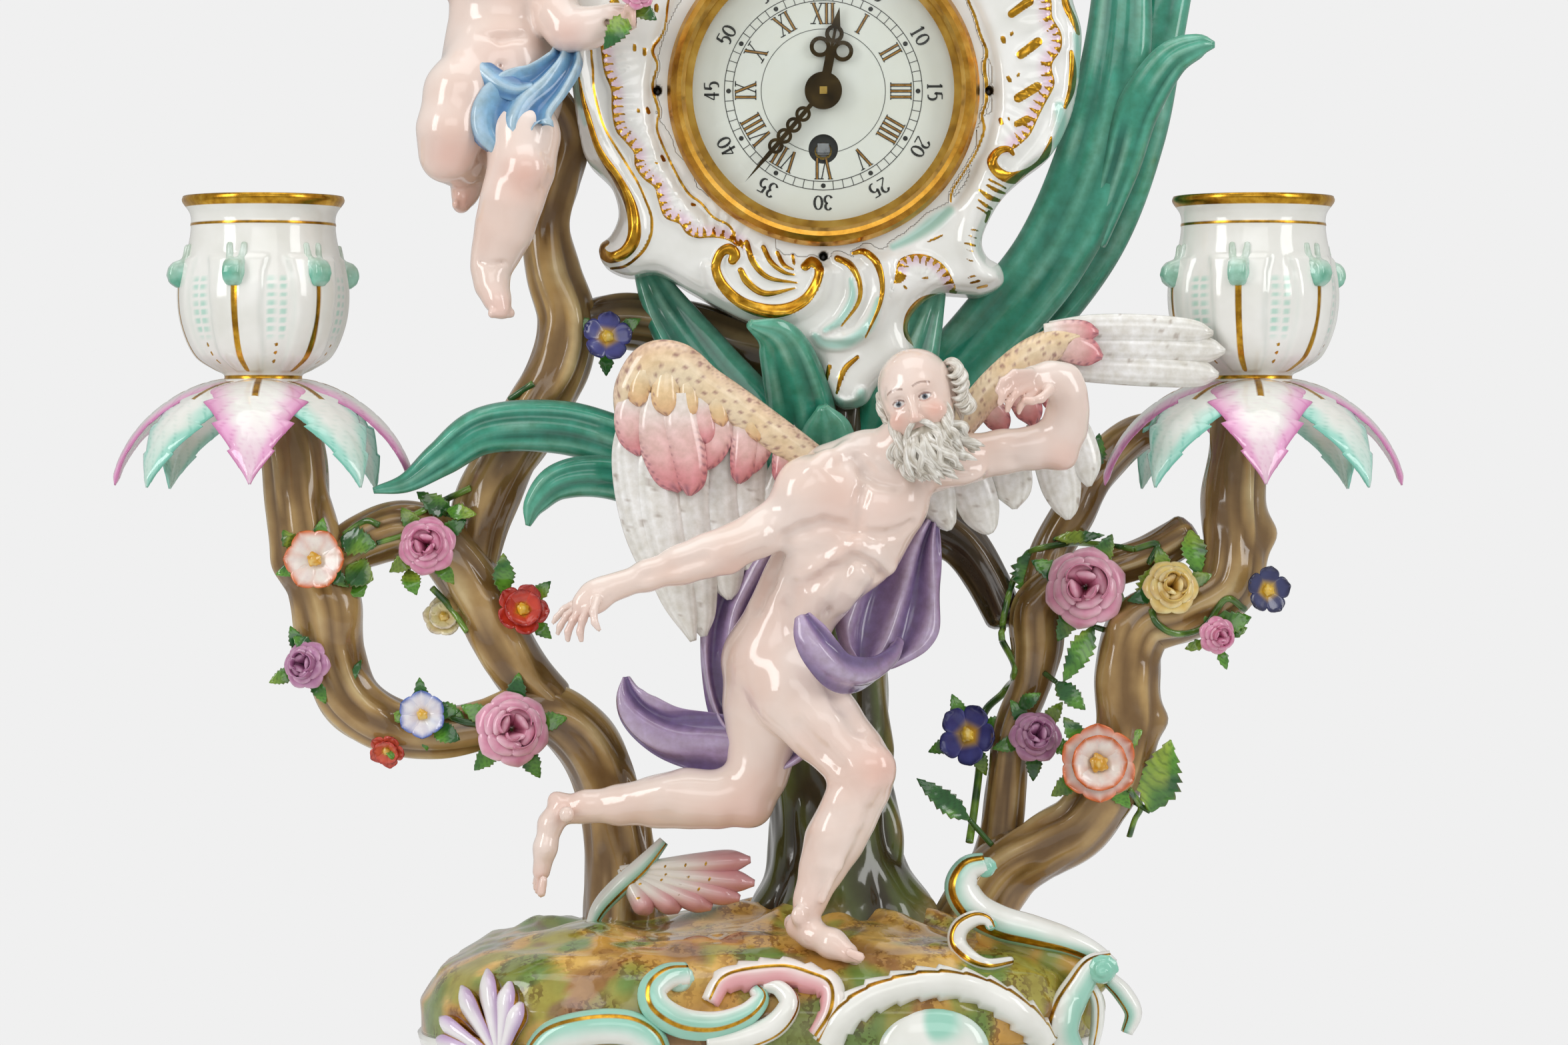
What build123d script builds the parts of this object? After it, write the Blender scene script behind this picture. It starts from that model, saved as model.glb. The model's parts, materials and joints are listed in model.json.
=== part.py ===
"""A porcelain figural clock: a rococo clock case carried by a tree on a scrolled base, with a winged old
man running past the tree, a seated putto beside the case and a candle arm on either side.

Millimetres, +Z up. The origin is on the ground under the middle of the whole. The front faces -Y.
Places of the modelled porcelain are shares of tree_height: across, depth and height above the mound's crown.
"""

import math
import os

from build123d import *

# Driving sizes of the porcelain
tree_height = 210.0  # from the mound's crown to the underside of the bezel
base_height = 100.0  # from the ground to the mound's crown
plinth_height = 64.0
plinth_half_width = 122.0
plinth_half_depth = 92.0
plinth_wall = 7.0
foot_height = 5.0  # the feet lift the plinth's lower edge by this much
foot_length = 70.0
overrun = 1.0  # how far a cut runs past what it cuts
seat_gap = 0.3  # running gap between pieces that don't touch

# Driving sizes of the candle cups and drip pans
cup_height = 58.5
cup_rim_radius = 25.4
cup_wall = 3.2
candle_radius = 11.0  # the candle that the socket takes
candle_clearance = 0.5
pan_radius = 47.0
pan_thickness = 2.6
pan_drop = 31.0  # from the pan's middle to the tips of its leaves
pan_leaf_count = 8
bolt_radius = 2.0
bolt_clearance = 0.25
bolt_head_radius = 5.0
bolt_head_height = 2.4

# Driving sizes of the case and of the brass bezel, dial and hands
case_front = -24.0  # the plane of the case's face
case_depth = 44.0
bezel_radius = 48.5
bezel_depth = 8.0
sight_radius = 40.6  # the dial's visible radius
dial_radius = 43.4
dial_thickness = 1.6
dial_recess = 3.4  # from the case's face to the ledge that the dial rests on
glass_thickness = 1.2
glass_crown = 5.0  # how far the glass stands proud of the bezel's seat
case_bore_radius = 38.0
movement_ledge = 9.6  # from the case's face to the ledge that the front plate rests on
plate_radius = 37.6
plate_thickness = 1.6
back_plate_radius = 31.0
plate_gap = 13.0  # between the front plate and the back plate
rear_bore_radius = 34.0
cover_radius = 38.5
cover_thickness = 1.2
hinge_pin_radius = 1.0
knuckle_radius = 2.2
fit_clearance = 0.05  # radial running clearance of a pin or an arbor in its hole

# The front view that the shares are read from: seen level, from this far, at these shares of tree_height
view_distance = 1800.0
view_across_share = -0.024
view_height_share = 0.581

# Places of the tall pieces, as shares of tree_height
left_cup_share = -0.805
right_cup_share = 0.680
cup_depth_share = -0.020
pan_top_share = 0.790
dial_across_share = 0.035
dial_height_share = 1.229

# The tree and its branches, as (across, depth, height, radius) shares of tree_height
trunk_shares = (
    (0.058, 0.020, -0.120, 0.170),
    (0.058, 0.020, 0.012, 0.150),
    (0.054, 0.020, 0.080, 0.114),
    (0.042, 0.022, 0.240, 0.098),
    (0.028, 0.024, 0.420, 0.094),
    (0.026, 0.030, 0.580, 0.090),
    (0.034, 0.040, 0.720, 0.096),
    (0.038, 0.060, 0.830, 0.092),
    (0.036, 0.075, 0.930, 0.060),
)
left_arm_shares = (
    (-0.268, 0.020, -0.100, 0.070),
    (-0.268, 0.016, 0.060, 0.056),
    (-0.285, 0.010, 0.170, 0.050),
    (-0.325, 0.000, 0.255, 0.048),
    (-0.390, -0.010, 0.296, 0.046),
    (-0.470, -0.016, 0.281, 0.041),
    (-0.545, -0.020, 0.273, 0.040),
    (-0.615, -0.020, 0.278, 0.042),
    (-0.672, -0.020, 0.318, 0.046),
    (-0.700, -0.020, 0.382, 0.049),
    (-0.713, -0.020, 0.454, 0.052),
    (-0.734, -0.020, 0.525, 0.053),
    (-0.750, -0.020, 0.610, 0.050),
    (-0.764, -0.020, 0.690, 0.048),
    (-0.800, -0.020, 0.768, 0.046),
)
left_loop_shares = (
    (-0.700, -0.020, 0.520, 0.034),
    (-0.655, -0.016, 0.556, 0.038),
    (-0.594, -0.010, 0.570, 0.042),
    (-0.532, -0.004, 0.546, 0.045),
    (-0.490, 0.000, 0.486, 0.047),
    (-0.455, 0.000, 0.415, 0.047),
    (-0.412, -0.004, 0.350, 0.044),
    (-0.360, -0.006, 0.300, 0.036),
)
left_branch_shares = (
    (-0.490, 0.010, 0.500, 0.036),
    (-0.480, 0.014, 0.590, 0.045),
    (-0.442, 0.016, 0.672, 0.047),
    (-0.400, 0.018, 0.745, 0.047),
    (-0.362, 0.022, 0.820, 0.046),
    (-0.352, 0.026, 0.885, 0.044),
    (-0.372, 0.028, 0.955, 0.041),
    (-0.382, 0.030, 1.030, 0.038),
    (-0.366, 0.034, 1.095, 0.038),
    (-0.352, 0.036, 1.160, 0.036),
    (-0.385, 0.020, 1.225, 0.030),
    (-0.440, -0.010, 1.255, 0.022),
)
left_cross_shares = (
    (-0.372, 0.034, 0.858, 0.030),
    (-0.290, 0.046, 0.884, 0.040),
    (-0.210, 0.056, 0.878, 0.044),
    (-0.120, 0.062, 0.846, 0.048),
    (-0.020, 0.062, 0.810, 0.050),
)
right_arm_shares = (
    (0.240, 0.020, -0.060, 0.060),
    (0.300, 0.010, 0.050, 0.052),
    (0.370, 0.000, 0.095, 0.050),
    (0.425, -0.010, 0.130, 0.048),
    (0.470, -0.020, 0.200, 0.050),
    (0.492, -0.020, 0.275, 0.050),
    (0.490, -0.020, 0.350, 0.052),
    (0.512, -0.020, 0.425, 0.052),
    (0.580, -0.020, 0.446, 0.046),
    (0.640, -0.020, 0.480, 0.050),
    (0.658, -0.020, 0.545, 0.052),
    (0.652, -0.020, 0.620, 0.049),
    (0.658, -0.020, 0.690, 0.045),
    (0.676, -0.020, 0.768, 0.046),
)
right_stem_shares = (
    (0.290, 0.040, 0.040, 0.044),
    (0.302, 0.036, 0.120, 0.034),
    (0.310, 0.034, 0.200, 0.031),
    (0.320, 0.030, 0.270, 0.029),
    (0.352, 0.028, 0.335, 0.029),
    (0.356, 0.026, 0.390, 0.038),
    (0.360, 0.022, 0.450, 0.043),
    (0.402, 0.014, 0.492, 0.034),
    (0.460, 0.006, 0.510, 0.030),
    (0.530, 0.000, 0.534, 0.031),
    (0.592, -0.004, 0.572, 0.034),
)
right_rear_shares = (
    (0.354, 0.040, 0.470, 0.030),
    (0.378, 0.056, 0.540, 0.032),
    (0.412, 0.066, 0.598, 0.034),
    (0.446, 0.076, 0.658, 0.032),
    (0.498, 0.086, 0.708, 0.030),
    (0.556, 0.090, 0.728, 0.022),
)
right_hoop_shares = (
    (0.090, 0.056, 0.560, 0.040),
    (0.170, 0.070, 0.578, 0.042),
    (0.232, 0.070, 0.556, 0.038),
    (0.278, 0.062, 0.500, 0.034),
    (0.310, 0.048, 0.430, 0.030),
)

# Reed leaves, as (across, depth, height, half width, half thickness) shares of tree_height
tall_reed_shares = (
    (
        (0.120, 0.080, 0.690, 0.036, 0.024),
        (0.200, 0.076, 0.780, 0.050, 0.022),
        (0.285, 0.060, 0.870, 0.056, 0.022),
        (0.375, 0.030, 0.980, 0.058, 0.020),
        (0.440, 0.014, 1.120, 0.060, 0.020),
        (0.475, 0.014, 1.280, 0.052, 0.018),
        (0.482, 0.030, 1.430, 0.040, 0.014),
        (0.462, 0.050, 1.560, 0.024, 0.010),
        (0.440, 0.060, 1.640, 0.006, 0.006),
    ),
    (
        (0.220, 0.100, 0.760, 0.034, 0.018),
        (0.330, 0.096, 0.860, 0.046, 0.018),
        (0.440, 0.070, 1.000, 0.046, 0.018),
        (0.500, 0.060, 1.160, 0.048, 0.018),
        (0.528, 0.060, 1.320, 0.050, 0.016),
        (0.566, 0.066, 1.450, 0.036, 0.012),
        (0.620, 0.070, 1.560, 0.008, 0.006),
    ),
    (
        (0.440, 0.030, 1.000, 0.020, 0.014),
        (0.478, 0.006, 1.110, 0.030, 0.015),
        (0.506, -0.006, 1.200, 0.033, 0.015),
        (0.552, -0.012, 1.272, 0.028, 0.014),
        (0.596, -0.014, 1.296, 0.019, 0.012),
        (0.622, -0.014, 1.298, 0.006, 0.005),
    ),
)
short_reed_shares = (
    (
        (-0.010, 0.010, 0.640, 0.036, 0.024),
        (-0.140, -0.010, 0.660, 0.040, 0.024),
        (-0.260, -0.040, 0.700, 0.040, 0.024),
        (-0.370, -0.050, 0.724, 0.040, 0.022),
        (-0.470, -0.056, 0.720, 0.036, 0.020),
        (-0.548, -0.060, 0.672, 0.026, 0.016),
        (-0.600, -0.060, 0.640, 0.014, 0.010),
        (-0.632, -0.060, 0.634, 0.005, 0.005),
    ),
    (
        (-0.050, -0.020, 0.590, 0.026, 0.020),
        (-0.180, -0.040, 0.620, 0.034, 0.020),
        (-0.290, -0.070, 0.652, 0.032, 0.020),
        (-0.366, -0.080, 0.640, 0.028, 0.018),
        (-0.400, -0.084, 0.606, 0.018, 0.012),
        (-0.408, -0.084, 0.576, 0.005, 0.005),
    ),
    (
        (0.030, -0.040, 0.600, 0.036, 0.020),
        (0.010, -0.085, 0.700, 0.050, 0.018),
        (-0.010, -0.110, 0.790, 0.050, 0.016),
        (-0.036, -0.150, 0.868, 0.036, 0.014),
        (-0.068, -0.180, 0.876, 0.008, 0.008),
    ),
    (
        (0.000, -0.020, 0.620, 0.040, 0.020),
        (-0.070, -0.020, 0.720, 0.060, 0.018),
        (-0.145, 0.000, 0.820, 0.050, 0.016),
        (-0.200, 0.020, 0.900, 0.036, 0.014),
        (-0.240, 0.045, 0.980, 0.018, 0.010),
    ),
    (
        (0.050, -0.050, 0.560, 0.036, 0.020),
        (0.045, -0.100, 0.650, 0.044, 0.018),
        (0.040, -0.125, 0.720, 0.038, 0.016),
        (0.034, -0.140, 0.756, 0.008, 0.008),
    ),
    (
        (0.090, 0.000, 0.600, 0.040, 0.020),
        (0.130, -0.020, 0.720, 0.056, 0.018),
        (0.160, -0.040, 0.820, 0.048, 0.016),
        (0.200, -0.020, 0.930, 0.022, 0.012),
    ),
)

# The winged old man, as (across, depth, height, half width, half depth) shares of tree_height
torso_shares = (
    (-0.050, -0.230, 0.345, 0.050, 0.048),
    (-0.040, -0.235, 0.395, 0.068, 0.060),
    (-0.012, -0.238, 0.460, 0.067, 0.056),
    (0.030, -0.242, 0.525, 0.060, 0.048),
    (0.068, -0.248, 0.582, 0.074, 0.052),
    (0.104, -0.254, 0.636, 0.086, 0.054),
    (0.128, -0.258, 0.664, 0.064, 0.044),
    (0.148, -0.268, 0.688, 0.036, 0.036),
    (0.164, -0.280, 0.722, 0.031, 0.031),
)
head_shares = (
    (0.172, -0.292, 0.715, 0.030, 0.034),
    (0.178, -0.296, 0.738, 0.046, 0.050),
    (0.182, -0.294, 0.770, 0.056, 0.062),
    (0.182, -0.286, 0.800, 0.057, 0.064),
    (0.178, -0.282, 0.825, 0.046, 0.052),
    (0.172, -0.282, 0.842, 0.018, 0.022),
)
beard_shares = (
    (0.172, -0.352, 0.742, 0.024, 0.012),
    (0.180, -0.354, 0.722, 0.052, 0.024),
    (0.194, -0.354, 0.696, 0.068, 0.034),
    (0.206, -0.350, 0.668, 0.062, 0.034),
    (0.216, -0.346, 0.645, 0.020, 0.014),
)
right_arm_of_time_shares = (
    (0.060, -0.250, 0.640, 0.040, 0.040),
    (0.016, -0.260, 0.650, 0.046, 0.044),
    (-0.030, -0.278, 0.610, 0.042, 0.038),
    (-0.080, -0.296, 0.562, 0.036, 0.034),
    (-0.130, -0.308, 0.534, 0.034, 0.032),
    (-0.198, -0.322, 0.513, 0.029, 0.027),
    (-0.276, -0.336, 0.484, 0.020, 0.018),
    (-0.302, -0.342, 0.472, 0.027, 0.017),
    (-0.330, -0.346, 0.452, 0.026, 0.016),
    (-0.348, -0.346, 0.434, 0.014, 0.011),
)
left_arm_of_time_shares = (
    (0.160, -0.236, 0.648, 0.040, 0.038),
    (0.246, -0.232, 0.678, 0.038, 0.038),
    (0.310, -0.230, 0.684, 0.036, 0.034),
    (0.370, -0.232, 0.690, 0.036, 0.034),
    (0.398, -0.240, 0.718, 0.033, 0.030),
    (0.406, -0.248, 0.760, 0.026, 0.024),
    (0.402, -0.256, 0.794, 0.024, 0.018),
    (0.362, -0.264, 0.804, 0.027, 0.016),
    (0.326, -0.272, 0.786, 0.022, 0.014),
    (0.308, -0.278, 0.772, 0.010, 0.009),
)
front_leg_shares = (
    (-0.020, -0.255, 0.400, 0.066, 0.052),
    (0.010, -0.268, 0.345, 0.068, 0.056),
    (0.040, -0.284, 0.290, 0.058, 0.052),
    (0.080, -0.300, 0.232, 0.047, 0.045),
    (0.098, -0.308, 0.195, 0.042, 0.042),
    (0.076, -0.306, 0.150, 0.040, 0.040),
    (0.048, -0.302, 0.106, 0.037, 0.038),
    (0.022, -0.300, 0.050, 0.026, 0.027),
    (0.008, -0.300, 0.012, 0.021, 0.022),
    (0.000, -0.300, -0.018, 0.024, 0.028),
)
front_foot_shares = (
    (-0.006, -0.286, -0.020, 0.018, 0.018),
    (0.024, -0.310, -0.034, 0.025, 0.020),
    (0.056, -0.334, -0.050, 0.028, 0.016),
    (0.090, -0.356, -0.066, 0.022, 0.010),
)
rear_leg_shares = (
    (-0.040, -0.205, 0.370, 0.050, 0.050),
    (-0.036, -0.200, 0.305, 0.056, 0.052),
    (-0.040, -0.205, 0.235, 0.048, 0.046),
    (-0.056, -0.210, 0.180, 0.040, 0.040),
    (-0.110, -0.206, 0.168, 0.040, 0.040),
    (-0.190, -0.200, 0.178, 0.039, 0.037),
    (-0.270, -0.194, 0.164, 0.028, 0.028),
    (-0.335, -0.190, 0.158, 0.022, 0.022),
    (-0.366, -0.188, 0.152, 0.026, 0.024),
    (-0.378, -0.184, 0.110, 0.024, 0.022),
    (-0.386, -0.180, 0.066, 0.022, 0.016),
    (-0.394, -0.176, 0.030, 0.013, 0.010),
)
# The wings' outlines, as (across, height) shares of tree_height
left_wing_shares = (
    (0.030, 0.705),
    (-0.055, 0.740),
    (-0.130, 0.790),
    (-0.183, 0.834),
    (-0.215, 0.850),
    (-0.259, 0.820),
    (-0.276, 0.735),
    (-0.262, 0.660),
    (-0.244, 0.570),
    (-0.203, 0.475),
    (-0.162, 0.403),
    (-0.142, 0.432),
    (-0.121, 0.460),
    (-0.105, 0.500),
    (-0.040, 0.540),
    (0.020, 0.620),
)
right_wing_shares = (
    (0.190, 0.690),
    (0.236, 0.745),
    (0.302, 0.800),
    (0.384, 0.858),
    (0.470, 0.890),
    (0.570, 0.878),
    (0.640, 0.855),
    (0.632, 0.800),
    (0.560, 0.790),
    (0.470, 0.796),
    (0.440, 0.720),
    (0.436, 0.660),
    (0.405, 0.580),
    (0.372, 0.600),
    (0.345, 0.620),
    (0.318, 0.588),
    (0.270, 0.600),
    (0.236, 0.580),
    (0.190, 0.610),
)
left_wing_depth_share = -0.196
right_wing_depth_share = -0.196
wing_thickness_share = 0.050
wing_middle_shares = ((-0.150, 0.680), (0.400, 0.740))  # where each wing is thickest

# Cloth, as (across, depth, height, half width, half thickness) shares of tree_height
time_drape_shares = (
    (
        (0.190, -0.170, 0.570, 0.020, 0.012),
        (0.160, -0.175, 0.510, 0.050, 0.018),
        (0.140, -0.180, 0.445, 0.066, 0.022),
        (0.095, -0.205, 0.385, 0.060, 0.022),
        (0.060, -0.220, 0.338, 0.036, 0.018),
    ),
    (
        (-0.030, -0.165, 0.540, 0.024, 0.014),
        (-0.080, -0.165, 0.480, 0.036, 0.018),
        (-0.112, -0.165, 0.400, 0.040, 0.020),
        (-0.100, -0.172, 0.330, 0.040, 0.022),
        (-0.076, -0.180, 0.272, 0.040, 0.022),
    ),
    (
        (-0.060, -0.185, 0.262, 0.030, 0.022),
        (-0.110, -0.175, 0.242, 0.040, 0.024),
        (-0.170, -0.165, 0.252, 0.046, 0.024),
        (-0.225, -0.155, 0.272, 0.042, 0.022),
        (-0.250, -0.145, 0.330, 0.022, 0.014),
    ),
)

# The putto, as (across, depth, height, half width, half depth) shares of tree_height
putto_body_shares = (
    (-0.440, -0.090, 1.165, 0.050, 0.046),
    (-0.442, -0.092, 1.205, 0.082, 0.066),
    (-0.452, -0.092, 1.270, 0.080, 0.068),
    (-0.450, -0.090, 1.335, 0.066, 0.058),
    (-0.448, -0.088, 1.390, 0.070, 0.056),
    (-0.443, -0.088, 1.435, 0.074, 0.050),
    (-0.440, -0.090, 1.458, 0.034, 0.034),
    (-0.438, -0.094, 1.482, 0.034, 0.036),
    (-0.436, -0.096, 1.505, 0.056, 0.056),
    (-0.434, -0.096, 1.545, 0.066, 0.068),
    (-0.434, -0.094, 1.585, 0.056, 0.060),
    (-0.436, -0.092, 1.612, 0.022, 0.024),
)
putto_limb_shares = (
    (
        (-0.480, -0.120, 1.290, 0.046, 0.050),
        (-0.516, -0.150, 1.230, 0.048, 0.048),
        (-0.530, -0.165, 1.165, 0.045, 0.045),
        (-0.530, -0.155, 1.130, 0.036, 0.036),
        (-0.508, -0.110, 1.122, 0.030, 0.030),
        (-0.494, -0.080, 1.120, 0.024, 0.026),
        (-0.500, -0.085, 1.090, 0.022, 0.020),
        (-0.510, -0.090, 1.060, 0.014, 0.012),
    ),
    (
        (-0.425, -0.140, 1.205, 0.048, 0.046),
        (-0.416, -0.185, 1.150, 0.046, 0.045),
        (-0.420, -0.205, 1.105, 0.043, 0.043),
        (-0.434, -0.195, 1.050, 0.044, 0.042),
        (-0.448, -0.185, 1.005, 0.036, 0.036),
        (-0.466, -0.180, 0.962, 0.026, 0.027),
        (-0.464, -0.182, 0.936, 0.028, 0.024),
        (-0.454, -0.194, 0.900, 0.018, 0.013),
    ),
    (
        (-0.392, -0.090, 1.425, 0.034, 0.034),
        (-0.372, -0.125, 1.375, 0.034, 0.032),
        (-0.355, -0.155, 1.330, 0.030, 0.030),
        (-0.318, -0.172, 1.326, 0.027, 0.026),
        (-0.282, -0.180, 1.336, 0.023, 0.021),
        (-0.256, -0.180, 1.342, 0.012, 0.012),
    ),
    (
        (-0.500, -0.090, 1.425, 0.032, 0.032),
        (-0.545, -0.100, 1.400, 0.032, 0.030),
        (-0.580, -0.125, 1.425, 0.028, 0.028),
        (-0.578, -0.150, 1.480, 0.024, 0.024),
        (-0.560, -0.160, 1.530, 0.022, 0.018),
        (-0.550, -0.162, 1.558, 0.010, 0.010),
    ),
)
putto_drape_shares = (
    (-0.352, -0.135, 1.330, 0.022, 0.014),
    (-0.372, -0.160, 1.270, 0.040, 0.022),
    (-0.412, -0.180, 1.220, 0.074, 0.026),
    (-0.408, -0.195, 1.178, 0.070, 0.024),
    (-0.400, -0.198, 1.146, 0.036, 0.014),
)

# The case's outline, as (across, height) shares of tree_height, clockwise from the top
case_outline_shares = (
    (0.035, 1.649),
    (0.130, 1.627),
    (0.200, 1.580),
    (0.280, 1.555),
    (0.360, 1.505),
    (0.400, 1.425),
    (0.432, 1.345),
    (0.448, 1.275),
    (0.438, 1.195),
    (0.400, 1.140),
    (0.350, 1.100),
    (0.306, 1.065),
    (0.290, 1.020),
    (0.306, 0.970),
    (0.286, 0.942),
    (0.250, 0.936),
    (0.218, 0.908),
    (0.180, 0.880),
    (0.150, 0.850),
    (0.115, 0.815),
    (0.085, 0.780),
    (0.060, 0.770),
    (0.030, 0.790),
    (-0.015, 0.840),
    (-0.095, 0.883),
    (-0.170, 0.910),
    (-0.240, 0.950),
    (-0.290, 0.975),
    (-0.300, 1.010),
    (-0.272, 1.050),
    (-0.285, 1.110),
    (-0.322, 1.165),
    (-0.345, 1.240),
    (-0.352, 1.320),
    (-0.370, 1.400),
    (-0.340, 1.480),
    (-0.275, 1.545),
    (-0.200, 1.565),
    (-0.125, 1.590),
    (-0.050, 1.632),
)
# How the case's outline shrinks about the dial at (depth, outline) shares of its depth and outline
case_profile_shares = (
    (0.00, 0.93),
    (0.12, 0.985),
    (0.30, 1.00),
    (0.62, 0.97),
    (1.00, 0.84),
)

# Scrolls, as (across, depth, height, radius of the coil, width of the bar, turns, start angle, hand)
case_scroll_shares = (
    (-0.262, -0.118, 0.985, 0.045, 0.024, 1.1, 250, 1),
    (-0.105, -0.118, 0.950, 0.060, 0.024, 0.85, 120, -1),
    (0.110, -0.118, 0.940, 0.050, 0.020, 0.8, 60, 1),
    (0.318, -0.110, 1.118, 0.044, 0.022, 1.1, 60, -1),
    (0.288, -0.060, 0.966, 0.034, 0.024, 0.9, 300, 1),
    (0.456, -0.030, 1.280, 0.026, 0.022, 0.9, 0, 1),
    (0.035, -0.060, 1.655, 0.070, 0.030, 1.0, 200, 1),
    (-0.150, -0.060, 1.580, 0.052, 0.026, 1.0, 300, 1),
    (0.215, -0.060, 1.570, 0.052, 0.026, 1.0, 240, -1),
)
base_scroll_shares = (
    (-0.182, -0.388, -0.110, 0.040, 0.036, 1.0, 90, -1),
    (-0.055, -0.388, -0.130, 0.060, 0.034, 1.1, 60, 1),
    (0.250, -0.331, -0.062, 0.030, 0.022, 1.0, 60, 1),
    (0.440, -0.246, -0.114, 0.055, 0.036, 1.0, 90, 1),
    (0.300, -0.060, 0.030, 0.058, 0.036, 1.0, 120, 1),
    (-0.400, -0.330, -0.190, 0.070, 0.034, 1.0, 90, -1),
    (0.200, -0.400, -0.200, 0.120, 0.030, 0.6, 200, -1),
    (-0.250, -0.388, -0.200, 0.100, 0.030, 0.6, 340, 1),
)
# The scrolls over the four feet, set out in plan as (across, depth, height, coil, width) shares
foot_scroll_share = (0.470, 0.375, 0.150, 0.110, 0.060)
# Fan shells, as (across, depth, height, radius, thickness, turned by, count of ribs)
shell_shares = (
    (-0.478, -0.315, -0.200, 0.080, 0.030, 100, 7),
    (0.205, -0.400, -0.165, 0.060, 0.026, 90, 7),
    (-0.140, 0.020, 0.030, 0.085, 0.028, 70, 7),
    (0.200, -0.124, 0.945, 0.046, 0.026, 90, 5),
    (-0.085, -0.126, 0.975, 0.040, 0.020, 60, 5),
)

# Flowers on the branches, as (across, depth, height, radius) shares of tree_height
rose_shares = (
    (-0.558, -0.062, 0.546, 0.040),
    (-0.739, -0.070, 0.367, 0.032),
    (-0.432, -0.066, 0.271, 0.052),
    (0.428, -0.040, 0.483, 0.056),
    (0.556, -0.070, 0.483, 0.038),
    (0.353, -0.012, 0.259, 0.036),
    (0.625, -0.066, 0.412, 0.026),
)
open_flower_shares = (
    (-0.727, -0.082, 0.525, 0.044),
    (-0.566, -0.066, 0.293, 0.034),
    (-0.417, -0.052, 0.449, 0.038),
    (-0.534, 0.012, 0.438, 0.030),
    (-0.619, -0.050, 0.240, 0.026),
    (-0.290, -0.012, 0.859, 0.036),
    (0.446, -0.078, 0.220, 0.054),
    (0.254, 0.030, 0.262, 0.045),
    (0.700, -0.066, 0.479, 0.034),
)
# Leaves, as (across, depth, height, length, half width, turned by)
leaf_shares = (
    (-0.665, -0.060, 0.530, 0.070, 0.026, 20),
    (-0.650, -0.060, 0.490, 0.060, 0.024, -40),
    (-0.620, -0.020, 0.610, 0.080, 0.030, 20),
    (-0.530, -0.050, 0.270, 0.055, 0.022, -30),
    (-0.430, -0.040, 0.500, 0.060, 0.024, 70),
    (-0.330, -0.030, 0.320, 0.070, 0.028, 40),
    (-0.466, -0.030, 0.843, 0.080, 0.034, -20),
    (-0.440, -0.030, 0.800, 0.080, 0.034, -30),
    (0.368, -0.040, 0.515, 0.090, 0.034, -60),
    (0.510, -0.060, 0.470, 0.060, 0.028, -60),
    (0.576, -0.060, 0.526, 0.055, 0.026, 70),
    (0.520, -0.060, 0.180, 0.085, 0.036, 60),
    (0.640, -0.050, 0.430, 0.070, 0.028, -10),
    (0.330, 0.020, 0.330, 0.080, 0.032, 110),
    (0.380, 0.040, 0.400, 0.075, 0.030, 200),
)

# Wheels of the movement: teeth and module of each
cannon_teeth = 12
minute_wheel_teeth = 36
motion_module = 0.46
minute_pinion_teeth = 12
hour_wheel_teeth = 48
barrel_teeth = 72
centre_pinion_teeth = 12
barrel_module = 0.42
centre_wheel_teeth = 60
third_pinion_teeth = 12
train_module = 0.30
third_wheel_teeth = 50
escape_pinion_teeth = 10
escape_teeth = 15
wheel_thickness = 1.2
arbor_radius = 1.1
winding_drop = 18.0  # from the dial's centre down to the winding square
winding_square = 3.5
winding_hole_radius = 4.6

limb_sides = 8
scroll_steps = 9
scroll_sides = 6
scroll_inner_share = 0.30  # of a scroll's radius, where its coil begins
scroll_tip_share = 0.60  # of a scroll's width, at the coil's end
plinth_corners = 24
plinth_power = 2.6
plinth_lobe_share = 0.05
# The plinth's and the mound's profiles, as (height, girth) shares
plinth_profile_shares = ((0.00, 1.00), (0.14, 0.98), (0.36, 0.88), (0.62, 0.84), (0.86, 0.89), (1.00, 0.91))
mound_profile_shares = (
    (0.00, 0.90),
    (0.28, 0.90),
    (0.56, 0.84),
    (0.75, 0.75),
    (0.89, 0.60),
    (0.97, 0.42),
    (1.00, 0.24),
)

group_offset = -(left_cup_share + right_cup_share) / 2 * tree_height

os.makedirs("parts", exist_ok=True)


def place(across_share, depth_share, height_share):
    """A point from its shares, drawn in towards the eye as far as it stands nearer than the picture."""
    depth = depth_share * tree_height
    nearness = 1 + depth / view_distance
    across = group_offset + view_across_share * tree_height
    across += (across_share - view_across_share) * tree_height * nearness
    height = base_height + view_height_share * tree_height
    height += (height_share - view_height_share) * tree_height * nearness
    return Vector(across, depth, height)


def ring_corners(half_width, half_depth, sides):
    """The corners of a polygon that an ellipse goes round."""
    corners = []
    for side in range(sides):
        angle = math.tau * (side + 0.5) / sides
        corners.append((half_width * math.cos(angle), half_depth * math.sin(angle)))
    return corners


def stand(across_share, depth_share, height_share):
    """A point of the base, which is set out in plan and not from the front view."""
    return Vector(across_share * tree_height, depth_share * tree_height, height_share * tree_height)


def limb(shares, sides=limb_sides, where=place):
    """A limb or a branch: a ruled loft through polygons set square to its run."""
    centres = [where(*station[:3]) for station in shares]
    with BuildPart() as rough:
        for index, station in enumerate(shares):
            before = centres[max(index - 1, 0)]
            after = centres[min(index + 1, len(centres) - 1)]
            along = (after - before).normalized()
            across = along.cross(Vector(0, 1, 0)).normalized()
            half_width = station[3] * tree_height
            half_depth = station[-1] * tree_height
            with BuildSketch(Plane(centres[index], x_dir=across, z_dir=along)):
                Polygon(*ring_corners(half_width, half_depth, sides), align=None)
        loft(ruled=True)
    return rough.part


def joined(*pieces):
    """Pieces of one material modelled as one."""
    with BuildPart() as whole:
        add(pieces)
    return whole.part


boxes = {}


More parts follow.
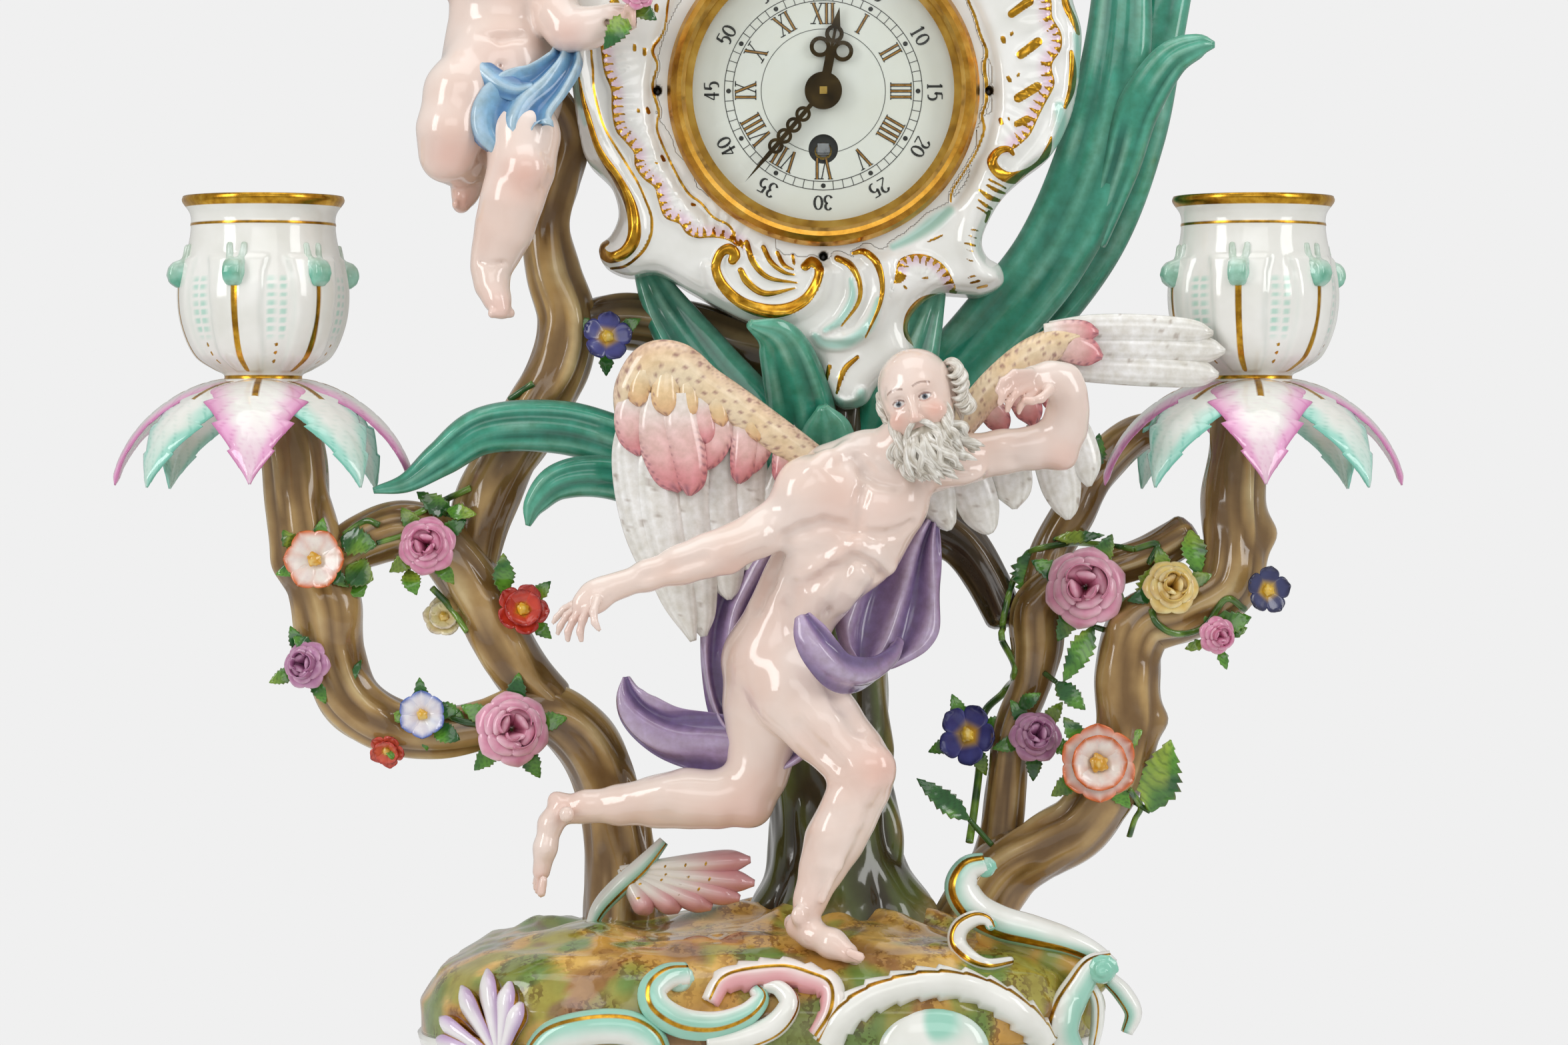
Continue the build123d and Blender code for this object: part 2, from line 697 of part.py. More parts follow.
def face_boxes(piece):
    """The boxes round a piece's faces, worked out once."""
    if id(piece) not in boxes:
        boxes[id(piece)] = (piece, [face.bounding_box() for face in piece.faces()])
    return boxes[id(piece)][1]


def apart(low, high):
    """Whether two boxes stand clear of each other."""
    return (
        low.min.X > high.max.X
        or high.min.X > low.max.X
        or low.min.Y > high.max.Y
        or high.min.Y > low.max.Y
        or low.min.Z > high.max.Z
        or high.min.Z > low.max.Z
    )


def touches(rough, carrier):
    """Whether any face of the carrier comes into the box round a rough form."""
    reach = rough.bounding_box()
    return any(not apart(reach, box) for box in face_boxes(carrier))


def seat(rough, carriers):
    """Cut a rough form by the pieces that it stands against, and keep its largest solid."""
    met = [carrier for carrier in carriers if touches(rough, carrier)]
    if not met:
        return rough
    with BuildPart() as seated:
        add(rough)
        add(met, mode=Mode.SUBTRACT, clean=False)
    with BuildPart() as kept:
        add(seated.part.solids().sort_by(SortBy.VOLUME)[-1])
    return kept.part


def seat_each(roughs, carriers):
    """Seat several forms that share a node: each is also cut by the ones before it."""
    kept = []
    for rough in roughs:
        kept.append(seat(rough, list(carriers) + kept))
    with BuildPart() as group:
        add(kept, clean=False)
    return group.part


def slab(outline, layers, centre):
    """A ruled loft of one outline across the depth, grown at each layer about a centre."""
    with BuildPart() as rough:
        for depth, growth in layers:
            corners = []
            for across, height in outline:
                grown_across = centre[0] + (across - centre[0]) * growth
                corners.append((grown_across, centre[1] + (height - centre[1]) * growth))
            with BuildSketch(Plane.XZ.offset(-depth)):
                Polygon(*corners, align=None)
        loft(ruled=True)
    return rough.part


def scroll(across, depth, height, coil, width, turns, start, hand, where=place):
    """A volute: a bar that winds out of its coil and widens as it goes."""
    stations = []
    for step in range(scroll_steps + 1):
        run = step / scroll_steps
        angle = math.radians(start + hand * 360 * turns * run)
        reach = coil * (scroll_inner_share + (1 - scroll_inner_share) * run)
        half_width = width / 2 * (scroll_tip_share + (1 - scroll_tip_share) * run)
        run = reach * math.cos(angle)
        rise = reach * math.sin(angle)
        stations.append((across + run, depth, height + rise, half_width))
    return limb(stations, scroll_sides, where)


def shell(across, depth, height, radius, thickness, turned, ribs):
    """A fan shell with a scalloped rim."""
    spread = 150
    rib_share = 0.86
    outline = []
    for step in range(2 * ribs + 1):
        angle = math.radians(turned - spread / 2 + spread * step / (2 * ribs))
        reach = radius * (1 if step % 2 else rib_share)
        point = place(across + reach * math.cos(angle), depth, height + reach * math.sin(angle))
        outline.append((point.X, point.Z))
    root = place(across - radius * math.cos(math.radians(turned)) * 0.25, depth, height)
    outline.append((root.X, root.Z - radius * tree_height * 0.25 * math.sin(math.radians(turned))))
    middle = place(across, depth, height)
    half = thickness * tree_height / 2
    layers = ((middle.Y - half, 0.8), (middle.Y, 1.0), (middle.Y + half, 0.9))
    return slab(outline, layers, (middle.X, middle.Z))


def plinth_outline(girth, inset=0.0):
    """The plinth's plan: a rounded oblong that swells at its four corners."""
    corners = []
    for side in range(plinth_corners):
        angle = math.tau * side / plinth_corners
        reach_across = abs(math.cos(angle)) / (plinth_half_width - inset)
        reach_depth = abs(math.sin(angle)) / (plinth_half_depth - inset)
        reach = (reach_across**plinth_power + reach_depth**plinth_power) ** (-1 / plinth_power)
        reach *= girth * (1 - plinth_lobe_share * math.cos(4 * angle))
        corners.append((reach * math.cos(angle), reach * math.sin(angle)))
    return corners


def stack(layers, inset=0.0):
    """A ruled loft of the plinth's plan up through (height, girth) layers."""
    with BuildPart() as rough:
        for height, girth in layers:
            with BuildSketch(Plane.XY.offset(height)):
                Polygon(*plinth_outline(girth, inset), align=None)
        loft(ruled=True)
    return rough.part


def plinth_layers(low, high):
    """The plinth's layers, stretched over a height."""
    return [(low + (high - low) * height, girth) for height, girth in plinth_profile_shares]


# Base
with BuildPart() as base_plinth:
    add(stack(plinth_layers(0, plinth_height)))
    add(stack(plinth_layers(-overrun, plinth_height + overrun), plinth_wall), mode=Mode.SUBTRACT)
    with BuildSketch(Plane.XY.offset(-overrun)):
        Rectangle(2 * plinth_half_width - 2 * foot_length, 3 * plinth_half_depth)
        Rectangle(3 * plinth_half_width, 2 * plinth_half_depth - 2 * foot_length)
    extrude(amount=foot_height + overrun, mode=Mode.SUBTRACT)
base_plinth.part.label = "base_plinth"

mound_layers = []
for height_share, girth_share in mound_profile_shares:
    mound_layers.append((plinth_height + (base_height - plinth_height) * height_share, girth_share))
mound_hollow_layers = (
    (plinth_height - overrun, mound_profile_shares[0][1]),
    (base_height - 3 * plinth_wall, mound_profile_shares[2][1]),
    (base_height - plinth_wall, mound_profile_shares[-2][1]),
)
with BuildPart() as base_mound:
    add(stack(mound_layers))
    add(stack(mound_hollow_layers, plinth_wall), mode=Mode.SUBTRACT)
base_mound.part.label = "base_mound"

# Case
dial_centre = place(dial_across_share, case_front / tree_height, dial_height_share)
case_outline = []
for across_share, height_share in case_outline_shares:
    corner = place(across_share, case_front / tree_height, height_share)
    case_outline.append((corner.X, corner.Z))
case_layers = [(case_front + case_depth * depth, growth) for depth, growth in case_profile_shares]
dial_plane = Plane(dial_centre, x_dir=(1, 0, 0), z_dir=(0, -1, 0))
screw_hole_radius = 1.2
screw_hole_circle = 51.6
screw_hole_depth = 8.0
with BuildPart() as clock_case:
    add(slab(case_outline, case_layers, (dial_centre.X, dial_centre.Z)))
    with BuildSketch(dial_plane.offset(overrun)):
        Circle(dial_radius + seat_gap)
    extrude(amount=-(dial_recess + overrun), mode=Mode.SUBTRACT)
    with BuildSketch(dial_plane):
        Circle(case_bore_radius)
    extrude(amount=-movement_ledge, mode=Mode.SUBTRACT)
    with BuildSketch(dial_plane):
        Circle(rear_bore_radius)
    extrude(amount=-(case_depth + overrun), mode=Mode.SUBTRACT)
    with BuildSketch(dial_plane.offset(overrun)):
        with PolarLocations(screw_hole_circle, 4):
            Circle(screw_hole_radius)
    extrude(amount=-(screw_hole_depth + overrun), mode=Mode.SUBTRACT)
clock_case.part.label = "clock_case"

# Tree and branches, each seated against the pieces before it
tree_trunk = seat(limb(trunk_shares, 12), [base_plinth.part, base_mound.part, clock_case.part])
tree_trunk.label = "tree_trunk"
ground = [base_plinth.part, base_mound.part]
left_candle_arm = seat(limb(left_arm_shares), ground + [tree_trunk])
right_candle_arm = seat(limb(right_arm_shares), ground + [tree_trunk])
left_loop_branch = seat(limb(left_loop_shares), [left_candle_arm])
left_upright_branch = seat(limb(left_branch_shares), [left_loop_branch, clock_case.part])
left_cross_branch = seat(limb(left_cross_shares), [left_upright_branch, tree_trunk, clock_case.part])
right_stem_branch = seat(limb(right_stem_shares), ground + [right_candle_arm])
right_rear_branch = seat(limb(right_rear_shares, 6), [right_stem_branch])
right_hoop_branch = seat(limb(right_hoop_shares), [right_stem_branch, tree_trunk])
branches = [
    left_candle_arm,
    right_candle_arm,
    left_loop_branch,
    left_upright_branch,
    left_cross_branch,
    right_stem_branch,
    right_rear_branch,
    right_hoop_branch,
]
tree = ground + [tree_trunk, clock_case.part] + branches

# Reed leaves
tall_reeds = seat_each([limb(leaf, 6) for leaf in tall_reed_shares], tree)
short_reeds = seat_each([limb(leaf, 6) for leaf in short_reed_shares], tree + [tall_reeds])


# Cups and drip pans
pan_top = place(0, 0, pan_top_share).Z
hub_thickness = 4.0
cup_foot_radius = 12.6
cup_floor = 7.0
cup_knob_count = 6
cup_bowl_floor = 29.0
cup_bowl_floor_radius = 19.0  # the flat floor round the socket's mouth
bolt_seat_height = 4.0  # the ledge under the socket that the bolt's head rests on
bolt_head_clearance = 0.4
knob_height_share = 0.82
knob_radius = 4.4
knob_shares = ((0, 0.6), (0.20, 0.7), (0.24, 1.0), (0.34, 1.0), (0.40, 0.5))  # (reach, radius) of a knob
knob_root_share = 0.8
bolt_depth = 16.0  # how deep the bolt's bush sits in the arm
bush_radius = 3.6
# A leaf of the drip pan, as (run, half width) shares; its saw edge comes from the widths
pan_leaf_shares = (
    (0.10, 0.36),
    (0.30, 0.80),
    (0.44, 1.00),
    (0.52, 0.84),
    (0.62, 0.92),
    (0.70, 0.66),
    (0.80, 0.72),
    (0.88, 0.40),
    (1.00, 0.08),
)
pan_leaf_half_width = 12.6
pan_leaf_sweep = 76  # degrees that a leaf bends down over its length
pan_leaf_step = 1.1  # every second leaf lies this much lower, under its neighbours
# The cup's outer outline, as (radius, height) shares of its rim and height
cup_profile_shares = (
    (0.50, 0.00),
    (0.50, 0.05),
    (0.80, 0.14),
    (0.97, 0.30),
    (1.02, 0.48),
    (0.96, 0.66),
    (0.90, 0.80),
    (0.90, 0.90),
    (1.00, 0.97),
    (0.99, 1.00),
)


def pan_leaf(middle, turned):
    """One drooping leaf of a drip pan, with a saw edge."""
    outward = Vector(math.cos(turned), math.sin(turned), 0)
    sideways = Vector(-math.sin(turned), math.cos(turned), 0)
    with BuildPart() as leaf:
        for run, width in pan_leaf_shares:
            sweep = math.radians(pan_leaf_sweep)
            droop = run * sweep
            centre = middle + outward * (pan_radius * math.sin(droop) / math.sin(sweep))
            centre -= Vector(0, 0, pan_drop * (1 - math.cos(droop)) / (1 - math.cos(sweep)))
            along = outward * math.cos(droop) - Vector(0, 0, math.sin(droop))
            half_width = pan_leaf_half_width * width
            half = pan_thickness / 2
            under = ((-half_width, -half), (0, 0), (half_width, -half))
            corners = (*under, (half_width, 0), (0, half), (-half_width, 0))
            with BuildSketch(Plane(centre, x_dir=sideways, z_dir=along)):
                Polygon(*corners, align=None)
        loft(ruled=True)
    return leaf.part


def drip_pan():
    """A drip pan: eight drooping leaves round a hub that the cup's bolt passes through."""
    with BuildPart() as pan:
        with BuildSketch(Plane.XY.offset(-hub_thickness)):
            Circle(cup_foot_radius + overrun)
        extrude(amount=hub_thickness)
        for turn in range(pan_leaf_count):
            angle = math.tau * (turn + 0.5 - pan_leaf_count / 4) / pan_leaf_count
            step_down = pan_leaf_step * (turn % 2)
            add(pan_leaf(Vector(0, 0, -pan_thickness - step_down), angle))
        with BuildSketch(Plane.XY):
            Circle(2 * cup_foot_radius)
        extrude(amount=pan_thickness, mode=Mode.SUBTRACT)
        with BuildSketch(Plane.XY):
            Circle(bolt_radius + bolt_clearance)
        extrude(amount=-2 * hub_thickness, mode=Mode.SUBTRACT)
    return pan.part


def candle_cup():
    """A bulging cup with a rolled rim, a ring of knobs and a candle socket in its floor."""
    outer = [(cup_rim_radius * radius, cup_height * height) for radius, height in cup_profile_shares]
    inner = [(radius - cup_wall, height) for radius, height in outer if height > cup_bowl_floor]
    knob_height = cup_height * knob_height_share
    with BuildPart() as cup:
        with BuildSketch(Plane.XZ):
            Polygon((0, 0), *outer, (0, cup_height), align=None)
        revolve(axis=Axis.Z)
        for turn in range(cup_knob_count):
            angle = math.tau * (turn + 0.25) / cup_knob_count
            outward = Vector(math.cos(angle), math.sin(angle), 0)
            root = Vector(0, 0, knob_height) + outward * (cup_rim_radius * knob_root_share)
            for reach, radius in knob_shares:
                with BuildSketch(Plane(root + outward * (cup_rim_radius * reach), z_dir=outward)):
                    Polygon(*ring_corners(knob_radius * radius, knob_radius * radius, 8), align=None)
            loft(ruled=True)
        with BuildSketch(Plane.XZ):
            bowl_floor = ((0, cup_bowl_floor), (cup_bowl_floor_radius, cup_bowl_floor))
            Polygon(*bowl_floor, *inner, (0, cup_height + overrun), align=None)
        revolve(axis=Axis.Z, mode=Mode.SUBTRACT)
        with BuildSketch(Plane.XY.offset(cup_floor)):
            Circle(candle_radius + candle_clearance)
        extrude(amount=cup_bowl_floor, mode=Mode.SUBTRACT)
        with BuildSketch(Plane.XY.offset(bolt_seat_height)):
            Circle(bolt_head_radius + bolt_head_clearance)
        extrude(amount=cup_floor, mode=Mode.SUBTRACT)
        with BuildSketch(Plane.XY):
            Circle(bolt_radius + bolt_clearance)
        extrude(amount=cup_floor + overrun, mode=Mode.SUBTRACT)
    return cup.part


def cup_bolt():
    """The bolt that clamps a cup and its pan to the arm."""
    with BuildPart() as bolt:
        with BuildSketch(Plane.XY.offset(bolt_seat_height)):
            RegularPolygon(bolt_head_radius, 6)
        extrude(amount=bolt_head_height)
        with BuildSketch(Plane.XY.offset(bolt_seat_height)):
            Circle(bolt_radius)
        extrude(amount=-(bolt_seat_height + hub_thickness + bolt_depth))
    return bolt.part


def arm_bush():
    """The threaded bush cemented in the arm's end, which the bolt screws into."""
    with BuildPart() as bush:
        with BuildSketch(Plane.XY.offset(-hub_thickness)):
            RegularPolygon(bush_radius, 6)
            Circle(bolt_radius, mode=Mode.SUBTRACT)
        extrude(amount=-bolt_depth)
    return bush.part


def stood(piece, across_share):
    """A copy of a piece stood on the end of one arm."""
    middle = place(across_share, cup_depth_share, pan_top_share)
    with BuildPart() as copy_of_piece:
        with Locations((middle.X, middle.Y, pan_top)):
            add(piece)
    return copy_of_piece.part


pan = drip_pan()
cup = candle_cup()
left_drip_pan = stood(pan, left_cup_share)
right_drip_pan = stood(pan, right_cup_share)
left_candle_cup = stood(cup, left_cup_share)
right_candle_cup = stood(cup, right_cup_share)
cup_bolts = [stood(cup_bolt(), left_cup_share), stood(cup_bolt(), right_cup_share)]
arm_bushes = [stood(arm_bush(), left_cup_share), stood(arm_bush(), right_cup_share)]
left_candle_arm = seat(left_candle_arm, [left_drip_pan, cup_bolts[0], arm_bushes[0]])
right_candle_arm = seat(right_candle_arm, [right_drip_pan, cup_bolts[1], arm_bushes[1]])
right_rear_branch = seat(right_rear_branch, [right_drip_pan])


# The winged old man
def wing(outline_shares, depth_share, middle_share):
    """A wing: its feathered outline, thinner towards the edge on both faces."""
    outline = []
    for across_share, height_share in outline_shares:
        corner = place(across_share, depth_share, height_share)
        outline.append((corner.X, corner.Z))
    middle = place(middle_share[0], depth_share, middle_share[1])
    half = wing_thickness_share * tree_height / 2
    layers = ((middle.Y - half, 0.86), (middle.Y, 1.0), (middle.Y + half, 0.9))
    return slab(outline, layers, (middle.X, middle.Z))


time_torso = limb(torso_shares, 10)
time_head = seat(joined(limb(head_shares), limb(beard_shares)), [time_torso])
time_right_arm = seat(limb(right_arm_of_time_shares), [time_torso, time_head])
time_left_arm = seat(limb(left_arm_of_time_shares), [time_torso, time_head])
front_leg = joined(limb(front_leg_shares, 10), limb(front_foot_shares, 6))
time_front_leg = seat(front_leg, [time_torso] + ground)
time_rear_leg = seat(limb(rear_leg_shares), [time_torso, time_front_leg, tree_trunk] + ground)
figure = [time_torso, time_head, time_right_arm, time_left_arm, time_front_leg, time_rear_leg]
behind_figure = figure + [tree_trunk, short_reeds, tall_reeds, right_rear_branch, clock_case.part]
behind_figure += [right_drip_pan, right_candle_cup, right_hoop_branch, left_candle_arm]
left_wing = seat(wing(left_wing_shares, left_wing_depth_share, wing_middle_shares[0]), behind_figure)
right_wing = seat(wing(right_wing_shares, right_wing_depth_share, wing_middle_shares[1]), behind_figure)
time_drape = seat_each([limb(fold, 6) for fold in time_drape_shares], behind_figure + [left_wing, right_wing])

# The putto
beside_putto = [clock_case.part, left_upright_branch, left_cross_branch, short_reeds]
putto_body = seat(limb(putto_body_shares, 10), beside_putto)
putto_limbs = seat_each([limb(stations, 6) for stations in putto_limb_shares], [putto_body] + beside_putto)
putto_drape = seat(limb(putto_drape_shares), [putto_body, putto_limbs] + beside_putto)

# Scrolls and shells
case_scrolls = seat_each(
    [scroll(*share) for share in case_scroll_shares] + [shell(*share) for share in shell_shares[3:]],
    [clock_case.part, tree_trunk, putto_limbs, putto_body, putto_drape, tall_reeds, short_reeds],
)
foot_across, foot_depth, foot_middle, foot_coil, foot_width = foot_scroll_share
foot_scrolls = []
for side in (-1, 1):
    for face in (-1, 1):
        corner = (side * foot_across, face * foot_depth, foot_middle, foot_coil, foot_width)
        foot_scrolls.append(scroll(*corner, 0.9, 90 + side * 80, -side, stand))
mound_scrolls = [scroll(*share) for share in base_scroll_shares]
mound_shells = [shell(*share) for share in shell_shares[:3]]
base_scrolls = seat_each(foot_scrolls + mound_scrolls + mound_shells, tree + [time_front_leg, time_rear_leg])


# Flowers and leaves
# The flower's layers from the petals to the stalk, as (depth, growth) shares
flower_layer_shares = ((-0.5, 0.80), (0, 1.0), (0.4, 0.5), (1, 0.2))
leaf_outline_shares = (
    (0, 0),
    (0.25, 0.8),
    (0.4, 0.75),
    (0.5, 1),
    (0.7, 0.6),
    (1, 0),
    (0.7, -0.6),
    (0.45, -1),
    (0.2, -0.7),
)
leaf_half_depth_share = 0.3


def flower(across, depth, height, radius, petals):
    """A modelled flower: a lobed cup of petals on a short stalk."""
    middle = place(across, depth, height)
    reach = radius * tree_height
    outline = []
    for step in range(2 * petals):
        angle = math.tau * step / (2 * petals)
        lobe = reach * (1 if step % 2 else 0.8)
        outline.append((middle.X + lobe * math.cos(angle), middle.Z + lobe * math.sin(angle)))
    layers = [(middle.Y + reach * depth_share, growth) for depth_share, growth in flower_layer_shares]
    return slab(outline, layers, (middle.X, middle.Z))


def leaf(across, depth, height, length, half_width, turned):
    """A pointed, saw-edged leaf."""
    angle = math.radians(turned)
    outline = []
    for run, width in leaf_outline_shares:
        along = length * (run - 0.5)
        out = half_width * width
        point = place(
            across + along * math.cos(angle) - out * math.sin(angle),
            depth,
            height + along * math.sin(angle) + out * math.cos(angle),
        )
        outline.append((point.X, point.Z))
    middle = place(across, depth, height)
    half = half_width * tree_height * leaf_half_depth_share
    return slab(outline, ((middle.Y - half, 0.85), (middle.Y + half, 1.0)), (middle.X, middle.Z))


garden = branches + [tree_trunk, short_reeds]
roses = seat_each([flower(*share, 5) for share in rose_shares], garden)
open_flowers = seat_each([flower(*share, 6) for share in open_flower_shares], garden + [roses])
foliage = seat_each([leaf(*share) for share in leaf_shares], garden + [roses, open_flowers])


# Brass bezel, glass and dial, turned about the dial's axis
def turned(outline):
    """A piece turned about the dial's axis from (radius, distance in front of the case's face) points."""
    section_plane = Plane(origin=dial_centre, x_dir=(1, 0, 0), z_dir=(0, 0, 1))
    with BuildPart() as piece:
        with BuildSketch(section_plane):
            Polygon(*[(radius, -forward) for radius, forward in outline], align=None)
        revolve(axis=Axis(dial_centre, (0, 1, 0)))
    return piece.part


def disc(across, height, back, front, radius, bore=0.0, sides=0):
    """A disc or a rod along the depth between two distances in front of the case's face."""
    face_plane = Plane(dial_centre + Vector(across, -back, height), x_dir=(1, 0, 0), z_dir=(0, -1, 0))
    with BuildPart() as piece:
        with BuildSketch(face_plane):
            if sides:
                RegularPolygon(radius, sides, rotation=180 / sides)
            else:
                Circle(radius)
            if bore:
                Circle(bore, mode=Mode.SUBTRACT)
        extrude(amount=front - back)
    return piece.part


def cut(piece, *tools):
    """A piece with holes or slots cut out of it."""
    with BuildPart() as drilled:
        add(piece)
        add(tools, mode=Mode.SUBTRACT)
    return drilled.part


bezel_lip = 3.0  # height of the lip behind the glass
glass_edge = sight_radius + 2.2
bezel_back_radius = sight_radius + 2.0
bezel_shoulder_width = 1.2
bezel_crown_width = 3.0
bezel_groove_width = 4.4
bezel_side_share = 0.35
bezel_shoulder_share = 0.72
bezel_crown_share = 0.97
bezel_groove_share = 0.94
bezel_rabbet_share = 0.62
bezel_lip_share = 0.5
hinge_height = bezel_radius + knuckle_radius + seat_gap  # from the dial's centre to the bezel hinge's pin
hinge_forward = knuckle_radius + seat_gap
knuckle_half_length = 2.4
hinge_half_length = 7.0
leaf_thickness = 0.9
hinge_section = Plane(dial_centre + Vector(-hinge_half_length, -hinge_forward, hinge_height), z_dir=(1, 0, 0))
with BuildPart() as bezel:
    add(
        turned(
            (
                (bezel_radius, seat_gap),
                (bezel_radius, bezel_depth * bezel_side_share),
                (bezel_radius - bezel_shoulder_width, bezel_depth * bezel_shoulder_share),
                (bezel_radius - bezel_crown_width, bezel_depth * bezel_crown_share),
                (bezel_radius - bezel_groove_width, bezel_depth * bezel_groove_share),
                (glass_edge + fit_clearance, bezel_depth * bezel_rabbet_share),
                (glass_edge + fit_clearance, bezel_lip),
                (sight_radius, bezel_lip),
                (sight_radius, bezel_lip * bezel_lip_share),
                (bezel_back_radius, seat_gap),
            )
        )
    )
    with BuildSketch(hinge_section.offset(hinge_half_length - knuckle_half_length)):
        Circle(knuckle_radius)
    extrude(amount=2 * knuckle_half_length)
    with BuildSketch(dial_plane.offset(seat_gap)):
        with Locations((0, hinge_height - knuckle_radius)):
            Rectangle(2 * knuckle_half_length, 2 * knuckle_radius)
    extrude(amount=hinge_forward)
    with BuildSketch(hinge_section):
        Circle(hinge_pin_radius + fit_clearance)
    extrude(amount=2 * hinge_half_length, mode=Mode.SUBTRACT)

glass_steps = 6
glass_outline = []
for step in range(glass_steps + 1):
    run = step / glass_steps
    glass_outline.append((glass_edge * run, bezel_lip + glass_crown * (1 - run**2)))
for step in range(glass_steps + 1):
    run = 1 - step / glass_steps
    glass_outline.append((glass_edge * run, bezel_lip + glass_thickness + glass_crown * (1 - run**2)))
bezel_glass = turned(glass_outline)

with BuildPart() as bezel_hinge_pin:
    with BuildSketch(hinge_section):
        Circle(hinge_pin_radius)
    extrude(amount=2 * hinge_half_length)
with BuildPart() as bezel_hinge_leaf:
    with BuildSketch(hinge_section):
        Circle(knuckle_radius)
    extrude(amount=2 * hinge_half_length)
    with BuildSketch(dial_plane):
        with Locations((0, hinge_height)):
            Rectangle(2 * hinge_half_length, 4 * knuckle_radius, align=(Align.CENTER, Align.MIN))
    extrude(amount=leaf_thickness)
    with BuildSketch(hinge_section.offset(hinge_half_length - knuckle_half_length - seat_gap)):
        Rectangle(4 * knuckle_radius, 2 * hinge_forward + 2 * seat_gap)
    extrude(amount=2 * (knuckle_half_length + seat_gap), mode=Mode.SUBTRACT)
    with BuildSketch(hinge_section):
        Circle(hinge_pin_radius)
    extrude(amount=2 * hinge_half_length, mode=Mode.SUBTRACT)

dial_front = dial_thickness - dial_recess
hub_hole_radius = 3.4
dial = cut(
    disc(0, 0, -dial_recess, dial_front, dial_radius),
    disc(0, 0, -dial_recess - overrun, dial_front + overrun, hub_hole_radius),
    disc(0, -winding_drop, -dial_recess - overrun, dial_front + overrun, winding_hole_radius),
)

# Hands
hand_thickness = 0.6
hour_hand_height = 1.2  # above the dial
hand_step = 1.8  # from the hour hand's back to the minute hand's
hour_hand_back = dial_front + hour_hand_height
minute_hand_back = hour_hand_back + hand_step
hour_hand_length = 26.5
minute_hand_length = 37.3
hour_hand_turn = 11.0  # clockwise from twelve
minute_hand_turn = 220.5
hand_hub_radius = 5.8
centre_square = 2.3


def hand_plane(turn, back):
    """A plane on a hand's back whose local Y points along the hand."""
    angle = math.radians(turn)
    across = Vector(math.cos(angle), 0, -math.sin(angle))
    return Plane(dial_centre + Vector(0, -back, 0), x_dir=across, z_dir=(0, -1, 0))


pipe_radius = 2.9
with BuildPart() as hour_hand:
    with BuildSketch(hand_plane(hour_hand_turn, hour_hand_back)):
        Circle(hand_hub_radius)
        for turn in (-1, 1):
            with Locations((turn * hand_hub_radius * 0.62, hour_hand_length * 0.50)):
                Circle(hand_hub_radius * 0.56)
                Circle(hand_hub_radius * 0.34, mode=Mode.SUBTRACT)
        with Locations((0, hour_hand_length * 0.68)):
            Circle(hand_hub_radius * 0.50)
            Circle(hand_hub_radius * 0.28, mode=Mode.SUBTRACT)
        with Locations((0, hour_hand_length * 0.30)):
            Rectangle(hand_hub_radius * 0.5, hour_hand_length * 0.36)
        with Locations((0, hour_hand_length * 0.54)):
            Rectangle(hand_hub_radius * 0.16, hour_hand_length * 0.5)
        Polygon(
            (-hand_hub_radius * 0.26, hour_hand_length * 0.76),
            (0, hour_hand_length),
            (hand_hub_radius * 0.26, hour_hand_length * 0.76),
            align=None,
        )
        Circle(pipe_radius, mode=Mode.SUBTRACT)
    extrude(amount=hand_thickness)

with BuildPart() as minute_hand:
    with BuildSketch(hand_plane(minute_hand_turn, minute_hand_back)):
        Circle(hand_hub_radius)
        for run in (0.26, 0.38, 0.50, 0.61):
            with Locations((0, minute_hand_length * run)):
                Circle(hand_hub_radius * 0.42)
                Circle(hand_hub_radius * 0.24, mode=Mode.SUBTRACT)
        Polygon(
            (-hand_hub_radius * 0.12, 0),
            (-hand_hub_radius * 0.12, minute_hand_length * 0.72),
            (0, minute_hand_length),
            (hand_hub_radius * 0.12, minute_hand_length * 0.72),
            (hand_hub_radius * 0.12, 0),
            align=None,
        )
        Rectangle(centre_square, centre_square, rotation=minute_hand_turn, mode=Mode.SUBTRACT)
    extrude(amount=hand_thickness)

# The movement: distances are in front of the case's face, so they are negative inside the case
plate_back = -movement_ledge
plate_front = plate_back + plate_thickness
rear_plate_front = plate_back - plate_gap
rear_plate_back = rear_plate_front - plate_thickness
motion_distance = motion_module * (cannon_teeth + minute_wheel_teeth) / 2
hour_module = 2 * motion_distance / (minute_pinion_teeth + hour_wheel_teeth)
barrel_module = 2 * winding_drop / (barrel_teeth + centre_pinion_teeth)
third_distance = train_module * (centre_wheel_teeth + third_pinion_teeth) / 2
escape_distance = train_module * (third_wheel_teeth + escape_pinion_teeth) / 2
motion_angle = 30
third_angle = 130
escape_angle = 60
addendum_share = 0.80
dedendum_share = 1.25


def around(distance, angle, start=(0, 0)):
    """A place at a distance and an angle from another, in the plane of the plates."""
    run = math.radians(angle)
    return (start[0] + distance * math.cos(run), start[1] + distance * math.sin(run))


def front_plane(at, back):
    """A plane that faces the viewer, at a place on the plates and a distance from the case's face."""
    return Plane(dial_centre + Vector(at[0], -back, at[1]), x_dir=(1, 0, 0), z_dir=(0, -1, 0))


dial_middle = (0, 0)
minute_wheel_at = around(motion_distance, motion_angle)
barrel_at = (0, -winding_drop)
third_at = around(third_distance, third_angle)
escape_at = around(escape_distance, escape_angle, third_at)
pallet_distance = 8.8
pallet_at = around(pallet_distance, 0, escape_at)
balance_distance = 9.6
balance_at = around(balance_distance, -30, pallet_at)


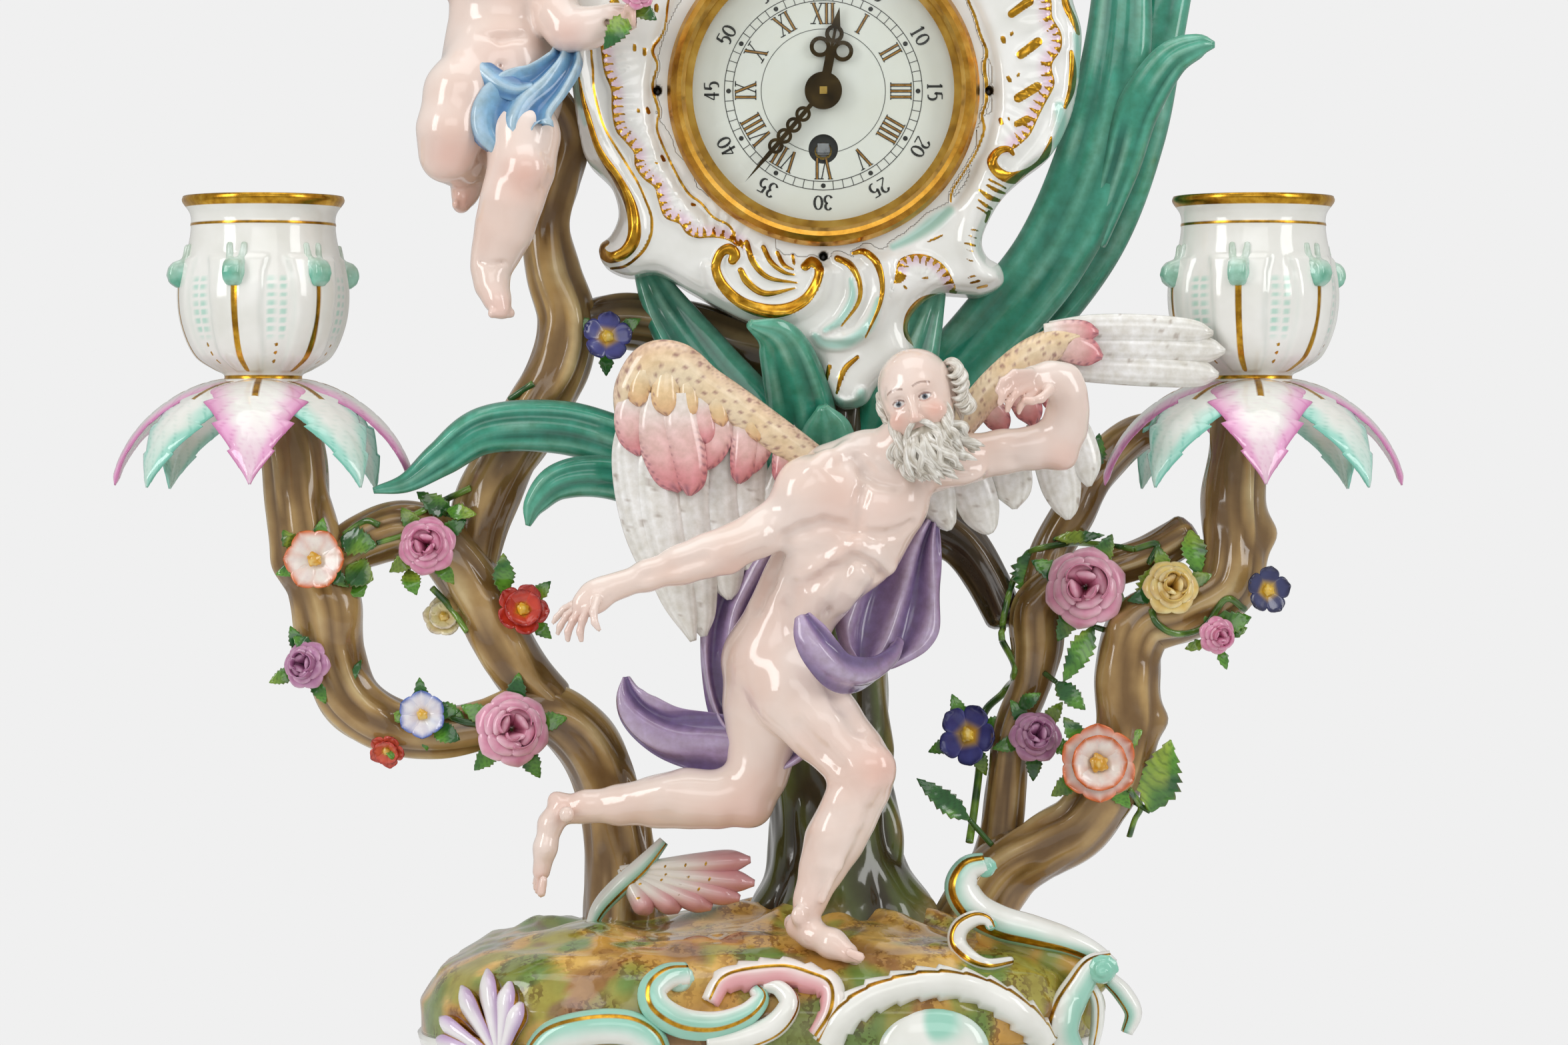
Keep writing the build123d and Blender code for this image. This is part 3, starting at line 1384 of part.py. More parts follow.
def gear(at, back, thickness, teeth, module, phase):
    """A spur wheel with one tooth centred at its phase."""
    pitch_radius = module * teeth / 2
    root_radius = pitch_radius - dedendum_share * module
    tip_radius = pitch_radius + addendum_share * module
    pitch = 360 / teeth
    corners = []
    for tooth in range(teeth):
        middle = phase + tooth * pitch
        flanks = ((root_radius, -0.30), (tip_radius, -0.11), (tip_radius, 0.11), (root_radius, 0.30))
        for radius, offset in flanks:
            corners.append(around(radius, middle + offset * pitch))
    with BuildPart() as wheel:
        with BuildSketch(front_plane(at, back)):
            Polygon(*corners, align=None)
        extrude(amount=thickness)
    return wheel.part


def mesh_phase(direction, phase, teeth, other_teeth):
    """The phase of a wheel that puts its gap over a tooth of the wheel that it meshes with."""
    place_in_pitch = (direction - phase) * teeth / 360
    return direction + 180 - (0.5 - place_in_pitch) * 360 / other_teeth


# Motion work between the dial and the front plate
cannon_length = 1.3
wheel_gap = 0.3  # between wheels that pass over each other
pinion_gap = 0.4  # from a plate to a pinion
stud_reach = 1.2  # how far the stud stands past the minute wheel
pinion_shortening = 0.2
cannon_back = plate_front + pinion_gap
hour_wheel_back = cannon_back + cannon_length + wheel_gap
hour_wheel_thickness = 1.0
minute_phase = mesh_phase(motion_angle, 0, cannon_teeth, minute_wheel_teeth)
hour_phase = mesh_phase(motion_angle + 180, 0, minute_pinion_teeth, hour_wheel_teeth)
cannon_radius = 1.9
stud_radius = 0.9
rod = arbor_radius + fit_clearance
minute_thickness = cannon_length - pinion_shortening
minute_pinion_length = cannon_length + hour_wheel_thickness + wheel_gap
minute_wheel = cut(
    joined(
        gear(minute_wheel_at, cannon_back, minute_thickness, minute_wheel_teeth, motion_module, minute_phase),
        gear(minute_wheel_at, cannon_back, minute_pinion_length, minute_pinion_teeth, hour_module, 0),
    ),
    disc(*minute_wheel_at, cannon_back - overrun, 0, stud_radius + fit_clearance),
)
hour_wheel = cut(
    joined(
        gear((0, 0), hour_wheel_back, hour_wheel_thickness, hour_wheel_teeth, hour_module, hour_phase),
        disc(0, 0, hour_wheel_back, hour_hand_back + hand_thickness, pipe_radius),
    ),
    disc(0, 0, hour_wheel_back - overrun, hour_hand_back + overrun, cannon_radius + fit_clearance),
)

# Centre arbor with its cannon pinion, wheel and pinion
centre_front = minute_hand_back + hand_thickness
centre_wheel_gap = 1.0  # from the back plate to the centre wheel
centre_pinion_gap = 3.2
centre_pinion_length = 2.4
centre_wheel_back = rear_plate_front + centre_wheel_gap
centre_pinion_back = rear_plate_front + centre_pinion_gap
square_corner = centre_square / math.sqrt(2)
centre_wheel = joined(
    disc(0, 0, rear_plate_back, minute_hand_back, arbor_radius),
    disc(0, 0, minute_hand_back - hand_thickness, centre_front + hand_thickness, square_corner, 0, 4),
    disc(0, 0, cannon_back, minute_hand_back, cannon_radius),
    gear((0, 0), cannon_back, cannon_length, cannon_teeth, motion_module, 0),
    gear((0, 0), centre_wheel_back, wheel_thickness, centre_wheel_teeth, train_module, 0),
    gear((0, 0), centre_pinion_back, centre_pinion_length, centre_pinion_teeth, barrel_module, 0),
)

# Mainspring barrel on the winding arbor
barrel_wall_radius = 13.4
barrel_gap = 0.5  # from the pinion's end to the barrel's wheel
barrel_cover_gap = 0.8
barrel_back = centre_pinion_back + barrel_gap
barrel_front = plate_back - barrel_cover_gap
barrel_phase = mesh_phase(-90, 0, centre_pinion_teeth, barrel_teeth)
winding_radius = 2.2
mainspring_barrel = cut(
    joined(
        gear(barrel_at, barrel_back, wheel_thickness, barrel_teeth, barrel_module, barrel_phase),
        disc(*barrel_at, barrel_back, barrel_front, barrel_wall_radius, 0, 24),
    ),
    disc(*barrel_at, barrel_back - overrun, barrel_front + overrun, winding_radius + fit_clearance),
)
ratchet_teeth = 24
ratchet_radius = 6.4
ratchet_root_share = 0.86
ratchet_flank_share = 0.16
arbor_end = 1.0  # how far the arbor stands past its bearings
square_recess = 0.6  # from the dial's face to the end of the square
ratchet_back = rear_plate_back - pinion_gap - wheel_thickness
winding_front = dial_front - square_recess
winding_arbor = joined(
    disc(*barrel_at, ratchet_back - arbor_end, plate_front + arbor_end, winding_radius),
    disc(*barrel_at, plate_front, winding_front, winding_square / math.sqrt(2), 0, 4),
)
ratchet_corners = []
for tooth in range(ratchet_teeth):
    ratchet_corners.append(around(ratchet_radius, tooth * 360 / ratchet_teeth))
    ratchet_root = ratchet_radius * ratchet_root_share
    ratchet_corners.append(around(ratchet_root, (tooth + ratchet_flank_share) * 360 / ratchet_teeth))
with BuildPart() as ratchet_wheel:
    with BuildSketch(front_plane(barrel_at, ratchet_back)):
        Polygon(*ratchet_corners, align=None)
        Circle(winding_radius, mode=Mode.SUBTRACT)
    extrude(amount=wheel_thickness)

# The click, whose beak stands just clear of the ratchet's teeth
click_stud_radius = 0.9
click_radius = 2.0
click_distance = 4.0  # from the ratchet's tips to the click's stud
click_gap = 0.35  # from the ratchet's tips to the beak
click_heel_gap = 1.9
click_tail = 1.8
click_at = around(ratchet_radius + click_distance, 150, barrel_at)
click_beak = around(ratchet_radius + click_gap, 124, barrel_at)
click_heel = around(ratchet_radius + click_heel_gap, 128, barrel_at)
with BuildPart() as click:
    with BuildSketch(front_plane(dial_middle, ratchet_back)):
        with Locations(click_at):
            Circle(click_radius)
        Polygon(
            around(click_tail, 240, click_at),
            click_beak,
            click_heel,
            around(click_tail, 60, click_at),
            align=None,
        )
        with Locations(click_at):
            Circle(click_stud_radius + fit_clearance, mode=Mode.SUBTRACT)
    extrude(amount=wheel_thickness)

# Third wheel, escape wheel, pallet fork and balance
third_phase = mesh_phase(third_angle, 0, centre_wheel_teeth, third_pinion_teeth)
third_wheel_gap = 5.0  # from the front plate to the third wheel
third_pinion_length = 1.6
third_pinion_gap = 0.8
pivot_radius = 0.6
third_wheel_back = plate_back - third_wheel_gap
third_pinion_back = rear_plate_front + third_pinion_gap
third_wheel = joined(
    disc(*third_at, rear_plate_back, plate_front, pivot_radius),
    disc(*third_at, rear_plate_front + pinion_gap, plate_back - pinion_gap, arbor_radius),
    gear(third_at, third_pinion_back, third_pinion_length, third_pinion_teeth, train_module, third_phase),
    gear(third_at, third_wheel_back, wheel_thickness, third_wheel_teeth, train_module, 0),
)
escape_phase = mesh_phase(escape_angle, 0, third_wheel_teeth, escape_pinion_teeth)
escape_radius = 5.6
escape_root_share = 0.72
escape_flank_shares = (0.2, 0.8)
escape_thickness = 0.8
escape_gap = 2.4  # from the back plate to the escape wheel's back
cock_gap = 6.6  # from the back plate to the cock
escape_back = rear_plate_back - escape_gap
cock_front = rear_plate_back - cock_gap
cock_back = cock_front - plate_thickness
escape_corners = []
for tooth in range(escape_teeth):
    escape_corners.append(around(escape_radius, tooth * 360 / escape_teeth))
    for flank in escape_flank_shares:
        escape_corners.append(around(escape_radius * escape_root_share, (tooth + flank) * 360 / escape_teeth))
with BuildPart() as escape_wheel:
    add(disc(*escape_at, cock_back, plate_front, pivot_radius))
    add(disc(*escape_at, rear_plate_front + pinion_gap, plate_back - pinion_gap, arbor_radius))
    pinion_back = third_wheel_back - wheel_gap
    pinion_length = wheel_thickness + 2 * wheel_gap
    add(gear(escape_at, pinion_back, pinion_length, escape_pinion_teeth, train_module, escape_phase))
    with BuildSketch(front_plane(escape_at, escape_back)):
        Polygon(*escape_corners, align=None)
    extrude(amount=escape_thickness)
pallet_gap = 0.5  # from the escape wheel's tips to the pallets
pallet_depth = 1.5
fork_half_width = 1.6
fork_throat = 1.5
fork_reach = 4.6
with BuildPart() as pallet_fork:
    with BuildSketch(front_plane(dial_middle, escape_back)):
        Polygon(
            around(escape_radius + pallet_gap, 32, escape_at),
            around(escape_radius + pallet_depth, 34, escape_at),
            around(fork_half_width, 90, pallet_at),
            around(fork_reach, -24, pallet_at),
            around(fork_reach, -36, pallet_at),
            around(fork_half_width, 270, pallet_at),
            around(escape_radius + pallet_depth, -34, escape_at),
            around(escape_radius + pallet_gap, -32, escape_at),
            around(fork_throat, 180, pallet_at),
            align=None,
        )
    extrude(amount=escape_thickness)
    add(disc(*pallet_at, cock_back, rear_plate_front, pivot_radius))
balance_radius = 7.0
balance_gap = 2.6  # from the escape wheel's back to the balance's
balance_rim_width = 1.0
balance_arm_width = 1.2
balance_hub_radius = 1.6
balance_thickness = 0.9
balance_back = escape_back - balance_gap
with BuildPart() as balance_wheel:
    with BuildSketch(front_plane(balance_at, balance_back)):
        Circle(balance_radius)
        Circle(balance_radius - balance_rim_width, mode=Mode.SUBTRACT)
        Rectangle(2 * balance_radius - balance_rim_width, balance_arm_width)
        Circle(balance_hub_radius)
    extrude(amount=balance_thickness)
    add(disc(*balance_at, cock_back, rear_plate_front, pivot_radius))

# Plates, with the holes that the arbors run in
plate_holes = [
    disc(0, 0, rear_plate_back - overrun, plate_front + overrun, rod),
    disc(*barrel_at, rear_plate_back - overrun, plate_front + overrun, winding_radius + fit_clearance),
    disc(*third_at, rear_plate_back - overrun, plate_front + overrun, pivot_radius + fit_clearance),
    disc(*escape_at, rear_plate_back - overrun, plate_front + overrun, pivot_radius + fit_clearance),
]
pillar_circle = 26.5
pillar_radius = 2.4
pillar_angles = (20, 105, 200, 320)
screw_circle = 36.0
movement_screw_radius = 1.1
screw_places = [around(screw_circle, 45 + turn * 90) for turn in range(4)]
screw_head_height = 0.9
screw_head_radius = 1.9
screw_reach = 4.0  # from the plate's back into the case
pillars = []
for angle in pillar_angles:
    pillars.append(disc(*around(pillar_circle, angle), rear_plate_front, plate_back, pillar_radius))
front_plate = cut(
    joined(
        disc(0, 0, plate_back, plate_front, plate_radius),
        disc(*minute_wheel_at, plate_front, cannon_back + cannon_length + stud_reach, stud_radius),
        *pillars,
    ),
    *plate_holes,
    *[disc(*spot, plate_back - overrun, plate_front + overrun, movement_screw_radius) for spot in screw_places],
)
back_plate = cut(
    joined(
        disc(0, 0, rear_plate_back, rear_plate_front, back_plate_radius),
        disc(*click_at, ratchet_back, rear_plate_back, click_stud_radius),
    ),
    *plate_holes,
    disc(*pallet_at, rear_plate_back - overrun, plate_front, pivot_radius + fit_clearance),
    disc(*balance_at, rear_plate_back - overrun, plate_front, pivot_radius + fit_clearance),
)
cock_escape_reach = 9.6
cock_balance_reach = 11.6
cock_feet = (around(cock_escape_reach, 168, escape_at), around(cock_balance_reach, -35, balance_at))
cock_foot_radius = 2.2
cock_places = (cock_feet[0], escape_at, pallet_at, balance_at, cock_feet[1])
with BuildPart() as balance_cock:
    for start, end in zip(cock_places, cock_places[1:]):
        middle = ((start[0] + end[0]) / 2, (start[1] + end[1]) / 2)
        length = math.dist(start, end)
        angle = math.degrees(math.atan2(end[1] - start[1], end[0] - start[0]))
        with BuildSketch(front_plane(dial_middle, cock_back)):
            with Locations(Location(middle, angle)):
                SlotCenterToCenter(length, 2 * cock_foot_radius)
        extrude(amount=plate_thickness)
    for foot in cock_feet:
        add(disc(*foot, cock_front, rear_plate_back, cock_foot_radius))
    for bearing in cock_places[1:-1]:
        bearing_hole = disc(*bearing, cock_back - overrun, cock_front + overrun, pivot_radius + fit_clearance)
        add(bearing_hole, mode=Mode.SUBTRACT)
movement_screws = []
for screw_at in screw_places:
    head = disc(*screw_at, plate_front, plate_front + screw_head_height, screw_head_radius)
    shank = disc(*screw_at, plate_back - screw_reach, plate_front, movement_screw_radius)
    movement_screws.append(joined(head, shank))

# Rear cover, hinged at one side of the case's back
back_face = -case_depth
cover_hinge_across = cover_radius + knuckle_radius + seat_gap
cover_hinge_back = back_face - knuckle_radius - seat_gap
cover_pin_length = 24.0
cover_pin_start = dial_centre + Vector(-cover_hinge_across, -cover_hinge_back, -cover_pin_length / 2)
cover_pin = Plane(cover_pin_start, z_dir=(0, 0, 1))
cover_knuckle = 7.0
cover_tab_share = 0.1
cover_knob_share = 0.55
cover_knob_radius = 2.4
with BuildPart() as rear_cover:
    add(disc(0, 0, back_face - seat_gap - cover_thickness, back_face - seat_gap, cover_radius))
    with BuildSketch(cover_pin.offset((cover_pin_length - cover_knuckle) / 2)):
        Circle(knuckle_radius)
        with Locations((cover_radius * cover_tab_share, -knuckle_radius + cover_thickness / 2)):
            Rectangle(2 * cover_radius * cover_tab_share + knuckle_radius, cover_thickness)
    extrude(amount=cover_knuckle)
    with BuildSketch(cover_pin):
        Circle(hinge_pin_radius + fit_clearance)
    extrude(amount=cover_pin_length, mode=Mode.SUBTRACT)
    knob_back = back_face - 5 * cover_thickness
    add(disc(0, cover_radius * cover_knob_share, knob_back, back_face - cover_thickness, cover_knob_radius))
with BuildPart() as rear_hinge_pin:
    with BuildSketch(cover_pin):
        Circle(hinge_pin_radius)
    extrude(amount=cover_pin_length)
with BuildPart() as rear_hinge_leaf:
    with BuildSketch(cover_pin):
        Circle(knuckle_radius)
        with Locations((-knuckle_radius * 2, -knuckle_radius - seat_gap + leaf_thickness / 2)):
            Rectangle(4 * knuckle_radius, leaf_thickness)
    extrude(amount=cover_pin_length)
    with BuildSketch(cover_pin.offset((cover_pin_length - cover_knuckle) / 2 - seat_gap)):
        Rectangle(12 * knuckle_radius, 4 * knuckle_radius)
    extrude(amount=cover_knuckle + 2 * seat_gap, mode=Mode.SUBTRACT)
    with BuildSketch(cover_pin):
        Circle(hinge_pin_radius)
    extrude(amount=cover_pin_length, mode=Mode.SUBTRACT)
with BuildPart() as bored_case:
    add(clock_case.part)
    for screw_at in screw_places:
        screw_hole = disc(*screw_at, plate_back - screw_reach, plate_front, movement_screw_radius)
        add(screw_hole, mode=Mode.SUBTRACT)

nodes = {
    "base_plinth": base_plinth.part,
    "base_mound": base_mound.part,
    "base_scrolls": base_scrolls,
    "tree_trunk": tree_trunk,
    "left_candle_arm": left_candle_arm,
    "right_candle_arm": right_candle_arm,
    "left_loop_branch": left_loop_branch,
    "left_upright_branch": left_upright_branch,
    "left_cross_branch": left_cross_branch,
    "right_stem_branch": right_stem_branch,
    "right_rear_branch": right_rear_branch,
    "right_hoop_branch": right_hoop_branch,
    "tall_reeds": tall_reeds,
    "short_reeds": short_reeds,
    "left_drip_pan": left_drip_pan,
    "right_drip_pan": right_drip_pan,
    "left_candle_cup": left_candle_cup,
    "right_candle_cup": right_candle_cup,
    "cup_bolts": Compound(cup_bolts),
    "arm_bushes": Compound(arm_bushes),
    "clock_case": bored_case.part,
    "case_scrolls": case_scrolls,
    "time_torso": time_torso,
    "time_head": time_head,
    "time_right_arm": time_right_arm,
    "time_left_arm": time_left_arm,
    "time_front_leg": time_front_leg,
    "time_rear_leg": time_rear_leg,
    "time_left_wing": left_wing,
    "time_right_wing": right_wing,
    "time_drape": time_drape,
    "putto_body": putto_body,
    "putto_limbs": putto_limbs,
    "putto_drape": putto_drape,
    "roses": roses,
    "open_flowers": open_flowers,
    "foliage": foliage,
    "bezel": bezel.part,
    "bezel_glass": bezel_glass,
    "hinge_pins": Compound([bezel_hinge_pin.part, rear_hinge_pin.part]),
    "hinge_leaves": Compound([bezel_hinge_leaf.part, rear_hinge_leaf.part]),
    "dial": dial,
    "hour_hand": hour_hand.part,
    "minute_hand": minute_hand.part,
    "front_plate": front_plate,
    "back_plate": back_plate,
    "movement_screws": Compound(movement_screws),
    "mainspring_barrel": mainspring_barrel,
    "winding_arbor": winding_arbor,
    "ratchet_wheel": ratchet_wheel.part,
    "click": click.part,
    "centre_wheel": centre_wheel,
    "minute_wheel": minute_wheel,
    "hour_wheel": hour_wheel,
    "third_wheel": third_wheel,
    "escape_wheel": escape_wheel.part,
    "pallet_fork": pallet_fork.part,
    "balance_wheel": balance_wheel.part,
    "balance_cock": balance_cock.part,
    "rear_cover": rear_cover.part,
}
for name, solid in nodes.items():
    solid.label = name
    export_step(solid, f"parts/{name}.step")
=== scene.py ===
"""A glazed porcelain figural clock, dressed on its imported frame: sizes in mm until a mesh is made.

Pieces are set out in the front view as (across, down, depth): a point of the 2352 x 1568 picture and
how far it stands behind the middle of the clock, in mm. `at` turns that into a place in the frame.
"""

import json
import math

import bpy
import numpy as np
from mathutils import Matrix, Vector
from mathutils.bvhtree import BVHTree


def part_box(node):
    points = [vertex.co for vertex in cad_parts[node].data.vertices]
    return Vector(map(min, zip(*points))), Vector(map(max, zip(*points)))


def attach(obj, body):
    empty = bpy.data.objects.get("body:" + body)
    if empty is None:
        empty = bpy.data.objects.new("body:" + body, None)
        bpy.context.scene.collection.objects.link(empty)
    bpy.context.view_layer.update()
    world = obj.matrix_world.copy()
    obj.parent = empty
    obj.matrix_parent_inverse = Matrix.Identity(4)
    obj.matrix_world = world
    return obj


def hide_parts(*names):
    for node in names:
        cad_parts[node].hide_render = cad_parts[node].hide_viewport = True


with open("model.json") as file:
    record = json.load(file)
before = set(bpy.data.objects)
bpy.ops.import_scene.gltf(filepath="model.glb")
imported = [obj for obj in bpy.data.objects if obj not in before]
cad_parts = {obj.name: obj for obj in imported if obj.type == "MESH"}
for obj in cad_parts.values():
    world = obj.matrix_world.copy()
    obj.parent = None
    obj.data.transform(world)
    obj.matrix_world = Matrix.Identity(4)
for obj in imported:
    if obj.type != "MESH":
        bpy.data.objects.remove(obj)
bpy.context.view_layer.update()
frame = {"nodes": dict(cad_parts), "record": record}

MM = 0.001
PICTURE_MIDDLE = (1176, 784)
VIEW_DISTANCE = 1800.0
PICTURE_SCALE = 0.21
VIEW_AXIS = (8.085, 222.01)


def at(across, down, depth=0.0):
    """The place, in mm, of a point of the front view that stands this far back."""
    near = 1 + depth / VIEW_DISTANCE
    return np.array(
        (
            VIEW_AXIS[0] + (across - PICTURE_MIDDLE[0]) * PICTURE_SCALE * near, depth,
            VIEW_AXIS[1] + (PICTURE_MIDDLE[1] - down) * PICTURE_SCALE * near
        )
    )


def colour(code):
    """An sRGB hex colour as linear light."""
    shares = [int(code[start : start + 2], 16) / 255 for start in (0, 2, 4)]
    linear = [
        share / 12.92 if share <= 0.04045 else ((share + 0.055) / 1.055) ** 2.4 for share in shares
    ]
    return (*linear, 1.0)


def shade(code):
    """A hex colour as three linear values for painting."""
    return np.array(colour(code)[:3])


# Materials
def node(material, kind, settings=None, links=None):
    """Add one node: settings name its properties or input sockets, links its input sockets' sources."""
    tree = material.node_tree
    made = tree.nodes.new(kind)
    for key, value in (settings or {}).items():
        if isinstance(key, int) or key in made.inputs:
            made.inputs[key].default_value = value
        else:
            setattr(made, key, value)
    for key, source in (links or {}).items():
        tree.links.new(source, made.inputs[key])
    return made


def blank(name):
    """A material with nothing but its output."""
    material = bpy.data.materials.new(name)
    material.use_nodes = True
    material.node_tree.nodes.clear()
    return material


def close(material, surface):
    """Join a shader to the material's output."""
    node(material, "ShaderNodeOutputMaterial", links={"Surface": surface})


def ramp(material, factor, stops):
    """A colour ramp of (place, hex) stops."""
    made = node(material, "ShaderNodeValToRGB", links={"Fac": factor})
    band = made.color_ramp
    while len(band.elements) < len(stops):
        band.elements.new(0.5)
    for element, (place, code) in zip(band.elements, stops):
        element.position = place
        element.color = colour(code)
    return made.outputs["Color"]


def noise(material, where, size_mm, **settings):
    """Cloudy values from 0 to 1 that change over size_mm."""
    made = node(
        material, "ShaderNodeTexNoise", {"Scale": 1 / (size_mm * MM), **settings}, {"Vector": where}
    )
    return made.outputs["Fac"]


def ranged(material, value, settings):
    """A value moved from one range to another."""
    return node(material, "ShaderNodeMapRange", settings, {"Value": value}).outputs["Result"]


def bumps(material, height, strength, distance_mm):
    """Normals tilted by the slope of a height."""
    made = node(
        material, "ShaderNodeBump", {"Strength": strength, "Distance": distance_mm * MM},
        {"Height": height}
    )
    return made.outputs["Normal"]


def multiplied(material, share, first, second):
    """Two colours multiplied; share is a number or another node's output."""
    settings = {"data_type": "RGBA", "blend_type": "MULTIPLY"}
    links = {6: first, 7: second}
    (settings if isinstance(share, float) else links)[0] = share
    return node(material, "ShaderNodeMix", settings, links).outputs[2]


HATCH_PITCH = 2.6


def glaze(
    name, stops, patch_mm=14.0, painted=False, gloss=0.10, ripple=0.05, gilded=False, hatched=False
):
    """Fired glaze: a hard clear coat over brushed enamel colours, which pool and thin in patches."""
    material = blank(name)
    where = node(material, "ShaderNodeTexCoord").outputs["Object"]
    patches = noise(material, where, patch_mm, Detail=3.0, Roughness=0.55)
    tone = ramp(material, patches, stops)
    if painted:
        paint = node(material, "ShaderNodeAttribute", {"attribute_name": "paint"}).outputs["Color"]
        tone = multiplied(material, 1.0, paint, tone)
    if hatched:
        comb = node(
            material, "ShaderNodeTexWave",
            {
                "Scale": 1 / (HATCH_PITCH * MM) / 6.283, "Distortion": 7.0, "Detail": 2.0,
                "Detail Scale": 0.02 / (HATCH_PITCH * MM)
            },
            {"Vector": where}
        )
        lines = ramp(material, comb.outputs["Fac"], ((0.30, "a88a5c"), (0.55, "ffffff")))
        beds = noise(material, where, 11.0, Detail=2.0)
        share = ranged(material, beds, {"From Min": 0.45, "From Max": 0.6})
        less = node(material, "ShaderNodeMath", {"operation": "MULTIPLY", 1: 0.75}, {0: share})
        tone = multiplied(material, less.outputs[0], tone, lines)
    bump = bumps(material, noise(material, where, 7.0, Detail=2.0), ripple, 1.2)
    matt = ranged(material, patches, {"To Min": gloss * 0.7, "To Max": gloss * 1.5})
    body = node(
        material, "ShaderNodeBsdfPrincipled",
        {"IOR": 1.5, "Coat Weight": 0.5, "Coat Roughness": 0.04, "Specular IOR Level": 0.5},
        {"Base Color": tone, "Roughness": matt, "Normal": bump}
    )
    surface = body.outputs["BSDF"]
    if gilded:
        gilt = node(material, "ShaderNodeAttribute", {"attribute_name": "gilt"}).outputs["Fac"]
        rubbed = noise(material, where, 3.0, Detail=3.0)
        gold_tone = ramp(material, rubbed, ((0.3, "9a6a1c"), (0.55, "c8962f"), (0.8, "e0b650")))
        gold = node(
            material, "ShaderNodeBsdfPrincipled", {"Metallic": 1.0, "Roughness": 0.24},
            {"Base Color": gold_tone, "Normal": bump}
        )
        edge = ranged(material, gilt, {"From Min": 0.35, "From Max": 0.65})
        blend = node(
            material, "ShaderNodeMixShader", links={0: edge, 1: surface, 2: gold.outputs["BSDF"]}
        )
        surface = blend.outputs["Shader"]
    close(material, surface)
    return material


def metal(name, stops, roughness, patch_mm=6.0, grain=0.05):
    """A polished or darkened metal whose tarnish varies in patches."""
    material = blank(name)
    where = node(material, "ShaderNodeTexCoord").outputs["Object"]
    patches = noise(material, where, patch_mm, Detail=5.0, Roughness=0.6)
    tone = ramp(material, patches, stops)
    matt = ranged(material, patches, {"To Min": roughness * 0.6, "To Max": roughness * 1.6})
    bump = bumps(material, noise(material, where, 0.6, Detail=2.0), grain, 0.2)
    body = node(
        material, "ShaderNodeBsdfPrincipled", {"Metallic": 1.0},
        {"Base Color": tone, "Roughness": matt, "Normal": bump}
    )
    close(material, body.outputs["BSDF"])
    return material


def window_glass(name):
    """Clear thin glass for the dial's window, which lets light through to the enamel."""
    material = blank(name)
    where = node(material, "ShaderNodeTexCoord").outputs["Object"]
    haze = noise(material, where, 20.0, Detail=2.0)
    matt = ranged(material, haze, {"To Min": 0.01, "To Max": 0.05})
    clear = node(material, "ShaderNodeBsdfTransparent", {"Color": colour("fbfdfc")})
    gloss = node(material, "ShaderNodeBsdfGlossy", {"Color": colour("ffffff")}, {"Roughness": matt})
    rim = node(material, "ShaderNodeFresnel", {"IOR": 1.35})
    thin = node(material, "ShaderNodeMath", {"operation": "MULTIPLY", 1: 0.35}, {0: rim.outputs["Fac"]})
    blend = node(
        material, "ShaderNodeMixShader",
        links={0: thin.outputs["Value"], 1: clear.outputs["BSDF"], 2: gloss.outputs["BSDF"]}
    )
    close(material, blend.outputs["Shader"])
    return material


white_porcelain = glaze("white_porcelain_glaze", ((0.3, "e9ebe8"), (0.7, "f7f7f4")), 24.0)
painted_porcelain = glaze(
    "painted_porcelain_glaze", ((0.25, "eeeeea"), (0.75, "ffffff")), 16.0, painted=True, gilded=True
)
bark_glaze = glaze(
    "brushed_bark_glaze", ((0.3, "e2dacd"), (0.7, "ffffff")), 9.0, painted=True, gloss=0.12, ripple=0.12
)
flesh_glaze = glaze(
    "flesh_tinted_glaze", ((0.3, "fbf3ee"), (0.7, "ffffff")), 22.0, painted=True, gloss=0.13
)
hair_glaze = glaze("grey_hair_glaze", ((0.3, "e6e3dc"), (0.7, "ffffff")), 3.0, painted=True, gloss=0.16)
leaf_glaze = glaze(
    "leaf_green_glaze", ((0.25, "c8d2c4"), (0.75, "ffffff")), 4.0, painted=True, gloss=0.14, ripple=0.15
)
petal_glaze = glaze("petal_glaze", ((0.25, "eadce2"), (0.75, "ffffff")), 4.0, painted=True, gloss=0.2)
mound_glaze = glaze(
    "grassy_mound_glaze", ((0.25, "e0d8c4"), (0.7, "ffffff")), 6.0, painted=True, gloss=0.12, ripple=0.2,
    hatched=True
)
gilt_bronze = metal("gilt_bronze", ((0.30, "a8742a"), (0.5, "cf9a3c"), (0.75, "e6bb62")), 0.20)
clock_brass = metal("lacquered_brass", ((0.3, "b08a3c"), (0.7, "d8b462")), 0.28)
polished_steel = metal("polished_steel", ((0.3, "8c8c90"), (0.7, "b4b4b8")), 0.25)
dark_brass = metal("darkened_brass", ((0.3, "2a2014"), (0.6, "4a3a22"), (0.85, "6e5832")), 0.42)
enamel = glaze("white_dial_enamel", ((0.3, "faf8f0"), (0.7, "fffefa")), 18.0, gloss=0.22, ripple=0.02)
gold_ink = glaze(
    "gold_brown_numeral_enamel", ((0.3, "8a5a18"), (0.7, "b98632")), 2.0, gloss=0.25, ripple=0.02
)
black_enamel_and_hole_shade = glaze(
    "fired_black_numeral_enamel_and_painted_hole_shade", ((0.3, "14120f"), (0.7, "2b2721")), 2.0, gloss=0.3, ripple=0.02
)
clear_glass = window_glass("clear_window_glass")


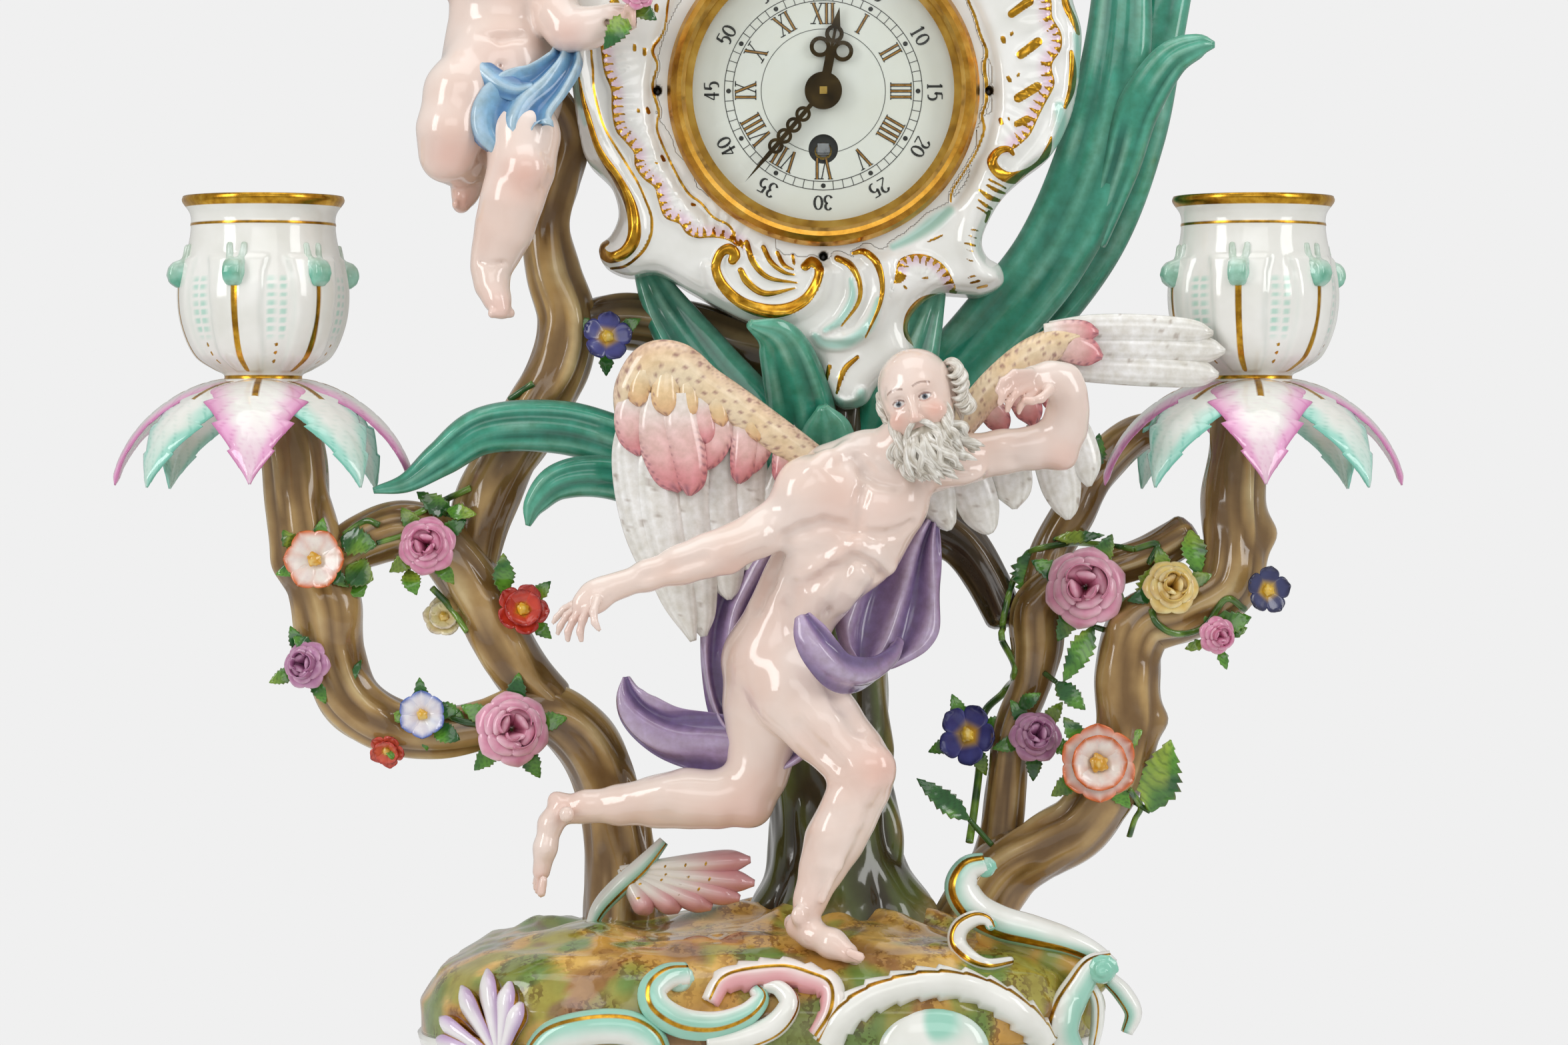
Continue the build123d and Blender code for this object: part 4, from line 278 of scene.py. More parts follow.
# Meshes
def make(
    name, points, faces, material, replaced=(), body="root", paint=None, gilt=None, slot=None,
    smooth=True
):
    """A piece from points in mm; paint is its linear colour and gilt its gold mask, point by point."""
    mesh = bpy.data.meshes.new(name)
    points = np.asarray(points, np.float64)
    faces = [tuple(int(corner) for corner in face) for face in faces]
    mesh.from_pydata((points * MM).tolist(), [], faces)
    mesh.update()
    if smooth:
        mesh.polygons.foreach_set("use_smooth", [True] * len(mesh.polygons))
    if paint is not None:
        tints = np.ones((len(points), 4), np.float32)
        tints[:, :3] = paint
        layer = mesh.attributes.new("paint", "FLOAT_COLOR", "POINT")
        layer.data.foreach_set("color", tints.ravel())
    if gilt is not None:
        layer = mesh.attributes.new("gilt", "FLOAT", "POINT")
        layer.data.foreach_set("value", np.asarray(gilt, np.float32).ravel())
    mesh.materials.append(material)
    piece = bpy.data.objects.new(name, mesh)
    bpy.context.scene.collection.objects.link(piece)
    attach(piece, body)
    if replaced:
        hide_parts(*replaced)
    return piece


def skin(field, low, step):
    """The closed surface where a distance field crosses zero, as points and quads."""
    inside = field < 0
    cells = np.array(field.shape) - 1
    codes = []
    crossings = []
    quads = []
    for axis in range(3):
        near_part = [slice(None)] * 3
        far_part = [slice(None)] * 3
        near_part[axis] = slice(0, -1)
        far_part[axis] = slice(1, None)
        near_part = tuple(near_part)
        far_part = tuple(far_part)
        edge = np.argwhere(inside[near_part] != inside[far_part])
        near_value = field[near_part][tuple(edge.T)]
        far_value = field[far_part][tuple(edge.T)]
        crossing = edge.astype(np.float64)
        crossing[:, axis] += near_value / (near_value - far_value)
        side = (axis + 1) % 3
        other = (axis + 2) % 3
        corners = []
        for back_side, back_other in ((0, 0), (1, 0), (1, 1), (0, 1)):
            cell = edge.copy()
            cell[:, side] -= back_side
            cell[:, other] -= back_other
            corners.append((cell[:, 0] * cells[1] + cell[:, 1]) * cells[2] + cell[:, 2])
            crossings.append(crossing)
        codes.extend(corners)
        quad = np.stack(corners, 1)
        turned = near_value > 0
        quad[turned] = quad[turned][:, ::-1]
        quads.append(quad)
    codes = np.concatenate(codes)
    crossings = np.concatenate(crossings)
    quads = np.concatenate(quads)
    kept, index = np.unique(codes, return_inverse=True)
    count = np.bincount(index)
    points = np.stack([np.bincount(index, crossings[:, axis]) / count for axis in range(3)], 1)
    faces = np.searchsorted(kept, quads)
    return points * step + np.asarray(low), faces


def relaxed(points, faces, rounds=2, share=0.5):
    """Points eased towards their neighbours."""
    start = faces.ravel()
    end = np.roll(faces, -1, axis=1).ravel()
    count = np.bincount(start, minlength=len(points)) + np.bincount(end, minlength=len(points))
    for _ in range(rounds):
        total = np.zeros_like(points)
        for axis in range(3):
            total[:, axis] = np.bincount(start, points[end, axis], len(points))
            total[:, axis] += np.bincount(end, points[start, axis], len(points))
        points = points + (total / count[:, None] - points) * share
    return points


def normals_of(points, faces):
    """Unit normals at the points of a quad mesh."""
    across = points[faces[:, 2]] - points[faces[:, 0]]
    along = points[faces[:, 3]] - points[faces[:, 1]]
    face_normals = np.cross(across, along)
    total = np.zeros_like(points)
    for corner in range(4):
        for axis in range(3):
            total[:, axis] += np.bincount(faces[:, corner], face_normals[:, axis], len(points))
    return total / np.maximum(np.linalg.norm(total, axis=1, keepdims=True), 1e-9)


def smooth_min(first, second, reach):
    """The lesser of two fields, blended where they are about equal."""
    share = np.clip(0.5 + 0.5 * (second - first) / reach, 0.0, 1.0)
    return second + (first - second) * share - reach * share * (1 - share)


class Clay:
    """Soft clay, kept as a distance field in mm on a grid."""

    def __init__(self, low, high, step):
        self.step = step
        self.low = np.array(low, np.float64)
        counts = np.ceil((np.array(high) - self.low) / step).astype(int) + 1
        self.axes = [
            (self.low[axis] + step * np.arange(counts[axis])).astype(np.float32) for axis in range(3)
        ]
        self.field = np.full(counts, 30.0, np.float32)

    def block(self, low, high):
        """The part of the grid inside a box, and its coordinates."""
        parts = []
        for axis in range(3):
            first = int((low[axis] - self.low[axis]) / self.step)
            last = int((high[axis] - self.low[axis]) / self.step) + 2
            parts.append(slice(max(first, 0), max(min(last, len(self.axes[axis])), 0)))
        parts = tuple(parts)
        x, y, z = (self.axes[axis][parts[axis]] for axis in range(3))
        return parts, x[:, None, None], y[None, :, None], z[None, None, :]

    def press(self, parts, distance, blend, carve):
        """Add a form to the clay, or carve it away."""
        if distance.size == 0:
            return
        old = self.field[parts]
        if carve:
            self.field[parts] = -smooth_min(-old, distance, blend)
        else:
            self.field[parts] = smooth_min(old, distance, blend)

    def rod(self, start, end, start_radius, end_radius, flat=1.0, blend=1.5, carve=False):
        """A tapered rod with round ends, squashed in depth by flat."""
        start = np.array(start, np.float32)
        end = np.array(end, np.float32)
        margin = max(start_radius, end_radius) * max(flat, 1.0) + blend + 2 * self.step
        parts, x, y, z = self.block(np.minimum(start, end) - margin, np.maximum(start, end) + margin)
        run = end - start
        run[1] /= flat
        length = max(float(run @ run), 1e-6)
        x = x - start[0]
        y = (y - start[1]) / flat
        z = z - start[2]
        share = np.clip((x * run[0] + y * run[1] + z * run[2]) / length, 0.0, 1.0)
        away = np.sqrt((x - share * run[0]) ** 2 + (y - share * run[1]) ** 2 + (z - share * run[2]) ** 2)
        distance = (away - (start_radius + (end_radius - start_radius) * share)) * min(flat, 1.0)
        self.press(parts, distance, blend, carve)

    def chain(self, stations, blend=1.5, carve=False, flat=1.0):
        """Rods through (across, down, depth, radius) stations of the front view, radius in px."""
        for first, second in zip(stations, stations[1:]):
            self.rod(
                at(*first[:3]), at(*second[:3]), first[3] * PICTURE_SCALE, second[3] * PICTURE_SCALE,
                flat, blend, carve
            )

    def lump(self, centre, radii, turn=(0, 0, 0), blend=1.5, carve=False):
        """An egg-shaped lump with its own radii in mm, turned by degrees about x, y and z."""
        centre = np.array(centre, np.float32)
        reach = max(radii) + blend + 2 * self.step
        parts, x, y, z = self.block(centre - reach, centre + reach)
        angles = [math.radians(value) for value in turn]
        spin = (
            Matrix.Rotation(angles[2], 3, "Z") @ Matrix.Rotation(angles[1], 3, "Y")
            @ Matrix.Rotation(angles[0], 3, "X")
        )
        spin = np.array(spin.transposed(), np.float32)
        x = x - centre[0]
        y = y - centre[1]
        z = z - centre[2]
        local = [spin[row, 0] * x + spin[row, 1] * y + spin[row, 2] * z for row in range(3)]
        near = np.sqrt(sum((value / radius) ** 2 for value, radius in zip(local, radii)))
        slope = np.sqrt(sum((value / radius**2) ** 2 for value, radius in zip(local, radii)))
        distance = near * (near - 1) / np.maximum(slope, 1e-4)
        self.press(parts, distance, blend, carve)

    def front(self, across, down):
        """The depth at which the clay's skin is met at a picture pixel, from the viewer's side."""
        for depth in self.axes[1]:
            cell = np.round((at(across, down, float(depth)) - self.low) / self.step).astype(int)
            if (cell >= 0).all() and (cell < self.field.shape).all() and self.field[tuple(cell)] < 0:
                return float(depth)
        return None

    def mark(self, stations, blend=2.0, carve=False):
        """A chain whose third value is how deep each station lies under the clay's skin, in mm."""
        seated = []
        for across, down, inset, radius in stations:
            depth = self.front(across, down)
            if depth is not None:
                seated.append((across, down, depth + inset, radius))
        self.chain(seated, blend, carve)

    def surface(self, relax=2):
        """The clay's skin as points, normals and quads."""
        points, faces = skin(self.field, self.low, self.step)
        points = relaxed(points, faces, relax)
        return points, normals_of(points, faces), faces


def hashed(cells, seed):
    """Steady random values for whole-number cells."""
    mixed = (
        cells[..., 0] * 374761393 + cells[..., 1] * 668265263 + cells[..., 2] * 2147483647
        + seed * 974634777
    )
    mixed = (mixed ^ (mixed >> 13)) * 1274126177
    return ((mixed ^ (mixed >> 16)) & 0xFFFF) / 65535.0


def cloud(places, size, seed=0):
    """Smooth random values from 0 to 1 that change over `size`, at each place."""
    scaled = np.asarray(places, np.float64) / size
    whole = np.floor(scaled).astype(np.int64)
    part = scaled - whole
    part = part * part * (3 - 2 * part)
    total = np.zeros(len(scaled))
    for corner in range(8):
        step = np.array(((corner >> 2) & 1, (corner >> 1) & 1, corner & 1))
        weight = np.prod(np.where(step == 1, part, 1 - part), axis=1)
        total += weight * hashed(whole + step, seed)
    return total


def eased(value, low, high):
    """A smooth step from 0 to 1 between two values."""
    share = np.clip((value - low) / (high - low), 0.0, 1.0)
    return share * share * (3 - 2 * share)


def mix(first, second, share):
    """Colours mixed point by point."""
    share = np.asarray(share)[..., None]
    return np.asarray(first) * (1 - share) + np.asarray(second) * share


def curve_through(stations, spacing):
    """Stations resampled along a smooth curve, evenly by their first three values."""
    stations = np.array(stations, np.float64)
    padded = np.vstack((2 * stations[0] - stations[1], stations, 2 * stations[-1] - stations[-2]))
    fine = []
    for index in range(len(stations) - 1):
        before, start, end, after = padded[index : index + 4]
        for share in np.linspace(0, 1, 24, endpoint=False):
            bend = (2 * before - 5 * start + 4 * end - after) * share**2
            twist = (3 * start - before - 3 * end + after) * share**3
            fine.append(0.5 * (2 * start + (end - before) * share + bend + twist))
    fine.append(stations[-1])
    fine = np.array(fine)
    steps = np.linalg.norm(np.diff(fine[:, :3], axis=0), axis=1)
    run = np.concatenate(((0,), np.cumsum(steps)))
    count = max(int(run[-1] / spacing), 4) + 1
    wanted = np.linspace(0, run[-1], count)
    columns = [np.interp(wanted, run, fine[:, column]) for column in range(fine.shape[1])]
    return np.stack(columns, 1), wanted


def frames_along(centres, first_side=(0, -1, 0)):
    """Directions along, sideways and outward at each centre of a run, without twist."""
    along = np.gradient(centres, axis=0)
    along /= np.linalg.norm(along, axis=1, keepdims=True)
    out = np.array(first_side, np.float64)
    outs = []
    for direction in along:
        out = out - direction * (out @ direction)
        out /= np.linalg.norm(out)
        outs.append(out)
    outs = np.array(outs)
    return along, np.cross(along, outs), outs


def full_turn(around):
    """Angles once round, evenly spaced."""
    return np.linspace(0, math.tau, around, endpoint=False)


def swept(centres, sideways, outward, reach, lift):
    """Rings round a run, by their reach to the side and lift outward, then both end centres."""
    rings = (
        centres[:, None, :] + sideways[:, None, :] * reach[..., None]
        + outward[:, None, :] * lift[..., None]
    )
    return np.vstack((rings.reshape(-1, 3), centres[0], centres[-1]))


def with_ends(paint):
    """The colours of rings, then those of both end centres."""
    return np.vstack((paint, paint[0], paint[-1]))


def ring_quads(rings, around, closed=False):
    """Quads between rings that follow each other; closed joins the last ring to the first."""
    faces = []
    for ring in range(rings if closed else rings - 1):
        here = ring * around
        following = (ring + 1) % rings * around
        for step in range(around):
            after = (step + 1) % around
            faces.append((here + step, here + after, following + after, following + step))
    return faces


def tube_faces(rings, around):
    """Quads of a tube whose rings follow each other, with a fan point at each end."""
    faces = ring_quads(rings, around)
    first = rings * around
    last = first + 1
    for step in range(around):
        after = (step + 1) % around
        faces.append((after, step, first))
        faces.append(((rings - 1) * around + step, (rings - 1) * around + after, last))
    return faces


def bark(
    name, stations, knots=(), around=44, seed=1, groove=0.16, tints=("7d5f36", "bc9b64", "dfca98"),
    **links
):
    """A branch: a round run, its bark drawn into long grooves, with swellings where twigs were cut."""
    line = [(*at(*station[:3]), station[3] * PICTURE_SCALE) for station in stations]
    line, run = curve_through(line, 1.1)
    centres = line[:, :3]
    radii = line[:, 3]
    _, sideways, outward = frames_along(centres)
    rings = len(centres)
    turn = full_turn(around)
    cross = np.stack((np.cos(turn), np.sin(turn)), 1)
    away_from_centre = (
        sideways[:, None, :] * cross[None, :, :1] + outward[:, None, :] * cross[None, :, 1:]
    )
    streak_places = np.empty((rings, around, 3))
    streak_places[..., 0] = cross[None, :, 0] * 2.2
    streak_places[..., 1] = cross[None, :, 1] * 2.2
    streak_places[..., 2] = run[:, None] / 26.0
    streak_places = streak_places.reshape(-1, 3)
    broad = cloud(streak_places, 1.0, seed).reshape(rings, around)
    fine = cloud(streak_places * (2.6, 2.6, 1.7), 1.0, seed + 7).reshape(rings, around)
    relief = (np.abs(broad - 0.5) * 2 - 0.45) * 1.3 + (fine - 0.5) * 0.6
    reach = radii[:, None] * (1 + groove * relief)
    for knot_across, knot_down, knot_depth, knot_radius, knot_height in knots:
        middle = at(knot_across, knot_down, knot_depth)
        skin_places = centres[:, None, :] + radii[:, None, None] * away_from_centre
        away = np.linalg.norm(skin_places - middle, axis=2) / (knot_radius * PICTURE_SCALE)
        reach += np.exp(-(away**2) * 1.4) * knot_height * PICTURE_SCALE
    ends = np.minimum(run, run[-1] - run) / (radii * 0.5)
    rounded = np.sqrt(np.clip(1 - (1 - np.clip(ends, 0, 1)) ** 2, 0.05, 1))
    reach *= rounded[:, None]
    points = (centres[:, None, :] + reach[..., None] * away_from_centre).reshape(-1, 3)
    points = np.vstack((points, centres[0], centres[-1]))
    dark, middle_tone, light = (shade(code) for code in tints)
    # Painted shade: darker down in the grooves; painted highlight: lighter on the raised ridges.
    deep = eased(relief.ravel(), -0.5, 0.15)
    ridge_highlight = eased(relief.ravel(), 0.1, 0.7) * 0.8
    brushed = cloud(streak_places * (5.0, 5.0, 1.2), 1.0, seed + 3)
    paint = mix(mix(dark, middle_tone, deep), light, ridge_highlight)
    paint = with_ends(mix(paint, dark, eased(brushed, 0.55, 0.9) * 0.55))
    return make(name, points, tube_faces(rings, around), bark_glaze, paint=paint, **links)


def reed(
    name, stations, tints=("1f7462", "48b096", "b4e2d2"), ribs=3, seed=1, around=28, tip="6fbfa6",
    **links
):
    """A reed leaf: a flat run with raised ribs, with painted shade in its grooves and painted highlight
    on its crests.

    Stations end in half width and half thickness.
    """
    line = [
        (*at(*station[:3]), station[3] * PICTURE_SCALE, station[4] * PICTURE_SCALE)
        for station in stations
    ]
    line, run = curve_through(line, 1.2)
    centres = line[:, :3]
    _, sideways, outward = frames_along(centres)
    rings = len(centres)
    turn = full_turn(around)
    rib = np.cos(turn) * ribs * math.pi
    ridge = 1 + 0.16 * np.cos(rib)
    wide = np.cos(turn)
    thick = np.sin(turn) * ridge
    points = swept(
        centres, sideways, outward, wide[None, :] * line[:, 3:4], thick[None, :] * line[:, 4:5]
    )
    dark, middle_tone, light = (shade(code) for code in tints)
    places = np.empty((rings, around, 3))
    places[..., 0] = wide[None, :] * 3.0
    places[..., 1] = np.sign(thick)[None, :] * 1.5
    places[..., 2] = run[:, None] / 30.0
    brushed = cloud(places.reshape(-1, 3), 0.5, seed)
    lit_crest = np.broadcast_to(0.5 + 0.5 * np.cos(rib), (rings, around)).ravel()
    edge = np.broadcast_to(eased(np.abs(wide), 0.8, 1.0), (rings, around)).ravel()
    # Painted shade in the grooves and painted highlight on the rib crests, broken by brushed streaks.
    paint = mix(dark, middle_tone, eased(lit_crest * 0.6 + brushed * 0.7, 0.2, 0.9))
    paint = mix(paint, light, eased(lit_crest * 0.5 + brushed * 0.6, 0.62, 1.05) * 0.6 + edge * 0.25)
    end = np.repeat(eased(run, run[-1] - 22.0, run[-1]), around)
    paint = with_ends(mix(paint, shade(tip), end * 0.7))
    return make(name, points, tube_faces(rings, around), leaf_glaze, paint=paint, **links)


# The tree: trunk, candle arms and branches
bark(
    "trunk_bark",
    (
        (1258, 1492, 4, 172), (1258, 1420, 4, 160), (1257, 1353, 4, 140), (1254, 1285, 4, 108),
        (1242, 1125, 5, 98), (1228, 945, 5, 94), (1226, 785, 6, 90), (1234, 645, 8, 96),
        (1238, 535, 13, 92), (1236, 445, 16, 62)
    ),
    around=110, seed=4, groove=0.13, tints=("3a3420", "5d6a35", "8f7c52"), replaced=("tree_trunk",)
)
bark(
    "left_arm_bark",
    (
        (932, 1465, 4, 70), (932, 1305, 3, 58), (915, 1195, 2, 50), (875, 1110, 0, 48),
        (810, 1069, -2, 45), (730, 1088, -3, 40), (655, 1098, -4, 39), (585, 1087, -4, 42),
        (528, 1047, -4, 46), (500, 983, -4, 49), (489, 911, -4, 50), (466, 840, -4, 53),
        (450, 755, -4, 50), (440, 675, -4, 48), (412, 597, -4, 46)
    ),
    knots=(
        (505, 905, -10, 40, 18), (430, 848, -8, 30, 9), (560, 1075, -12, 26, 8), (520, 940, -14, 26, 9)
    ),
    seed=11, replaced=("left_candle_arm",)
)
bark(
    "left_loop_bark",
    (
        (500, 845, -4, 34), (545, 813, -3, 38), (606, 795, -2, 42), (668, 819, -1, 45),
        (715, 879, 0, 47), (748, 950, 0, 47), (788, 1015, -1, 44), (840, 1065, -1, 36)
    ),
    knots=((578, 880, -4, 30, 16), (745, 900, -10, 26, 9), (600, 870, -2, 26, 14)), seed=15,
    replaced=("left_loop_branch",)
)
bark(
    "left_upright_bark",
    (
        (705, 875, 2, 34), (722, 775, 3, 45), (758, 693, 3, 47), (800, 620, 4, 47), (838, 545, 5, 46),
        (848, 480, 5, 44), (828, 410, 6, 41), (818, 335, 6, 38), (834, 270, 7, 38), (848, 205, 8, 36),
        (815, 140, 4, 30), (760, 110, -2, 22)
    ),
    knots=((812, 505, -6, 26, 8),), seed=19, replaced=("left_upright_branch",)
)
bark(
    "left_cross_bark",
    (
        (828, 507, 7, 30), (910, 481, 10, 40), (990, 487, 12, 44), (1080, 519, 13, 48),
        (1180, 555, 13, 50)
    ),
    seed=23, tints=("54432a", "8a744e", "b09a70"), replaced=("left_cross_branch",)
)
bark(
    "right_arm_bark",
    (
        (1440, 1425, 4, 60), (1500, 1315, 2, 52), (1570, 1270, 0, 50), (1625, 1235, -2, 48),
        (1670, 1165, -4, 50), (1692, 1090, -4, 50), (1690, 1015, -4, 52), (1712, 940, -4, 50),
        (1780, 914, -4, 47), (1838, 878, -4, 48), (1852, 815, -4, 48), (1850, 745, -4, 47),
        (1858, 675, -4, 45), (1868, 597, -4, 46)
    ),
    knots=(
        (1905, 800, -4, 30, 14), (1760, 935, -12, 28, 9), (1668, 935, -12, 24, 10),
        (1745, 1080, -6, 26, 12), (1786, 795, -8, 26, 8)
    ),
    seed=27, replaced=("right_candle_arm",)
)
bark(
    "right_stem_bark",
    (
        (1490, 1325, 8, 44), (1502, 1245, 8, 34), (1510, 1165, 7, 31), (1520, 1095, 6, 29),
        (1546, 1030, 6, 31), (1556, 975, 5, 38), (1560, 915, 5, 43), (1602, 873, 3, 34),
        (1660, 855, 1, 30), (1730, 831, 0, 31), (1792, 793, -1, 34)
    ),
    knots=((1540, 905, -4, 26, 7), (1468, 942, 2, 16, 10)), seed=31, replaced=("right_stem_branch",)
)
bark(
    "right_rear_bark",
    (
        (1554, 895, 8, 30), (1578, 825, 12, 32), (1612, 767, 14, 34), (1646, 707, 16, 32),
        (1698, 657, 18, 30), (1756, 637, 19, 22)
    ),
    seed=35, replaced=("right_rear_branch",)
)
bark(
    "right_hoop_bark",
    (
        (1290, 805, 12, 40), (1370, 787, 15, 42), (1432, 809, 15, 38), (1478, 865, 13, 34),
        (1512, 940, 10, 30)
    ),
    seed=39, tints=("3a2c1c", "6b5638", "8f7a55"), replaced=("right_hoop_branch",)
)

# Reeds behind and round the case
tall_reeds = (
    (
        (1320, 675, 17, 36, 24), (1400, 585, 16, 50, 22), (1485, 495, 13, 56, 22),
        (1575, 385, 6, 58, 20), (1640, 245, 3, 60, 20), (1675, 85, 3, 52, 18), (1682, -65, 6, 40, 14),
        (1662, -195, 10, 24, 10), (1640, -275, 13, 5, 5)
    ),
    (
        (1420, 605, 21, 34, 18), (1530, 505, 20, 46, 18), (1640, 365, 15, 46, 18),
        (1700, 205, 13, 48, 18), (1728, 45, 13, 50, 16), (1766, -85, 14, 36, 12), (1820, -195, 15, 6, 5)
    ),
    (
        (1640, 365, 6, 20, 14), (1678, 255, 1, 30, 15), (1706, 165, -1, 33, 15), (1752, 93, -3, 28, 14),
        (1796, 69, -3, 19, 12), (1822, 67, -3, 5, 5)
    )
)
for count, stations in enumerate(tall_reeds):
    reed(f"tall_reed_{count + 1}", stations, seed=50 + count, replaced=("tall_reeds",))
short_reeds = (
    (
        (1190, 725, 2, 36, 24), (1060, 705, -2, 40, 24), (940, 668, -8, 40, 24), (840, 641, -10, 40, 22),
        (730, 645, -12, 36, 20), (662, 688, -13, 27, 16), (610, 724, -13, 15, 10), (560, 736, -13, 5, 5)
    ),
    (
        (1150, 775, -4, 26, 20), (1020, 745, -8, 34, 20), (910, 716, -15, 32, 20),
        (840, 722, -17, 28, 18), (803, 756, -18, 18, 12), (792, 789, -18, 4, 4)
    ),
    (
        (1230, 765, -8, 36, 20), (1210, 665, -18, 50, 18), (1195, 585, -23, 48, 16),
        (1168, 510, -32, 34, 14), (1124, 486, -38, 7, 7)
    ),
    (
        (1200, 745, -4, 40, 20), (1130, 645, -4, 60, 18), (1055, 545, 0, 50, 16), (1000, 465, 4, 36, 14),
        (960, 385, 9, 15, 9)
    ),
    (
        (1250, 805, -10, 36, 20), (1245, 715, -21, 44, 18), (1240, 645, -26, 38, 16),
        (1234, 609, -29, 8, 8)
    ),
    ((1290, 765, 0, 40, 20), (1330, 645, -4, 56, 18), (1360, 545, -8, 48, 16), (1400, 435, -4, 20, 12))
)
for count, stations in enumerate(short_reeds):
    reed(f"short_reed_{count + 1}", stations, seed=60 + count, replaced=("short_reeds",))


# Base: the painted mound over the white plinth
def skin_of(*names):
    """A search tree over finished pieces, for what is set on them."""
    vertices = []
    faces = []
    for name in names:
        piece = bpy.data.objects[name]
        first = len(vertices)
        vertices += [vertex.co.copy() for vertex in piece.data.vertices]
        faces += [[first + index for index in face.vertices] for face in piece.data.polygons]
    return BVHTree.FromPolygons(vertices, faces)


def set_on(tree, across, down, out, otherwise, nearest=-130.0):
    """The place (mm) at a picture pixel, `out` mm before the skin that the viewer sees there."""
    start = Vector(at(across, down, nearest)) * MM
    end = Vector(at(across, down, 100.0)) * MM
    hit = tree.ray_cast(start, (end - start).normalized())
    depth = hit[0].y / MM if hit[0] is not None else otherwise
    return at(across, down, depth - out)


PLINTH_HALF_WIDTH = 122.0
PLINTH_HALF_DEPTH = 92.0
PLINTH_HEIGHT = 64.0
PLINTH_WALL = 7.0
PLINTH_AROUND = 240
MOUND_HEIGHT = 36.0
MOUND_AROUND = 320
SQUARENESS = 2.6


def plinth_reach(turn, girth=1.0, inset=0.0):
    """How far the plinth's plan reaches at an angle."""
    across = np.abs(np.cos(turn)) / (PLINTH_HALF_WIDTH - inset)
    deep = np.abs(np.sin(turn)) / (PLINTH_HALF_DEPTH - inset)
    reach = (across**SQUARENESS + deep**SQUARENESS) ** (-1 / SQUARENESS)
    return reach * girth * (1 - 0.05 * np.cos(4 * turn))


def round_shell(profile, around, wall):
    """Rings of the plinth's plan up an outer (height, girth) profile and down its inner side."""
    turn = full_turn(around)
    rings = []
    outer_side = [(*step, 0.0) for step in profile]
    inner_side = [(*step, wall) for step in reversed(profile)]
    for height, girth, inset in outer_side + inner_side:
        reach = plinth_reach(turn, girth, inset)
        rings.append(np.stack((reach * np.cos(turn), reach * np.sin(turn), np.full(around, height)), 1))
    return np.array(rings)


plinth_profile = []
for step in np.linspace(0, 1, 40):
    heights = (0.00, 0.14, 0.36, 0.62, 0.86, 1.00)
    girths = (1.00, 0.98, 0.88, 0.84, 0.89, 0.91)
    plinth_profile.append((PLINTH_HEIGHT * step, float(np.interp(step, heights, girths))))
rings = round_shell(plinth_profile, PLINTH_AROUND, PLINTH_WALL)
outer = len(plinth_profile)
for index in range(outer):
    height = rings[index, :, 2]
    low = eased(height, 9.0, 0.0)
    away_x = np.abs(rings[index, :, 0])
    away_y = np.abs(rings[index, :, 1])
    arch = np.maximum(eased(away_x, 58.0, 30.0), eased(away_y, 30.0, 12.0))
    rings[index, :, 2] += 5.0 * low * arch * (1 - eased(height, 0.0, 10.0))
rings[-1, :, 2] = rings[0, :, 2]
rings[-2, :, 2] = np.maximum(rings[-2, :, 2], rings[-1, :, 2] + 0.5)
points = rings.reshape(-1, 3)
faces = ring_quads(len(rings), PLINTH_AROUND, True)
mesh_heights = points[:, 2]
paint = np.tile(shade("f6f6f2"), (len(points), 1))
mint_band = eased(np.abs(mesh_heights - 22.0), 9.0, 3.0) * 0.7
paint = mix(paint, shade("a9dccf"), mint_band)
gilt = ((np.abs(mesh_heights - 58.5) < 1.1) | (np.abs(mesh_heights - 8.5) < 0.9)).astype(float)
inner_side = np.zeros(len(points))
inner_side[outer * PLINTH_AROUND :] = 1
gilt = gilt * (1 - inner_side)
paint = mix(paint, shade("f2f1ec"), inner_side)
make(
    "plinth_porcelain", points, faces, painted_porcelain, replaced=("base_plinth",), paint=paint,
    gilt=gilt
)


def soft_cloud(places, size, seed):
    """Two layers of cloud, the second turned, so that no grid shows."""
    turned = places @ np.array(Matrix.Rotation(0.7, 3, (0.3, 0.5, 0.8)))
    return 0.6 * cloud(places, size, seed) + 0.4 * cloud(turned, size * 0.57, seed + 9)


def mound_paint(places):
    """Ochre, gold, green and brown beds of painted ground."""
    beds = soft_cloud(places, 22.0, 81)
    tufts = soft_cloud(places * (1.0, 1.0, 0.6), 13.0, 82)
    paint = mix(shade("a87c48"), shade("dcab52"), eased(beds, 0.36, 0.52))
    paint = mix(paint, shade("efc670"), eased(soft_cloud(places, 14.0, 84), 0.52, 0.66) * 0.8)
    paint = mix(paint, shade("98a248"), eased(tufts, 0.5, 0.6) * 0.75)
    paint = mix(paint, shade("64904a"), eased(soft_cloud(places, 17.0, 86), 0.58, 0.68) * 0.8)
    return mix(paint, shade("8a6258"), eased(soft_cloud(places, 12.0, 88), 0.6, 0.7) * 0.7)


mound_heights = (0.00, 0.28, 0.56, 0.75, 0.89, 0.97, 1.00)
mound_girths = (0.90, 0.90, 0.84, 0.75, 0.60, 0.35, 0.02)
steps = np.concatenate((np.linspace(0.0, 0.75, 26), np.linspace(0.76, 1.0, 60)))
turn = full_turn(MOUND_AROUND)
rings = []
for step in steps:
    reach = plinth_reach(turn, float(np.interp(step, mound_heights, mound_girths)))
    height = np.full(MOUND_AROUND, PLINTH_HEIGHT + MOUND_HEIGHT * step)
    rings.append(np.stack((reach * np.cos(turn), reach * np.sin(turn), height), 1))
flat_points = np.array(rings).reshape(-1, 3)
swell = (cloud(flat_points, 17.0, 71) - 0.5) * 7.0 + (cloud(flat_points, 6.0, 72) - 0.5) * 2.0
up = eased(flat_points[:, 2], 66.0, 84.0)
outward = flat_points * (1, 1, 0)
outward /= np.maximum(np.linalg.norm(outward, axis=1, keepdims=True), 1e-6)
lift = eased(flat_points[:, 2], 84.0, 98.0)
flat_points = flat_points + outward * (swell * up * (1 - lift) * 0.8)[:, None]
